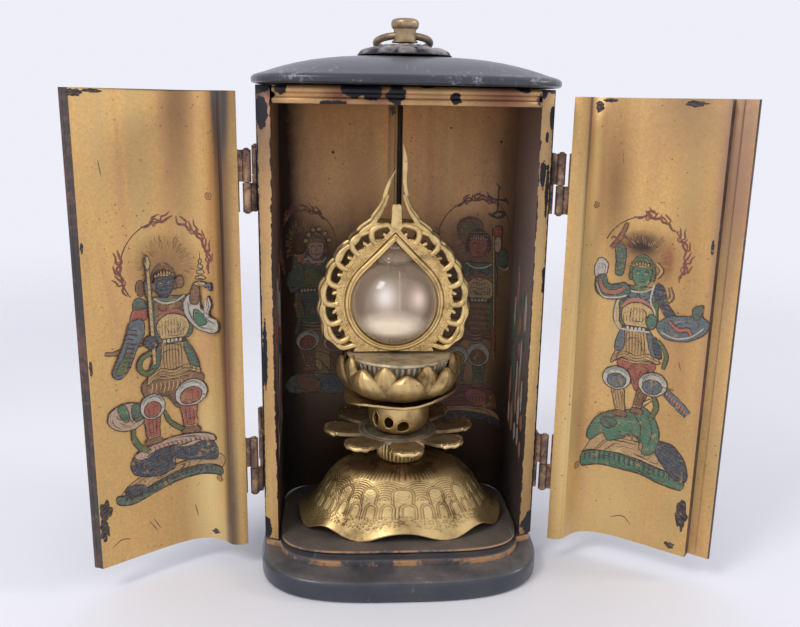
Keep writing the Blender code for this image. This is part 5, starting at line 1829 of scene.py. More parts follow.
def wheel_holder(b: Brush) -> None:
    """Pale-faced guardian with a crown of curls, standing on pale boulders."""
    b.halo(-1.6, 15.8, 11.4, ((225, 345),), (128, 118, 84, 70, 60, 196, 206, 216))
    b.rock(Paint.SLATE, 2.4, -33.6, 12.4, 3.6, 6.0)
    b.shape(Paint.BROWN, (-4.4, -31.6), (-2.2, -35.4), (3.6, -36.6), (4.2, -33.0), (1.0, -30.2),
            (-2.2, -29.6))
    b.shape(Paint.TAN, (2.6, -22.0), (7.4, -23.6), (8.6, -29.0), (6.4, -28.4), (4.4, -24.8), (1.8, -23.6))
    b.shape(Paint.STRAW, (1.6, -25.4), (4.0, -25.0), (5.0, -28.4), (1.8, -28.4))
    b.shin(Paint.BROWN, (-0.4, -20.6), (0.6, -27.2), 4.6)
    b.shin(Paint.BROWN, (9.8, -21.0), (9.4, -28.6), 3.6)
    b.knee(-0.2, -17.6, 4.2, 3.7, 12, Paint.RED)
    b.knee(9.0, -18.8, 3.9, 3.4, -6, Paint.RED)
    b.skirt(Paint.TEAL, Paint.MOSS, -14.4, 7.4, 2.4)
    b.armour(Paint.ROSE, Paint.TEAL, Paint.MOSS, Paint.TEAL)
    b.shape(Paint.TEAL, (-6.4, 7.0), (-4.0, 9.6), (-1.6, 8.4), (-1.6, 3.0), (-5.4, 1.4), (-9.4, 3.2))
    b.hatch(Paint.SLATE, 0.4, (-8.0, 4.8), (-3.0, 3.2), (0.8, 2.8), 8)
    b.ribbon(Paint.SLATE, 1.2, (-8.4, 4.4), (-6.0, 0.4), (-2.4, 2.0))
    b.ribbon(Paint.BROWN, 0.9, (-2.4, -1.2), (-3.2, -5.8), (-2.0, -7.8))
    b.face(3.0, 14.0, Paint.SHELL, Paint.BROWN)
    for x, z in ((0.4, 19.0), (2.0, 20.6), (4.0, 20.9), (6.0, 19.4), (7.4, 17.2), (-0.6, 17.0)):
        b.oval(Paint.STRAW, x, z, 0.9, 0.8)
    b.shape(Paint.ROSE, (-3.6, 9.6), (-1.8, 10.6), (-0.4, 13.4), (-2.2, 12.6), (-3.8, 12.4))
    b.line(Paint.WHITE, 0.55, (0.2, 11.6), (1.6, 9.8), (5.0, 9.8), (6.4, 11.2), taper=0.3)


def staff_holder(b: Brush) -> None:
    """Red-faced guardian with a cross-headed staff, standing on a dark red creature."""
    b.halo(-1.0, 20.0, 13.0, ((215, 350),), (112, 98, 84, 72, 178, 188, 197))
    b.shape(Paint.BROWN, (-7.0, 26.0), (-3.4, 27.4), (0.2, 25.4), (-0.2, 20.4), (-5.0, 18.6), (-7.6, 22.0))
    b.hatch(Paint.MOSS, 0.3, (-7.0, 25.4), (-0.6, 25.0), (0.6, -5.0), 12, 0.5)
    b.shape(Paint.RUST, (-13.0, -34.0), (-6.6, -30.0), (1.0, -29.8), (6.6, -31.6), (7.6, -36.6),
            (1.0, -38.4), (-8.6, -38.0), (-13.6, -37.0))
    b.shape(Paint.RED, (-2.6, -31.2), (2.6, -31.4), (4.4, -35.2), (0.4, -37.0), (-3.0, -34.4))
    b.hatch(Paint.INK, 0.4, (-11.0, -34.0), (5.0, -33.0), (0.8, -2.6), 14, 0.4)
    b.ground([(-13.0, -37.6), (-4.0, -37.0), (5.0, -37.4), (9.0, -38.6)],
             [(-13.6, -41.0), (-6.0, -40.0), (2.0, -40.6), (9.4, -41.4)], Paint.BLUE, 2.4)
    b.shin(Paint.SLATE, (-5.6, -22.0), (-6.0, -27.6), 3.6)
    b.shin(Paint.MOSS, (1.0, -21.6), (0.8, -28.6), 3.6)
    b.knee(0.4, -18.6, 4.0, 4.2, 0, Paint.BROWN)
    for share in (0.85, 0.62):
        arc = [(0.4 + 4.0 * share * math.cos(a), -18.8 + 4.2 * share * math.sin(a))
               for a in (math.radians(10 + 32 * step) for step in range(6))]
        b.line(Paint.WHITE, 0.3, *arc)
    b.knee(-6.4, -19.4, 3.6, 3.6, 0, Paint.TAN)
    b.skirt(Paint.BROWN, Paint.MOSS, -15.0, 6.6, -0.6)
    for row in range(5):
        b.hatch(Paint.TAN, 0.24, (-2.6, -1.6 - row * 1.9), (3.4, -1.6 - row * 1.9), (0.7, -1.0), 8)
    b.armour(Paint.TEAL, Paint.RED, Paint.STRAW, Paint.TEAL)
    for row in range(4):
        z = 6.6 - row * 1.5
        b.line(Paint.SLATE, 0.3, (-3.4, z), (-1.6, z + 0.8), (0.2, z), (2.0, z + 0.8), (3.8, z))
    b.pole(Paint.STRAW, (4.0, 24.6), (6.2, -20.6), 0.5)
    b.ribbon(Paint.RED, 1.1, (5.0, -8.6), (5.8, -14.0), (5.4, -17.0))
    b.face(-0.8, 17.6, Paint.RED, Paint.INK, 1.1)
    for row in range(3):
        b.hatch(Paint.STRAW, 0.26, (-3.4, 22.6 - row), (2.4, 22.6 - row), (0.1, -0.5), 8)
    b.shape(Paint.RED, (4.0, 24.0), (6.6, 24.8), (7.4, 22.6), (6.0, 20.8), (4.2, 21.6))
    b.shape(Paint.SHELL, (4.8, 20.6), (7.0, 21.2), (7.2, 17.0), (5.0, 16.6))
    b.shape(Paint.TEAL, (7.2, 17.4), (10.2, 17.0), (10.6, 12.8), (7.4, 11.8), (5.8, 13.6))
    b.line(Paint.WHITE, 0.4, (6.8, 11.8), (9.6, 11.0), (11.4, 12.4))
    b.line(Paint.INK, 0.7, (5.2, 37.2), (5.0, 29.0), taper=0.3)
    b.line(Paint.INK, 0.7, (2.4, 33.4), (8.4, 33.0), taper=0.3)
    for x, z in ((2.4, 33.4), (8.6, 33.0), (5.2, 37.4)):
        b.line(Paint.INK, 0.5, (x - 0.9, z + 0.9), (x, z), (x + 0.9, z - 0.9))
    b.ribbon(Paint.INK, 0.3, (2.0, 28.6), (5.0, 27.4), (8.0, 28.8), (5.2, 29.4), (3.0, 27.6))


@dataclass(frozen=True)
class Decor:
    """What is painted and worn on one door."""

    figure: Callable[[Brush], None]
    belt: Flat
    turn: int
    scale: float
    halo: Flat                    # centre of the brown shading, from the belt
    dark: float = 0.0
    chips: tuple[tuple[float, float, float, float], ...] = ()       # across, up, half-width, half-height
    scratches: tuple[tuple[Flat, ...], ...] = ()
    nails: tuple[Flat, ...] = ()


DECOR = {
    Wing.FRONT_LEFT: Decor(
        pagoda_bearer, (25.3, 70.1), 1, 1.0, (-1.2, 20.4),
        chips=((3.2, 136.4, 2.0, 1.0), (3.6, 24.6, 1.8, 3.2), (3.0, 19.6, 1.3, 3.4), (7.6, 137.0, 2.6, 0.5),
               (2.4, 66.0, 0.5, 2.2), (2.3, 98.0, 0.4, 1.6), (36.0, 10.0, 1.2, 0.8)),
        scratches=(((4.6, 13.0), (7.6, 14.6), (10.2, 14.0)), ((16.0, 17.6), (18.4, 13.8)),
                   ((17.4, 18.0), (19.4, 14.2)), ((30.0, 19.0), (30.8, 15.0)), ((8.0, 120.0), (8.6, 116.0))),
        nails=((37.6, 110.0), (38.0, 27.6))),
    Wing.FRONT_RIGHT: Decor(
        fist_raiser, (23.0, 73.6), -1, 1.0, (1.4, 19.6),
        chips=((38.6, 135.2, 1.7, 1.5), (12.0, 136.4, 3.0, 0.8), (5.0, 20.4, 1.6, 4.4),
               (35.0, 136.9, 2.2, 0.5), (7.6, 10.0, 1.5, 1.0), (4.0, 99.0, 0.4, 2.2)),
        scratches=(((26.0, 13.6), (22.0, 15.0), (19.4, 12.6)), ((14.6, 58.0), (10.6, 57.4)),
                   ((30.6, 124.0), (30.0, 120.0)), ((10.0, 66.0), (9.2, 63.6))),
        nails=((37.2, 108.6), (37.6, 30.4))),
    Wing.BACK_LEFT: Decor(wheel_holder, (28.4, 76.1), -1, 0.95, (-1.4, 15.4), 0.3,
                          chips=((1.4, 133.0, 0.8, 1.4), (20.0, 120.0, 0.5, 0.4))),
    Wing.BACK_RIGHT: Decor(staff_holder, (27.7, 72.8), 1, 1.0, (-1.0, 19.6), 0.3,
                           chips=((17.0, 128.0, 0.4, 0.3), (33.0, 124.0, 0.5, 0.5))),
}


def chip(painting: Painting, x: float, z: float, half_x: float, half_z: float,
         colour: Colour = Paint.BLACK) -> None:
    """Ragged patch where the lacquer is lost."""
    outline = []
    for step in range(26):
        angle = math.tau * step / 26
        rough = 1.0 + 0.55 * wobble(math.cos(angle) * 2 + x, math.sin(angle) * 2 + z, 0.9)
        outline.append((x + half_x * rough * math.cos(angle), z + half_z * rough * math.sin(angle)))
    painting.fill(outline, colour)


def decorate(door: Door) -> None:
    """Paint a door's figure and the losses in its lacquer."""
    decor = DECOR[door.wing]
    painting = Painting()
    decor.figure(Brush(painting, decor.belt, decor.turn, decor.scale))
    for patch in decor.chips:
        chip(painting, *patch)
    for path in decor.scratches:
        painting.stroke(smooth(path, steps=5), 0.3, (0.16, 0.075, 0.04))
    for x, z in decor.nails:
        for radius, colour in ((1.1, (0.22, 0.12, 0.05)), (0.75, (0.40, 0.24, 0.095)),
                               (0.3, (0.16, 0.085, 0.04))):
            chip(painting, x, z, radius, radius, colour)
    chance = random.Random(door.name)
    for _ in range(46):
        x, z = chance.uniform(6, 38), chance.uniform(10, 136)
        size = chance.uniform(0.07, 0.2)
        chip(painting, x, z, size * chance.uniform(0.8, 1.8), size, Paint.BROWN)
    pigment = Pigment(f"pigment_{door.wing.name.lower()}", dark=decor.dark).build()
    painting.wrap(f"painting_{door.place}_{door.side}", door, pigment)


DUSK, UMBER, PAINTED_SHEEN, PAINTED_SHADOW = (0.30, 0.155, 0.065), (0.17, 0.09, 0.045), (0.78, 0.58, 0.25), (0.03, 0.022, 0.02)
WEAR_AND_PAINTED_LIGHT = {  # worn and sooty areas of each door, with painted sheens and painted shadows: place across and up, the patch's radius, colour and the rest
    Wing.FRONT_LEFT: (
        ((31.0, 138.0), 46.0, DUSK, 0.5, 1.0, (4.4, 4.4, 1.0)),
        ((29.6, 139.0), 50.0, UMBER, 0.62, 1.0, (8.5, 8.5, 1.0)),
        ((48.9, 75.0), 90.0, (0.05, 0.03, 0.025), 1.2, 0.4, (110.0, 110.0, 1.0)),
        ((41.3, 139.0), 36.0, UMBER, 0.75, 0.8, (18.0, 18.0, 1.0)),
        ((20.0, 122.0), 26.0, (0.36, 0.19, 0.085), 0.2),
        ((43.0, 138.0), 92.0, UMBER, 0.9, 1.0, (15.0, 15.0, 1.0)),
        ((44.9, 80.0), 34.0, UMBER, 0.6, 1.0, (9.0, 9.0, 1.0)),
        ((48.6, 84.0), 96.0, UMBER, 0.75, 0.8, (26.0, 26.0, 1.0)),
        # painted sheen: a pale band where the curved gold would reflect the lamp
        ((36.0, 22.0), 50.0, PAINTED_SHEEN, 0.95, 1.0, (4.6, 4.6, 1.0)),
        ((47.0, 138.0), 26.0, (0.085, 0.07, 0.062), 1.1, 0.6, (7.0, 7.0, 1.0)),
        ((47.8, 12.0), 62.0, (0.14, 0.09, 0.06), 0.9, 0.8, (17.0, 17.0, 1.0)),
        ((46.6, 56.0), 26.0, (0.25, 0.10, 0.06), 0.7, 1.0, (13.0, 13.0, 1.0)),
        ((24.0, 138.3), 34.0, (0.05, 0.03, 0.025), 1.0, 0.6, (1.0, 1.0, 26.0)),
        ((44.4, 136.0), 74.0, (0.06, 0.034, 0.026), 1.3, 0.5, (95.0, 95.0, 1.0))),
    Wing.FRONT_RIGHT: (
        ((31.3, 114.0), 31.0, (0.27, 0.14, 0.06), 0.85, 1.0, (5.0, 5.0, 1.0)),
        ((14.0, 139.0), 27.0, (0.25, 0.15, 0.075), 0.95, 1.0, (1.2, 1.2, 1.0)),
        ((-1.0, 124.0), 66.0, UMBER, 0.55, 1.0, (13.0, 13.0, 1.0)),
        ((-3.6, 90.0), 110.0, (0.33, 0.19, 0.12), 1.0, 0.7, (24.0, 24.0, 1.0)),
        ((-7.0, 130.0), 58.0, (0.30, 0.17, 0.115), 0.9, 0.8, (7.2, 7.2, 1.0)),
        ((9.5, 88.0), 76.0, DUSK, 0.5, 1.0, (9.0, 9.0, 1.0)),
        ((21.7, 122.0), 30.0, DUSK, 0.25),
        ((44.5, 136.0), 30.0, DUSK, 0.6, 1.0, (8.0, 8.0, 1.0)),
        ((43.9, 120.0), 80.0, (0.12, 0.07, 0.045), 0.9, 0.6, (115.0, 115.0, 1.0)),
        # painted sheen: pale bands where the curved gold would reflect the lamps
        ((38.6, 122.0), 44.0, PAINTED_SHEEN, 0.95, 1.0, (15.0, 15.0, 1.0)),
        ((40.0, 84.0), 62.0, PAINTED_SHEEN, 0.7, 1.0, (11.0, 11.0, 1.0)),
        ((43.0, 36.0), 50.0, PAINTED_SHEEN, 0.7, 1.0, (8.0, 8.0, 1.0)),
        ((26.0, 16.0), 30.0, PAINTED_SHEEN, 0.5, 1.0, (1.6, 1.6, 1.0))),
    Wing.BACK_LEFT: (
        # painted shadow: an upright dark band where the door curves in beside the side panel, and a dark
        # patch behind the reliquary
        ((41.5, 75.0), 18.0, PAINTED_SHADOW, 1.3, 0.9, (1.0, 1.0, 0.02)),
        ((19.0, 77.0), 36.0, (0.075, 0.043, 0.03), 0.95, 0.8),
        ((10.0, 112.0), 30.0, (0.17, 0.095, 0.045), 0.2)),
    Wing.BACK_RIGHT: (
        ((33.0, 118.0), 28.0, (0.10, 0.055, 0.04), 0.65, 1.0, (2.0, 2.0, 0.6)),
        # painted shadow: a dark patch behind the reliquary, and an upright band where the door curves in
        # beside the side panel
        ((19.0, 75.0), 34.0, (0.075, 0.043, 0.03), 0.9, 0.8),
        ((44.0, 75.0), 11.0, (0.13, 0.105, 0.10), 0.9, 1.0, (1.0, 1.0, 0.02)),
        ((10.0, 112.0), 30.0, (0.17, 0.095, 0.045), 0.2)),
}
DIM_GOLD = {"gold": (0.72, 0.41, 0.165), "brown": (0.24, 0.12, 0.055), "thin": 0.5, "dull": 0.1,
            "darker_below": 60.0, "flakes": 0.12}
GILT = {Wing.FRONT_LEFT: {"thin": 0.34, "flakes": 0.1}, Wing.FRONT_RIGHT: {"thin": 0.4, "flakes": 0.1},
        Wing.BACK_LEFT: DIM_GOLD, Wing.BACK_RIGHT: DIM_GOLD}


def gilding(wing: Wing, inner: InnerFace) -> bpy.types.Material:
    """Gold lacquer of one door, with the brown shading behind its figure, its worn bands and its painted
    sheens and shadows.
    """
    decor = DECOR[wing]
    guide = Door(wing, None, None, inner)
    x = decor.belt[0] + decor.turn * decor.halo[0]
    z = decor.belt[1] + decor.halo[1]
    ring_centre = guide.on_face(x, z)
    patches = [ColourPatch(ring_centre, 12.5, (0.26, 0.13, 0.055), 0.55, 0.5),
              ColourPatch(ring_centre, 8.0, (0.14, 0.07, 0.035), 0.4, 0.8)]
    if wing is Wing.FRONT_RIGHT:
        patches += [ColourPatch(guide.on_face(x + 1.8, z + 4.8), 6.0, (0.04, 0.026, 0.022), 1.0, 0.8,
                         (0.75, 0.75, 1.3)),
                   ColourPatch(guide.on_face(x - 6.0, z + 1.0), 6.5, (0.25, 0.06, 0.035), 0.7, 0.9,
                         (2.4, 2.4, 0.9))]
    patches += [ColourPatch(guide.on_face(*place), *look) for place, *look in WEAR_AND_PAINTED_LIGHT[wing]]
    return GoldLacquer(f"gold_{wing.name.lower()}", patches=tuple(patches), **GILT[wing]).build()


def paint_side_panels() -> None:
    """Worn strips of paint on the insides of the side panels."""
    for side, name, colours in ((1, "right", (Paint.WHITE, Paint.TEAL, Paint.ROSE)),
                                (-1, "left", (Paint.WHITE, Paint.RED, Paint.TEAL))):
        solid = Solid()
        data: list[Colour] = []
        chance = random.Random(name)
        for step in range(30):
            y = lerp(-8.5, 8.0, (step % 5) / 4) + chance.uniform(-1.5, 1.5)
            z = lerp(34.0, 84.0, step / 29) + chance.uniform(-1.5, 1.5)
            half_y, half_z = chance.uniform(0.6, 1.7), chance.uniform(1.8, 5.5)
            colour = colours[chance.choice((0, 0, 1, 1, 2))]
            lift = 0.03 + 0.004 * step
            ring = [(y + half_y * (1 + 0.4 * wobble(math.cos(a) * 2, math.sin(a) * 2, 0.8,
                                                    step)) * math.cos(a),
                     z + half_z * (1 + 0.4 * wobble(math.cos(a) * 2, math.sin(a) * 2, 0.8,
                                                    step)) * math.sin(a))
                    for a in (math.tau * place / 24 for place in range(24))]
            solid.skin([[(side * (36.0 + 0.01), u, v) for u, v in ring],
                        [(side * (36.0 - lift), u, v) for u, v in ring]])
            data += [colour] * 48
        item = solid.item(f"painting_panel_{name}", Pigment(f"pigment_panel_{name}", dark=0.25,
                                                            worn=0.5).build())
        paint = item.data.attributes.new("paint", "FLOAT_COLOR", "POINT")
        paint.data.foreach_set("color", [c for colour in data for c in (*colour, 1.0)])
        settle(item, "cabinet", "gilt_panel")


# ---------------------------------------------------------------- reliquary

def ring_of(name: str, count: int, radius: float, unit: bpy.types.Mesh, material: bpy.types.Material,
            centre: Spot = (0.0, 0.0, 0.0)) -> bpy.types.Object:
    """Repeat a small mesh round a circle.

    Args:
        name: Name of the result.
        count: Number of copies.
        radius: Radius of the circle in millimetres.
        unit: The mesh, drawn with its outward side towards +X.
        material: Finish of the copies.
        centre: Centre of the circle.

    Returns:
        The copies as one object.
    """
    tree = GeoTree(f"{name}_tree", {"Count": "Int", "Radius": "Float", "Centre": "Vector", "Unit": "Object",
                                    "Material": "Material"})
    ring = tree.node("GeometryNodeMeshCircle", None,
                     {"Vertices": tree.input("Count"), "Radius": tree.input("Radius")})
    index = tree.node("GeometryNodeInputIndex")
    turn = index * math.tau / tree.input("Count")
    angles = tree.node("ShaderNodeCombineXYZ", None, {"Z": turn})
    unit_item = bpy.data.objects.new(f"{name}_unit", unit)
    one = tree.node("GeometryNodeObjectInfo", None, {0: tree.input("Unit")}, "Geometry")
    copies = tree.node("GeometryNodeInstanceOnPoints", None,
                       {"Points": ring, "Instance": one, "Rotation": angles})
    placed = tree.node("GeometryNodeTransform", None,
                       {"Geometry": copies, "Translation": tree.input("Centre")})
    tree.close(placed)
    host = bpy.data.meshes.new(f"{name}_host")
    values = {"Count": count, "Radius": radius * MM, "Centre": tuple(c * MM for c in centre),
              "Unit": unit_item, "Material": material}
    result = tree.bake(name, host, values)
    bpy.data.objects.remove(unit_item, do_unlink=True)
    return result


def ribs_round(name: str, path: Sequence[Spot], radii: Sequence[float], count: int, radius: float,
               material: bpy.types.Material, centre: Spot = (0.0, 0.0, 0.0)) -> bpy.types.Object:
    """Ribs with rounded backs, each a rod along a path, repeated round a circle."""
    unit = Solid().tube(path, radii, 8).item("rib", material)
    mesh = unit.data
    bpy.data.objects.remove(unit, do_unlink=True)
    return ring_of(name, count, radius, mesh, material, centre)


def grains_on(name: str, host: bpy.types.Mesh, spacing: float, radius: float, material: bpy.types.Material,
              seed: int = 0, detail: int = 1) -> bpy.types.Object:
    """Scatter small round grains over a mesh.

    Args:
        name: Name of the result.
        host: The mesh to cover.
        spacing: Least distance between grains in millimetres.
        radius: Mean radius of a grain in millimetres.
        material: Finish of the grains.
        seed: Seed of the scatter.
        detail: Subdivisions of each grain.

    Returns:
        The grains as one object.
    """
    tree = GeoTree(f"{name}_tree", {"Spacing": "Float", "Radius": "Float", "Seed": "Int", "Detail": "Int",
                                    "Material": "Material"})
    spread = tree.node("GeometryNodeDistributePointsOnFaces", {"distribute_method": "POISSON"},
                       {"Mesh": tree.input("Geometry"), "Distance Min": tree.input("Spacing"),
                        "Density Max": 3.0e7, "Seed": tree.input("Seed")})
    grain = tree.node("GeometryNodeMeshIcoSphere", None, {"Radius": tree.input("Radius"),
                                                          "Subdivisions": tree.input("Detail")})
    size = tree.node("FunctionNodeRandomValue", {"data_type": "FLOAT"},
                     {2: 0.72, 3: 1.22, "Seed": tree.input("Seed")}, 1)
    tree.close(tree.node("GeometryNodeInstanceOnPoints", None,
                         {"Points": spread, "Instance": grain, "Scale": size}))
    return tree.bake(name, host, {"Spacing": spacing * MM, "Radius": radius * MM, "Seed": seed,
                                  "Detail": detail, "Material": material})


def beads_along(name: str, paths: Sequence[Sequence[Spot]], spacing: float, size: Spot,
                material: bpy.types.Material) -> bpy.types.Object:
    """String beads along open paths.

    Args:
        name: Name of the result.
        paths: The paths.
        spacing: Distance between beads in millimetres.
        size: Half-sizes of a bead.
        material: Finish of the beads.

    Returns:
        The beads as one object.
    """
    tree = GeoTree(f"{name}_tree", {"Spacing": "Float", "Size": "Vector", "Material": "Material"})
    line = tree.node("GeometryNodeMeshToCurve", None, {"Mesh": tree.input("Geometry")})
    dots = tree.node("GeometryNodeCurveToPoints", {"mode": "LENGTH"},
                     {"Curve": line, "Length": tree.input("Spacing")})
    bead = tree.node("GeometryNodeMeshUVSphere", None, {"Segments": 12, "Rings": 8, "Radius": 1.0})
    random_size = tree.node("FunctionNodeRandomValue", {"data_type": "FLOAT"},
                            {2: 0.86, 3: 1.1, "Seed": 4}, 1)
    scale = tree.node("ShaderNodeVectorMath", {"operation": "SCALE"},
                      {0: tree.input("Size"), "Scale": random_size})
    tree.close(tree.node("GeometryNodeInstanceOnPoints", None,
                         {"Points": dots, "Instance": bead, "Scale": scale}))
    host = bpy.data.meshes.new(f"{name}_host")
    points, edges = [], []
    for path in paths:
        start = len(points)
        points += [tuple(c * MM for c in point) for point in path]
        edges += [(start + step, start + step + 1) for step in range(len(path) - 1)]
    host.from_pydata(points, edges, [])
    return tree.bake(name, host, {"Spacing": spacing * MM, "Size": tuple(c * MM for c in size),
                                  "Material": material})


def groove(distance: float, width: float) -> float:
    """Depth of an engraved line, 1 on the line and 0 beyond its width."""
    return max(0.0, 1.0 - abs(distance) / width)


DOT_PITCH = 0.62  # between the punched dots round the foot


@dataclass
class Foot:
    """Hammered leaf foot, engraved with fans, arches and punched dots."""

    finish: Finishes
    centre_x: float = 0.8
    half_x: float = 31.3
    half_y: float = 19.5
    top: float = 29.3
    shell: float = 0.8
    profile: tuple[Flat, ...] = ((0.12, 29.3), (0.25, 29.25), (0.34, 29.05), (0.42, 28.65), (0.51, 27.9),
                                 (0.59, 26.7), (0.67, 24.8), (0.73, 22.6), (0.775, 20.4), (0.81, 18.5),
                                 (0.85, 16.7), (0.89, 15.2), (0.94, 13.7), (0.975, 12.7), (1.0, 12.0))
    columns: int = 600
    rows: int = 150

    def rim_height(self, angle: float) -> float:
        """Height of the wavy rim."""
        return 11.7 + 1.45 * math.cos(8 * (angle + math.pi / 2)) + 0.6 * math.cos(angle) ** 2

    def engraving(self, around: float, down: float) -> float:
        """Depth of the engraving, from 0 to 1.

        Args:
            around: Distance round the dome in millimetres, 0 at the front.
            down: Distance down the dome from its shoulder in millimetres.

        Returns:
            The depth.
        """
        depth = 0.0
        pitch = 7.7
        fan_u = (around / pitch) % 1.0 * pitch - pitch / 2
        fan_v = 8.6 - down
        reach = math.hypot(fan_u, fan_v)
        if fan_v > 0.0 and reach < 6.6:
            depth = max(depth, groove(reach % 0.74 - 0.37, 0.24) * min(1.0, (6.6 - reach) * 2))
        arch_u = (around / pitch + 0.5) % 1.0 * pitch - pitch / 2
        arch_v = 6.9 - down
        if arch_v > -4.6:
            reach = math.hypot(arch_u, max(arch_v, 0.0)) - min(0.0, arch_v) * 0.1
            if reach < 2.55:
                depth = 0.0
                for line in (2.4, 1.85):
                    depth = max(depth, groove(reach - line, 0.27))
                if reach < 1.5 and down < 10.0:
                    depth = max(depth, 0.5 * groove((down + abs(arch_u) * 0.7) % 1.0 - 0.5, 0.2))
        small_u = (around / (pitch / 2) + 0.25) % 1.0 * (pitch / 2) - pitch / 4
        small_v = 11.4 - down
        reach = math.hypot(small_u, max(small_v, 0.0) * 0.8)
        if small_v > -2.8 and reach < 1.8 and down > 9.4:
            depth = max(groove(reach - 1.6, 0.25), groove(reach - 1.05, 0.2))
        if -7.0 < down < 2.4 and depth < 0.2:
            vein = (around / (pitch / 6)) % 1.0 * (pitch / 6) - pitch / 12
            fade = min(1.0, 2.4 - down, (down + 7.0) / 4)
            depth = max(depth, 0.6 * groove(vein, 0.3) * fade)
        if 13.6 < down < 17.4:
            cell_u, cell_v = round(around / DOT_PITCH), round(down / DOT_PITCH)
            jitter = random.Random(cell_u * 131 + cell_v * 17)
            spot_u = cell_u * DOT_PITCH + jitter.uniform(-0.2, 0.2)
            spot_v = cell_v * DOT_PITCH + jitter.uniform(-0.2, 0.2)
            if jitter.random() < 0.6:
                depth = max(depth, groove(math.hypot(around - spot_u, down - spot_v), 0.3))
        return depth

    def ring(self, scale: float, height: float, inner: bool, count: int,
             down: float) -> tuple[list[Spot], list[float]]:
        """One ring of the shell and how dark each of its points is: deep where it is cut, and darker over
        the top of the dome.
        """
        points, depths = [], []
        wavy = max(0.0, (scale - 0.72) / 0.28) ** 2
        for step in range(count):
            angle = math.tau * step / count - math.pi / 2
            thickness = self.shell * min(1.0, (1.004 - scale) * 30) if inner else 0.0
            across = abs(math.cos(angle)) ** (2 / 2.3) * (self.half_x * scale - thickness)
            along = abs(math.sin(angle)) ** (2 / 2.3) * (self.half_y * scale - thickness)
            x, y = math.copysign(across, math.cos(angle)), math.copysign(along, math.sin(angle))
            level = height + wavy * (self.rim_height(angle) - 12.0) - thickness * (1.0 - min(1.0, wavy))
            cut = 0.0
            if not inner:
                turn = math.remainder(angle + math.pi / 2, math.tau)
                cut = self.engraving(turn * 20.0, down) if 0.3 < scale < 0.975 else 0.0
                dents = 0.1 * wobble(x, y + level * 2, 5.0, 2.0)
                squeeze = 1.0 - (0.16 * cut + dents) / max(8.0, math.hypot(x, y))
                x, y, level = x * squeeze, y * squeeze, level - 0.06 * cut
            points.append((self.centre_x + x, y, level))
            # darker over the top of the dome
            patchy = 0.95 + 0.15 * wobble(x * 3, y * 3, 4.0, 3.0)
            crown = 0.66 * max(0.0, min(1.0, (height - 25.4) / 2.6)) * patchy
            depths.append(min(1.0, cut * 0.9 + crown))
        return points, depths

    def build(self) -> None:
        """Make the foot."""
        curve = smooth(self.profile, steps=12)
        rows, hollow = [], []
        nearest = min(range(len(curve)), key=lambda place: abs(curve[place][0] - 0.55))
        shoulder = at_share(curve[:nearest + 1], 1.0, 27.0)[2]
        for row in range(self.rows):
            scale, height, travelled = at_share(curve, row / (self.rows - 1), 27.0)
            points, depths = self.ring(scale, height, False, self.columns, travelled - shoulder)
            rows.append(points)
            hollow += depths
        for scale, height in ((1.004, 11.72), (1.002, 11.5), (0.99, 11.45), (0.975, 11.7), (0.93, 13.6),
                              (0.88, 15.4), (0.81, 18.4), (0.73, 22.4), (0.59, 26.7), (0.42, 28.7),
                              (0.25, 29.3)):
            points, _ = self.ring(scale, height, True, self.columns, 0.0)
            rows.append(points)
            hollow += [0.55] * self.columns
        item = Solid().skin(rows, hollow=hollow).item("reliquary_leaf_foot", self.finish.brass)
        settle(item, "cabinet", "gilt_brass", "leaf_foot")


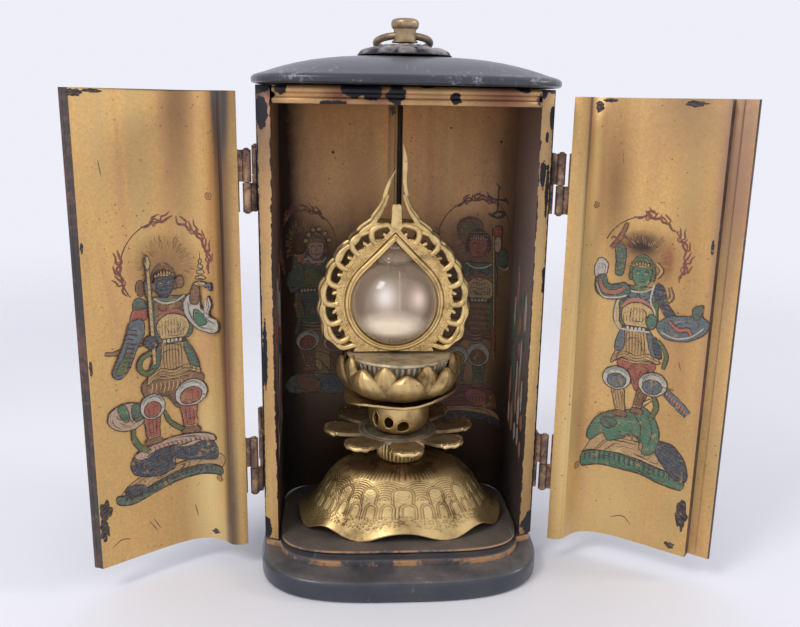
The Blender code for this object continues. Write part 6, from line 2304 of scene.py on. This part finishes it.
@dataclass
class Stem:
    """Ribbed collar, petal disc, pierced bowl and wavy leaf cup."""

    finish: Finishes
    centre: Flat = (0.8, 0.0)
    collar_radius: float = 7.4
    disc_low: float = 37.4
    disc_high: float = 38.4
    disc_radius: float = 11.3
    petal_reach: float = 22.7
    petal_half: float = 4.8
    petal_rise: float = 1.4
    turned_right: float = 4.0     # degrees
    bowl_top: float = 47.8

    def collar(self) -> None:
        """Waisted collar with upright ribs."""
        low, high = 29.57, self.disc_low - GAP
        profile = ((5.0, low), (6.5, low), (6.8, low + 0.5), (6.6, low + 1.2), (6.6, 35.2), (6.2, 36.2),
                   (5.9, high), (4.0, high))
        core = Solid().turned(profile, 72, self.centre).item("core", self.finish.shaded)
        path = [(-0.2, 0, low + 0.3), (0.05, 0, low + 0.9), (0.1, 0, 33.0), (-0.1, 0, 34.8), (-0.7, 0, 36.2)]
        ribs = ribs_round("ribs", path, (0.35, 0.5, 0.5, 0.46, 0.25), 36, self.collar_radius - 0.55,
                          self.finish.brass, (*self.centre, 0.0))
        settle(merged("reliquary_ribbed_collar", [core, ribs]), "cabinet", "gilt_brass", "ribbed_collar")

    def petal_disc(self) -> None:
        """Flat disc with eight petals whose down-turned tips carry beads."""
        outline: list[Flat] = []
        tips: list[list[Spot]] = []
        half, root = self.petal_half, math.pi / 8 * 0.72
        for petal in range(8):
            heading = math.tau * petal / 8 + math.radians(self.turned_right)
            turn = Matrix.Rotation(heading, 2)
            side = [(self.disc_radius * math.cos(root), -self.disc_radius * math.sin(root)), (14.2, -4.3),
                    (self.petal_reach - half - 0.4, -half)]
            tip = [(self.petal_reach - half + half * math.cos(a), half * math.sin(a))
                   for a in (math.radians(lerp(-80, 80, step / 14)) for step in range(15))]
            petal_line = side + tip + [(x, -y) for x, y in reversed(side)]
            outline += [tuple(turn @ Vector(point)) for point in petal_line]
            tips.append([(*(turn @ Vector((x - 0.55, y * 0.93))), 37.95 + self.raised(x - 0.55, y))
                         for x, y in tip[1:-1]])
        plan = Solid()
        for number in range(8):
            turn = Matrix.Rotation(math.tau * number / 8 + math.radians(self.turned_right), 2)
            line = outline[number * len(outline) // 8:(number + 1) * len(outline) // 8]
            rows = []
            for step in range(29):
                share = step / 28
                left = at_share(line[:len(line) // 2 + 1], share)
                right = at_share(line[:len(line) // 2 - 1:-1], share)
                row = []
                for place in range(9):
                    x, y = lerp(left[0], right[0], place / 8), lerp(left[1], right[1], place / 8)
                    dish = 0.16 * abs(place / 4 - 1) ** 2 * share
                    uneven = 0.05 * wobble(x, y, 1.6, number)
                    row.append((x, y, self.disc_high + self.raised(x, y) + dish + uneven))
                rows.append(row + [(x, y, self.disc_low + self.raised(x, y)) for x, y, _ in row[::-1]])
            plan.skin(rows)
        disc = plan.item("disc", self.finish.petal)
        profile = ((6.0, 37.45), (6.0, 38.5), (6.4, 38.62), (9.2, 38.5), (9.5, 38.72), (10.0, 38.8),
                   (10.4, 38.7), (10.6, 38.5), (11.0, 38.75), (11.6, 38.78), (12.0, 38.5), (12.0, 37.6),
                   (11.6, 37.45))
        dish = Solid().turned(profile, 120, (-0.4, 0.0)).item("dish", self.finish.disc)
        band = Solid()
        for number, tip in enumerate(tips):
            ends = [0.55 if place in (0, len(tip) - 1) else 1.0 for place in range(len(tip))]
            radii = [0.72 * (1.0 + 0.22 * wobble(place * 1.7, number, 1.0)) * end
                     for place, end in enumerate(ends)]
            band.tube([(x, y, z - 0.35 - 0.18 * math.sin(place * 1.9))
                       for place, (x, y, z) in enumerate(tip)], radii, 10)
        rims = band.item("rims", self.finish.flame)
        beads = beads_along("beads", tips, 1.5, (0.62, 0.62, 0.62), self.finish.flame)
        settle(merged("reliquary_petal_disc", [disc, dish, rims, beads]), "cabinet", "gilt_brass",
               "petal_disc")

    def raised(self, x: float, y: float) -> float:
        """How much the petals have risen at a place."""
        reach = self.petal_reach - self.disc_radius
        return self.petal_rise * max(0.0, (math.hypot(x, y) - self.disc_radius) / reach)

    def bowl(self) -> None:
        """Hollow bowl with pierced holes that have raised rims."""
        low = self.disc_high + GAP
        outer = smooth(((6.0, low), (7.5, low + 0.9), (8.6, low + 2.4), (9.15, low + 4.2), (9.2, low + 5.8),
                        (9.05, low + 7.4), (8.9, self.bowl_top - GAP)), steps=5)
        inner = [(radius - 0.8, max(z, low + 0.8)) for radius, z in reversed(outer)]
        bowl = Solid().turned(outer + inner, 96).item("bowl", self.finish.brass)
        rims = Solid()
        cutter = Solid()
        for heading, height, wide, tall in ((-140, 4.9, 1.15, 2.3), (-112, 4.7, 1.5, 1.9),
                                            (-85, 3.6, 1.75, 1.9), (40, 4.4, 1.5, 1.9), (68, 4.4, 1.5, 1.9),
                                            (95, 4.4, 1.5, 1.9)):
            angle = math.radians(heading)
            ahead = Vector((math.cos(angle), math.sin(angle), 0.0))
            side = Vector((-math.sin(angle), math.cos(angle), 0.0))
            rows = []
            torn = [1.0 + 0.16 * wobble(math.cos(math.tau * step / 32) * 2,
                                        math.sin(math.tau * step / 32) * 2, 1.3, heading)
                    for step in range(32)]
            for depth in (5.0, 11.0):
                rows.append([tuple(ahead * depth + side * wide * torn[step] * math.cos(math.tau * step / 32)
                                   + Vector((0, 0, low + height
                                             + tall * torn[step] * math.sin(math.tau * step / 32))))
                             for step in range(32)])
            cutter.skin(rows)
            edge = []
            for step in range(32):
                a = math.tau * step / 32
                z = height + (tall * torn[step] + 0.15) * math.sin(a)
                across = (wide * torn[step] + 0.15) * math.cos(a)
                reach = self.radius_at(outer, low + z) + 0.05
                edge.append(tuple(ahead * math.sqrt(reach ** 2 - across ** 2) + side * across
                                  + Vector((0, 0, low + z))))
            rims.tube(edge, 0.27, 8, loop=True)
        bowl = cut_away(bowl, cutter.item("cutter", self.finish.brass))
        rims_item = rims.item("rims", self.finish.brass)
        settle(merged("reliquary_pierced_bowl", [bowl, rims_item]), "cabinet", "gilt_brass", "pierced_bowl")

    def radius_at(self, profile: Sequence[Flat], height: float) -> float:
        """Radius of a profile at a height."""
        for (low_r, low_z), (high_r, high_z) in zip(profile, profile[1:]):
            if low_z <= height <= high_z:
                return lerp(low_r, high_r, (height - low_z) / (high_z - low_z))
        return profile[-1][0]

    def leaf_cup(self) -> None:
        """Thin leaf with a wavy rim and shallow veins."""
        levels = smooth(((7.4, 0.0), (8.8, 0.08), (10.5, 0.3), (12.3, 0.85), (14.0, 1.6), (15.6, 2.5),
                         (17.0, 3.4)),
                        steps=5)
        rows = []
        for lift, places in ((0.0, levels), (0.6, levels[::-1])):
            for radius, rise in places:
                wave = (max(0.0, radius - 9.5) / 7.5) ** 2
                ring = []
                for step in range(180):
                    angle = math.tau * step / 180
                    vein = 0.1 * abs(math.sin(12 * angle)) ** 0.7 * min(1.0, (radius - 7.4) / 3)
                    reach = radius * (1.0 + 0.03 * wave * math.cos(5 * angle))
                    droop = 0.9 * math.exp(-(math.remainder(angle - math.pi, math.tau) / 0.5) ** 2)
                    sway = 1.1 * math.cos(angle) + 0.3 * math.cos(5 * angle + 4.6) - 0.4 - droop
                    level = self.bowl_top + rise + lift + wave * sway
                    ring.append((reach * math.cos(angle), reach * math.sin(angle), level + vein))
                rows.append(ring)
        settle(Solid().skin(rows).item("reliquary_leaf_cup", self.finish.brass), "cabinet", "gilt_brass",
               "leaf_cup")

    def build(self) -> None:
        """Make the four pieces."""
        self.collar()
        self.petal_disc()
        self.bowl()
        self.leaf_cup()


@dataclass
class Lotus:
    """Two tiers of lotus petals round a ribbed seed pod."""

    finish: Finishes
    low: float = 50.2
    turned_right: float = 4.0     # degrees

    def petal(self, heading: float, half: float, out: float, tip: float, seed: float) -> Solid:
        """One hollowed petal with a point.

        Args:
            heading: Direction that it faces, in degrees.
            half: Half of its greatest width.
            out: How far it stands proud of the cup.
            tip: Height of its point above the cup's bottom.
            seed: Makes each petal a little different.

        Returns:
            The petal.
        """
        spine = smooth(((8.0, 0.0), (11.2, 1.0), (14.3, 3.0), (16.5, 5.8), (17.5, tip * 0.78), (17.6, tip)),
                       steps=7)
        rows, hollow = [], []
        count = 18
        for place, (radius, rise) in enumerate(spine):
            v = place / (len(spine) - 1)
            width = half * (0.56 + 0.44 * math.sin(math.pi * min(1.0, 0.12 + v * 0.80)) ** 0.7)
            width *= max(0.0, 1.0 - max(0.0, (v - 0.36) / 0.64) ** 1.9) ** 0.72
            width = max(0.1, width * (1.0 + 0.05 * wobble(v * 4, seed, 1.0)))
            outer, inner, depth = [], [], []
            for step in range(count + 1):
                u = step / count * 2 - 1
                angle = math.radians(heading) + u * width / radius
                bulge = 1.5 * math.sin(math.pi * min(1.0, 0.15 + v * 0.85)) ** 0.8
                cup = bulge * (1 - abs(u) ** 2.2) - 0.55 * abs(u) ** 3 * v - 0.7 * max(0.0, v - 0.8) / 0.2
                veins = 0.09 * math.cos(u * 16) * (1 - u * u) * min(1.0, 3 * (1 - v))
                cup += veins + 0.12 * wobble(u * 3, v * 4 + seed, 1.0)
                reach = radius + out + cup
                level = self.low + rise
                outer.append((reach * math.cos(angle), reach * math.sin(angle), level))
                inner.append(((reach - 0.55) * math.cos(angle), (reach - 0.55) * math.sin(angle),
                              level + 0.05))
                edge = abs(u) ** 6 * 0.4 + 0.7 * max(0.0, 0.3 - v) * 3
                vein = 0.14 * (0.5 - 0.5 * math.cos(u * 16)) * (1 - u * u)
                depth.append(min(1.0, edge + vein + (0.2 if out < 0.0 else 0.0)))
            rows.append(outer + inner[::-1])
            hollow += depth + [0.7] * (count + 1)
        return Solid().skin(rows, hollow=hollow)

    def petals(self) -> None:
        """Eight wide outer petals, eight more between them and the cup they grow from."""
        petals = Solid()
        for number in range(8):
            for shift, half, out, tip in ((22.5, 6.2, -0.8, 12.5), (0.0, 7.5, 0.35, 10.5)):
                heading = -90 + 45 * number + shift + self.turned_right
                flank = abs(math.cos(math.radians(heading))) ** 2
                part = self.petal(heading, half, out + 0.35 * flank,
                                  tip + 1.3 * flank + 0.4 * wobble(number, shift, 0.7), number)
                petals.add(part.points, part.faces, part.tags, part.hollow)
        cup = smooth(((7.5, 0.0), (11.0, 1.5), (14.0, 3.8), (15.6, 6.4), (15.9, 8.4)), steps=4)
        rows = [[(*spot, self.low + z) for spot in circle(r, 96)] for r, z in cup]
        rows += [[(x * 0.955, y * 0.955, max(z, self.low + 1.0)) for x, y, z in row] for row in rows[::-1]]
        petals.skin(rows, hollow=[0.85] * (96 * len(rows)))
        item = petals.item("reliquary_lotus_petals", self.finish.brass)
        settle(item, "cabinet", "gilt_brass", "lotus_cup")

    def pod(self) -> None:
        """Seed pod with a flat top and a ribbed band under its rim."""
        profile = ((6.0, self.low + 1.6), (9.9, self.low + 3.0), (13.0, self.low + 5.6),
                   (14.2, self.low + 8.2), (14.55, 61.2), (14.9, 62.0), (15.5, 62.2), (15.8, 62.5),
                   (15.8, 62.85), (15.55, 63.15), (15.1, 63.24), (13.9, 63.05), (6.0, 63.0), (2.0, 63.0))
        core = Solid().turned(profile, 120)
        core.hollow = [0.38 if z < 62.1 and math.hypot(x, y) > 9.0 else 0.0 for x, y, z in core.points]
        core = core.item("core", self.finish.pod)
        path = [(-1.35, 0, 57.6), (-0.62, 0, 58.8), (-0.2, 0, 60.4), (0.2, 0, 61.9), (0.35, 0, 62.2)]
        ribs = ribs_round("pod_ribs", path, (0.3, 0.46, 0.48, 0.46, 0.3), 56, 14.8, self.finish.pod)
        settle(merged("reliquary_seed_pod", [core, ribs]), "cabinet", "pod_metal", "seed_pod")

    def build(self) -> None:
        """Make the lotus and its pod."""
        self.petals()
        self.pod()


@dataclass
class Jewel:
    """Crystal jewel in its bezel, the two flame plates and what is sealed inside."""

    finish: Finishes
    x: float = -1.9
    z: float = 78.3
    crystal_radius: float = 12.9
    depth: float = 0.9
    seam: float = 90.2
    point: float = 18.5
    bezel_inner: float = 13.2
    bezel_outer: float = 14.5
    bezel_half: float = 3.2
    edge_radius: float = 14.9     # the bezel with its bead
    pitch: float = 18.1           # degrees from one flame opening to the next

    def loop(self, radius: float, point: float) -> list[Flat]:
        """Outline of the jewel: a circle with straight shoulders up to a point."""
        result = []
        shoulder = math.acos(radius / point)
        for step in range(160):
            angle = math.tau * step / 160 + math.pi / 2
            away = abs(math.remainder(angle - math.pi / 2, math.tau))
            reach = radius / math.cos(max(0.0, shoulder - away))
            result.append((reach * math.cos(angle), reach * math.sin(angle)))
        return result

    def standing(self, point: Spot) -> Spot:
        """Stand a point up that was drawn flat, facing the front, about the jewel's centre."""
        x, y, z = point
        return self.x + x, -z, self.z + y

    def bezel(self) -> None:
        """Band round the crystal with a plump bead and a fine inner line on both faces."""
        outer = self.loop(self.bezel_outer - 0.2, self.point + 2.0)
        inner = self.loop(self.bezel_inner, self.point + 0.6)
        band = Solid().slab([outer, inner], -self.bezel_half + 0.55, self.bezel_half - 0.55)
        band = band.moved(self.standing)
        for face in (1, -1):
            for radius, point, thick, level in ((13.9, 0.9, 0.6, self.bezel_half - 0.6),
                                                (13.1, 0.2, 0.28, self.bezel_half - 0.4)):
                path = [self.standing((x, y, face * level))
                        for x, y in self.loop(radius, self.point + point)]
                band.tube(path, thick, 10, loop=True)
        settle(band.item("reliquary_bezel", self.finish.flame), "cabinet", "gilt_brass", "jewel_bezel")

    def rim(self, inset: float) -> list[Flat]:
        """Right half of the mandorla's edge, scalloped over each opening, up to where the strands part."""
        half = ((9.4, -14.4), (13.4, -15.0), (16.8, -14.4), (19.9, -12.2), (21.6, -8.8), (22.5, -4.4),
                (22.7, 0.4), (22.0, 5.0), (20.3, 9.4), (18.0, 13.3), (15.2, 16.8), (11.9, 20.2), (9.0, 23.1),
                (6.5, 26.0), (4.7, 28.9), (3.6, 32.0))
        curve = smooth(half, steps=8)
        result = []
        for place, (x, y) in enumerate(curve):
            along = direction(curve, place).normalized()
            angle = math.degrees(math.atan2(y, x))
            swell = 0.36 * math.cos(math.tau * (angle - 83.0) / self.pitch) * (1.0 if angle < 74 else 0.0)
            result.append((x - along.y * (inset - swell), y + along.x * (inset - swell)))
        return result

    def polar(self, angle: float, radius: float, side: int) -> Flat:
        """Point at an angle and radius from the jewel's centre, on the right or mirrored to the left."""
        return side * radius * math.cos(math.radians(angle)), radius * math.sin(math.radians(angle))

    def bezel_edge(self, angle: float) -> float:
        """Radius of the bezel's outer edge at an angle."""
        away = abs(math.remainder(math.radians(angle) - math.pi / 2, math.tau))
        shoulder = math.acos(self.edge_radius / (self.point + 2.9))
        return self.edge_radius / math.cos(max(0.0, shoulder - away))

    def band(self, angle: float) -> float:
        """Radius of the granulated band's outer edge at an angle."""
        return max(17.3 + 2.3 * max(0.0, math.sin(math.radians(angle))) ** 3, self.bezel_edge(angle) + 1.3)

    def rod(self, solid: Solid, line: Sequence[Flat], angle: float, side: int,
            depth: Callable[[float], float], thick: Callable[[float], float], steps: int,
            flat: float) -> None:
        """Flattened rod through a few (turn, radius) points about an angle of the plate.

        Args:
            solid: Where it goes.
            line: Its points, each a turn from the angle and a radius.
            angle: The angle, in degrees.
            side: 1 on the right, -1 on the left.
            depth: How far in front it lies at a share of its length.
            thick: Its radius at a share of its length.
            steps: Steps between two points.
            flat: How flat it is.
        """
        points = smooth([self.polar(angle + turn, radius, side) for turn, radius in line], steps=steps)
        path = [self.standing((x, y, depth(place / len(points)))) for place, (x, y) in enumerate(points)]
        solid.tube(path, [thick(place / len(path)) for place in range(len(path))], 10, flat=flat)

    def strands(self, edge: Solid, solid: Solid, level: float, inset: float, face: int) -> None:
        """Outer strands, the tongues that sweep from the band into them and a bud inside each opening.

        Args:
            edge: Where the outer strands go.
            solid: Where the tongues and buds go.
            level: How far in front of the jewel's middle they lie.
            inset: How much smaller the edge is than the larger plate's.
            face: 1 for the front plate, -1 for the back.
        """
        for side in (1, -1):
            for line_inset, thick, lift in ((0.8 + inset, 0.78, 0.0), (0.55 + inset, 0.26, 0.62)):
                path = [self.standing((side * x, y, level + face * lift)) for x, y in self.rim(line_inset)]
                radii = [thick * min(1.0, 0.35 + (len(path) - place) / 26) for place in range(len(path))]
                edge.tube(path, radii, 10, flat=0.75)
            for number in range(-1, 7):
                angle = 80.0 - self.pitch * number
                mean = 20.0 - inset + 2.3 * max(0.0, math.sin(math.radians(angle))) ** 3
                low = self.band(angle - 9)
                tongue = [(-7.6, low - 0.9), (-9.2, low + 0.1), (-9.3, lerp(low, mean, 0.7)),
                          (-7.6, mean + 0.75), (-3.6, mean + 1.4), (1.6, mean + 1.55), (6.6, mean + 1.35),
                          (9.6, mean + 1.0)]
                if number >= 0:
                    self.rod(solid, tongue, angle, side,
                             lambda share: level + face * lerp(0.35, -0.1, share),
                             lambda share: 0.92 * math.sin(math.pi * lerp(0.3, 0.86, share)), 6, 0.85)
                    low = self.band(angle)
                    bud = [(2.6, low - 0.6), (2.2, low + 0.1), (1.2, low + 0.7), (0.2, low + 0.9)]
                    self.rod(solid, bud, angle, side, lambda share: level,
                             lambda share: lerp(0.62, 0.42, share), 5, 0.8)
            ends = ((0.9, 21.6), (2.3, 23.0), (4.4, 23.0), (6.6, 23.4), (5.2, 25.4), (3.5, 27.8),
                    (2.6, 30.6))
            path = [self.standing((side * x, y, level)) for x, y in smooth(ends, steps=6)]
            edge.tube(path, [lerp(0.7, 0.42, place / len(path)) for place in range(len(path))], 10, flat=0.8)

    def plate(self, name: str, depth: float, inset: float, node: str) -> None:
        """One flame plate: a granulated band, open tongues round it and two rising strands.

        Args:
            name: Name of the piece.
            depth: How far the plate stands in front of the jewel's middle.
            inset: How much smaller its edge is.
            node: The CAD node that it stands for.
        """
        face = 1 if depth > 0 else -1
        metal = self.finish.flame if depth > 0 else self.finish.shaded
        around = self.loop(self.bezel_outer + GAP / 2, self.point + 2.2 + GAP)
        outline = []
        for step in range(240):
            angle = -90.0 + 360.0 * step / 240
            mirrored = angle if angle <= 90 else 180 - angle
            if mirrored < -50:
                x, y = self.polar(angle, 14.75 / max(0.1, -math.sin(math.radians(mirrored))), 1)
            else:
                scallop = 0.3 * math.cos(math.tau * (mirrored - 71.0) / self.pitch)
                x, y = self.polar(angle, self.band(mirrored) + scallop, 1)
            outline.append((x, y))
        sheet = Solid().slab([outline, around], depth - 0.45, depth + 0.45).moved(self.standing)
        plate = bevelled(sheet.item("sheet", metal), 0.12)
        lines, edge = Solid(), Solid()
        self.strands(edge, lines, depth, inset, face)
        if face > 0:
            tip = ((-3.3, 31.0), (-2.4, 34.0), (-1.2, 36.8), (-0.15, 38.5))
            widths = (0.7, 0.6, 0.4, 0.12)
        else:
            tip = ((3.3, 31.0), (2.7, 35.0), (2.75, 39.5), (2.6, 43.0), (2.1, 45.5))
            widths = (0.7, 0.7, 0.85, 0.62, 0.12)
        path = [self.standing((x, y, depth)) for x, y in smooth(tip, steps=6)]
        radii = [w[0] for w in smooth([(w, 0.0) for w in widths], steps=6)]
        edge.tube(path, radii, 10, flat=0.62)
        ground = Solid()
        rows = []
        for share in (0.0, 1.0):
            ring = []
            for step in range(160):
                angle = 360.0 * step / 160 + 90.0
                mirrored = math.degrees(math.asin(math.sin(math.radians(angle))))
                inner = self.bezel_edge(mirrored)
                x, y = self.polar(angle, lerp(inner, self.band(mirrored) - 0.2, share), 1)
                ring.append(self.standing((x, max(y, -14.3), depth + face * 0.46)))
            rows.append(ring)
        ground.skin(rows, caps=False)
        host = ground.item("ground", metal)
        grains = grains_on(f"{name}_grains", host.data, 0.56, 0.31, metal, 3)
        bpy.data.objects.remove(host, do_unlink=True)
        piece = merged(name, [plate, lines.item("lines", metal), edge.item("edge", self.finish.flame),
                              grains])
        settle(piece, "cabinet", "gilt_brass", node)

    def tab(self) -> None:
        """Small bright tab over the jewel's point."""
        outline = smooth([(-1.5, 22.7), (-0.8, 22.2), (0.0, 22.05), (0.8, 22.2), (1.5, 22.7), (1.38, 25.5),
                          (1.2, 28.7), (0.0, 28.95), (-1.2, 28.7), (-1.38, 25.5)], True, 3)
        tab = Solid().slab([[(x + 0.2, y) for x, y in outline]], 2.65, 3.65).moved(self.standing)
        settle(bevelled(tab.item("reliquary_flame_tab", self.finish.flame), 0.25, 3), "cabinet",
               "gilt_brass", "flame_tab")

    def crystal(self) -> None:
        """Clear jewel and its separate cap."""
        top = math.asin((self.seam - self.z) / self.crystal_radius * 0.985)
        start = -math.pi / 2 * 0.985
        ball = [(self.crystal_radius * math.cos(a), self.z + self.crystal_radius * math.sin(a))
                for a in (lerp(start, top, step / 60) for step in range(61))]
        rim_r, rim_z = ball[-1]
        ball += [(rim_r - 0.25, rim_z + 0.05), (rim_r * 0.5, rim_z + 0.05), (0.3, rim_z + 0.05)]
        cap = [(0.3, self.seam + 0.12), (rim_r * 0.6, self.seam + 0.12)]
        cap += smooth(((rim_r + 0.05, self.seam + 0.15), (rim_r - 0.35, self.seam + 0.7), (4.8, 91.9),
                       (2.4, 93.6), (0.9, 95.0), (0.25, 95.6)), steps=6)
        for name, profile, node in (("reliquary_crystal", ball, "crystal_jewel"),
                                    ("reliquary_crystal_cap", cap, "crystal_cap")):
            solid = Solid().turned(profile, 128)
            solid.moved(lambda point: (self.x + point[0], point[1] * self.depth, point[2]))
            settle(solid.item(name, self.finish.crystal), "cabinet", "rock_crystal", node)

    def relics(self) -> None:
        """Heap of pale grains in the lower half, a fine upright stem and the milky haze round them, which
        gives off painted light.
        """
        rows = []
        for level in range(17):
            turn = -math.pi / 2 + math.pi * (level + 0.5) / 17
            ring = []
            for step in range(48):
                angle = math.tau * step / 48
                x, y = 6.4 * math.cos(turn) * math.cos(angle), 5.6 * math.cos(turn) * math.sin(angle)
                rise = 3.4 if turn > 0 else 3.0
                lump = 1.0 + 0.12 * wobble(x, y + turn * 3, 2.6, 5.0)
                ring.append((self.x + x * lump, y * lump, 72.3 + rise * math.sin(turn) * lump))
            rows.append(ring)
        heap = Solid().skin(rows).item("heap", self.finish.relic)
        grains = grains_on("grains", heap.data, 0.75, 0.5, self.finish.relic, 8, 2)
        stem = Solid().tube([(self.x + 1.1, -3.0, 76.0), (self.x + 1.1, -3.0, 86.8)], 0.17, 8)
        stem = stem.item("stem", self.finish.relic)
        settle(merged("reliquary_relics", [heap, grains, stem]), "cabinet", "rock_crystal")
        top = math.asin((self.seam - self.z) / self.crystal_radius * 0.94)
        profile = [(12.1 * math.cos(a), self.z + 12.1 * math.sin(a))
                   for a in (lerp(-math.pi / 2 * 0.97, top, step / 40) for step in range(41))]
        haze = Solid().turned(profile, 96)
        haze.turned(((0.3, 90.65), (4.2, 90.65), (4.0, 91.6), (2.0, 93.2), (0.3, 94.6)), 64)
        haze.moved(lambda point: (self.x + point[0], point[1] * self.depth * 0.98, point[2]))
        # the haze gives off painted light and carries painted highlights
        settle(haze.item("reliquary_crystal_haze", self.finish.haze), "cabinet", "rock_crystal")

    def build(self) -> None:
        """Make the jewel and all round it."""
        self.bezel()
        self.plate("reliquary_flame_front", 1.9, 0.7, "flame_plate_front")
        self.plate("reliquary_flame_back", -1.9, 0.0, "flame_plate_back")
        self.tab()
        self.crystal()
        self.relics()


# ---------------------------------------------------------------- the whole

def main() -> None:
    """Build the shrine round the frame."""
    logging.basicConfig(level=logging.INFO, format="%(name)s: %(message)s")
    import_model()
    Studio().build()
    finish = Finishes()
    Cabinet(finish).build()
    inner = InnerFace()
    for wing in Wing:
        door = Door(wing, finish, gilding(wing, inner), inner)
        door.build()
        decorate(door)
    paint_side_panels()
    Finial(finish).build()
    Foot(finish).build()
    Stem(finish).build()
    Lotus(finish).build()
    Jewel(finish).build()


if __name__ == "__main__":
    main()
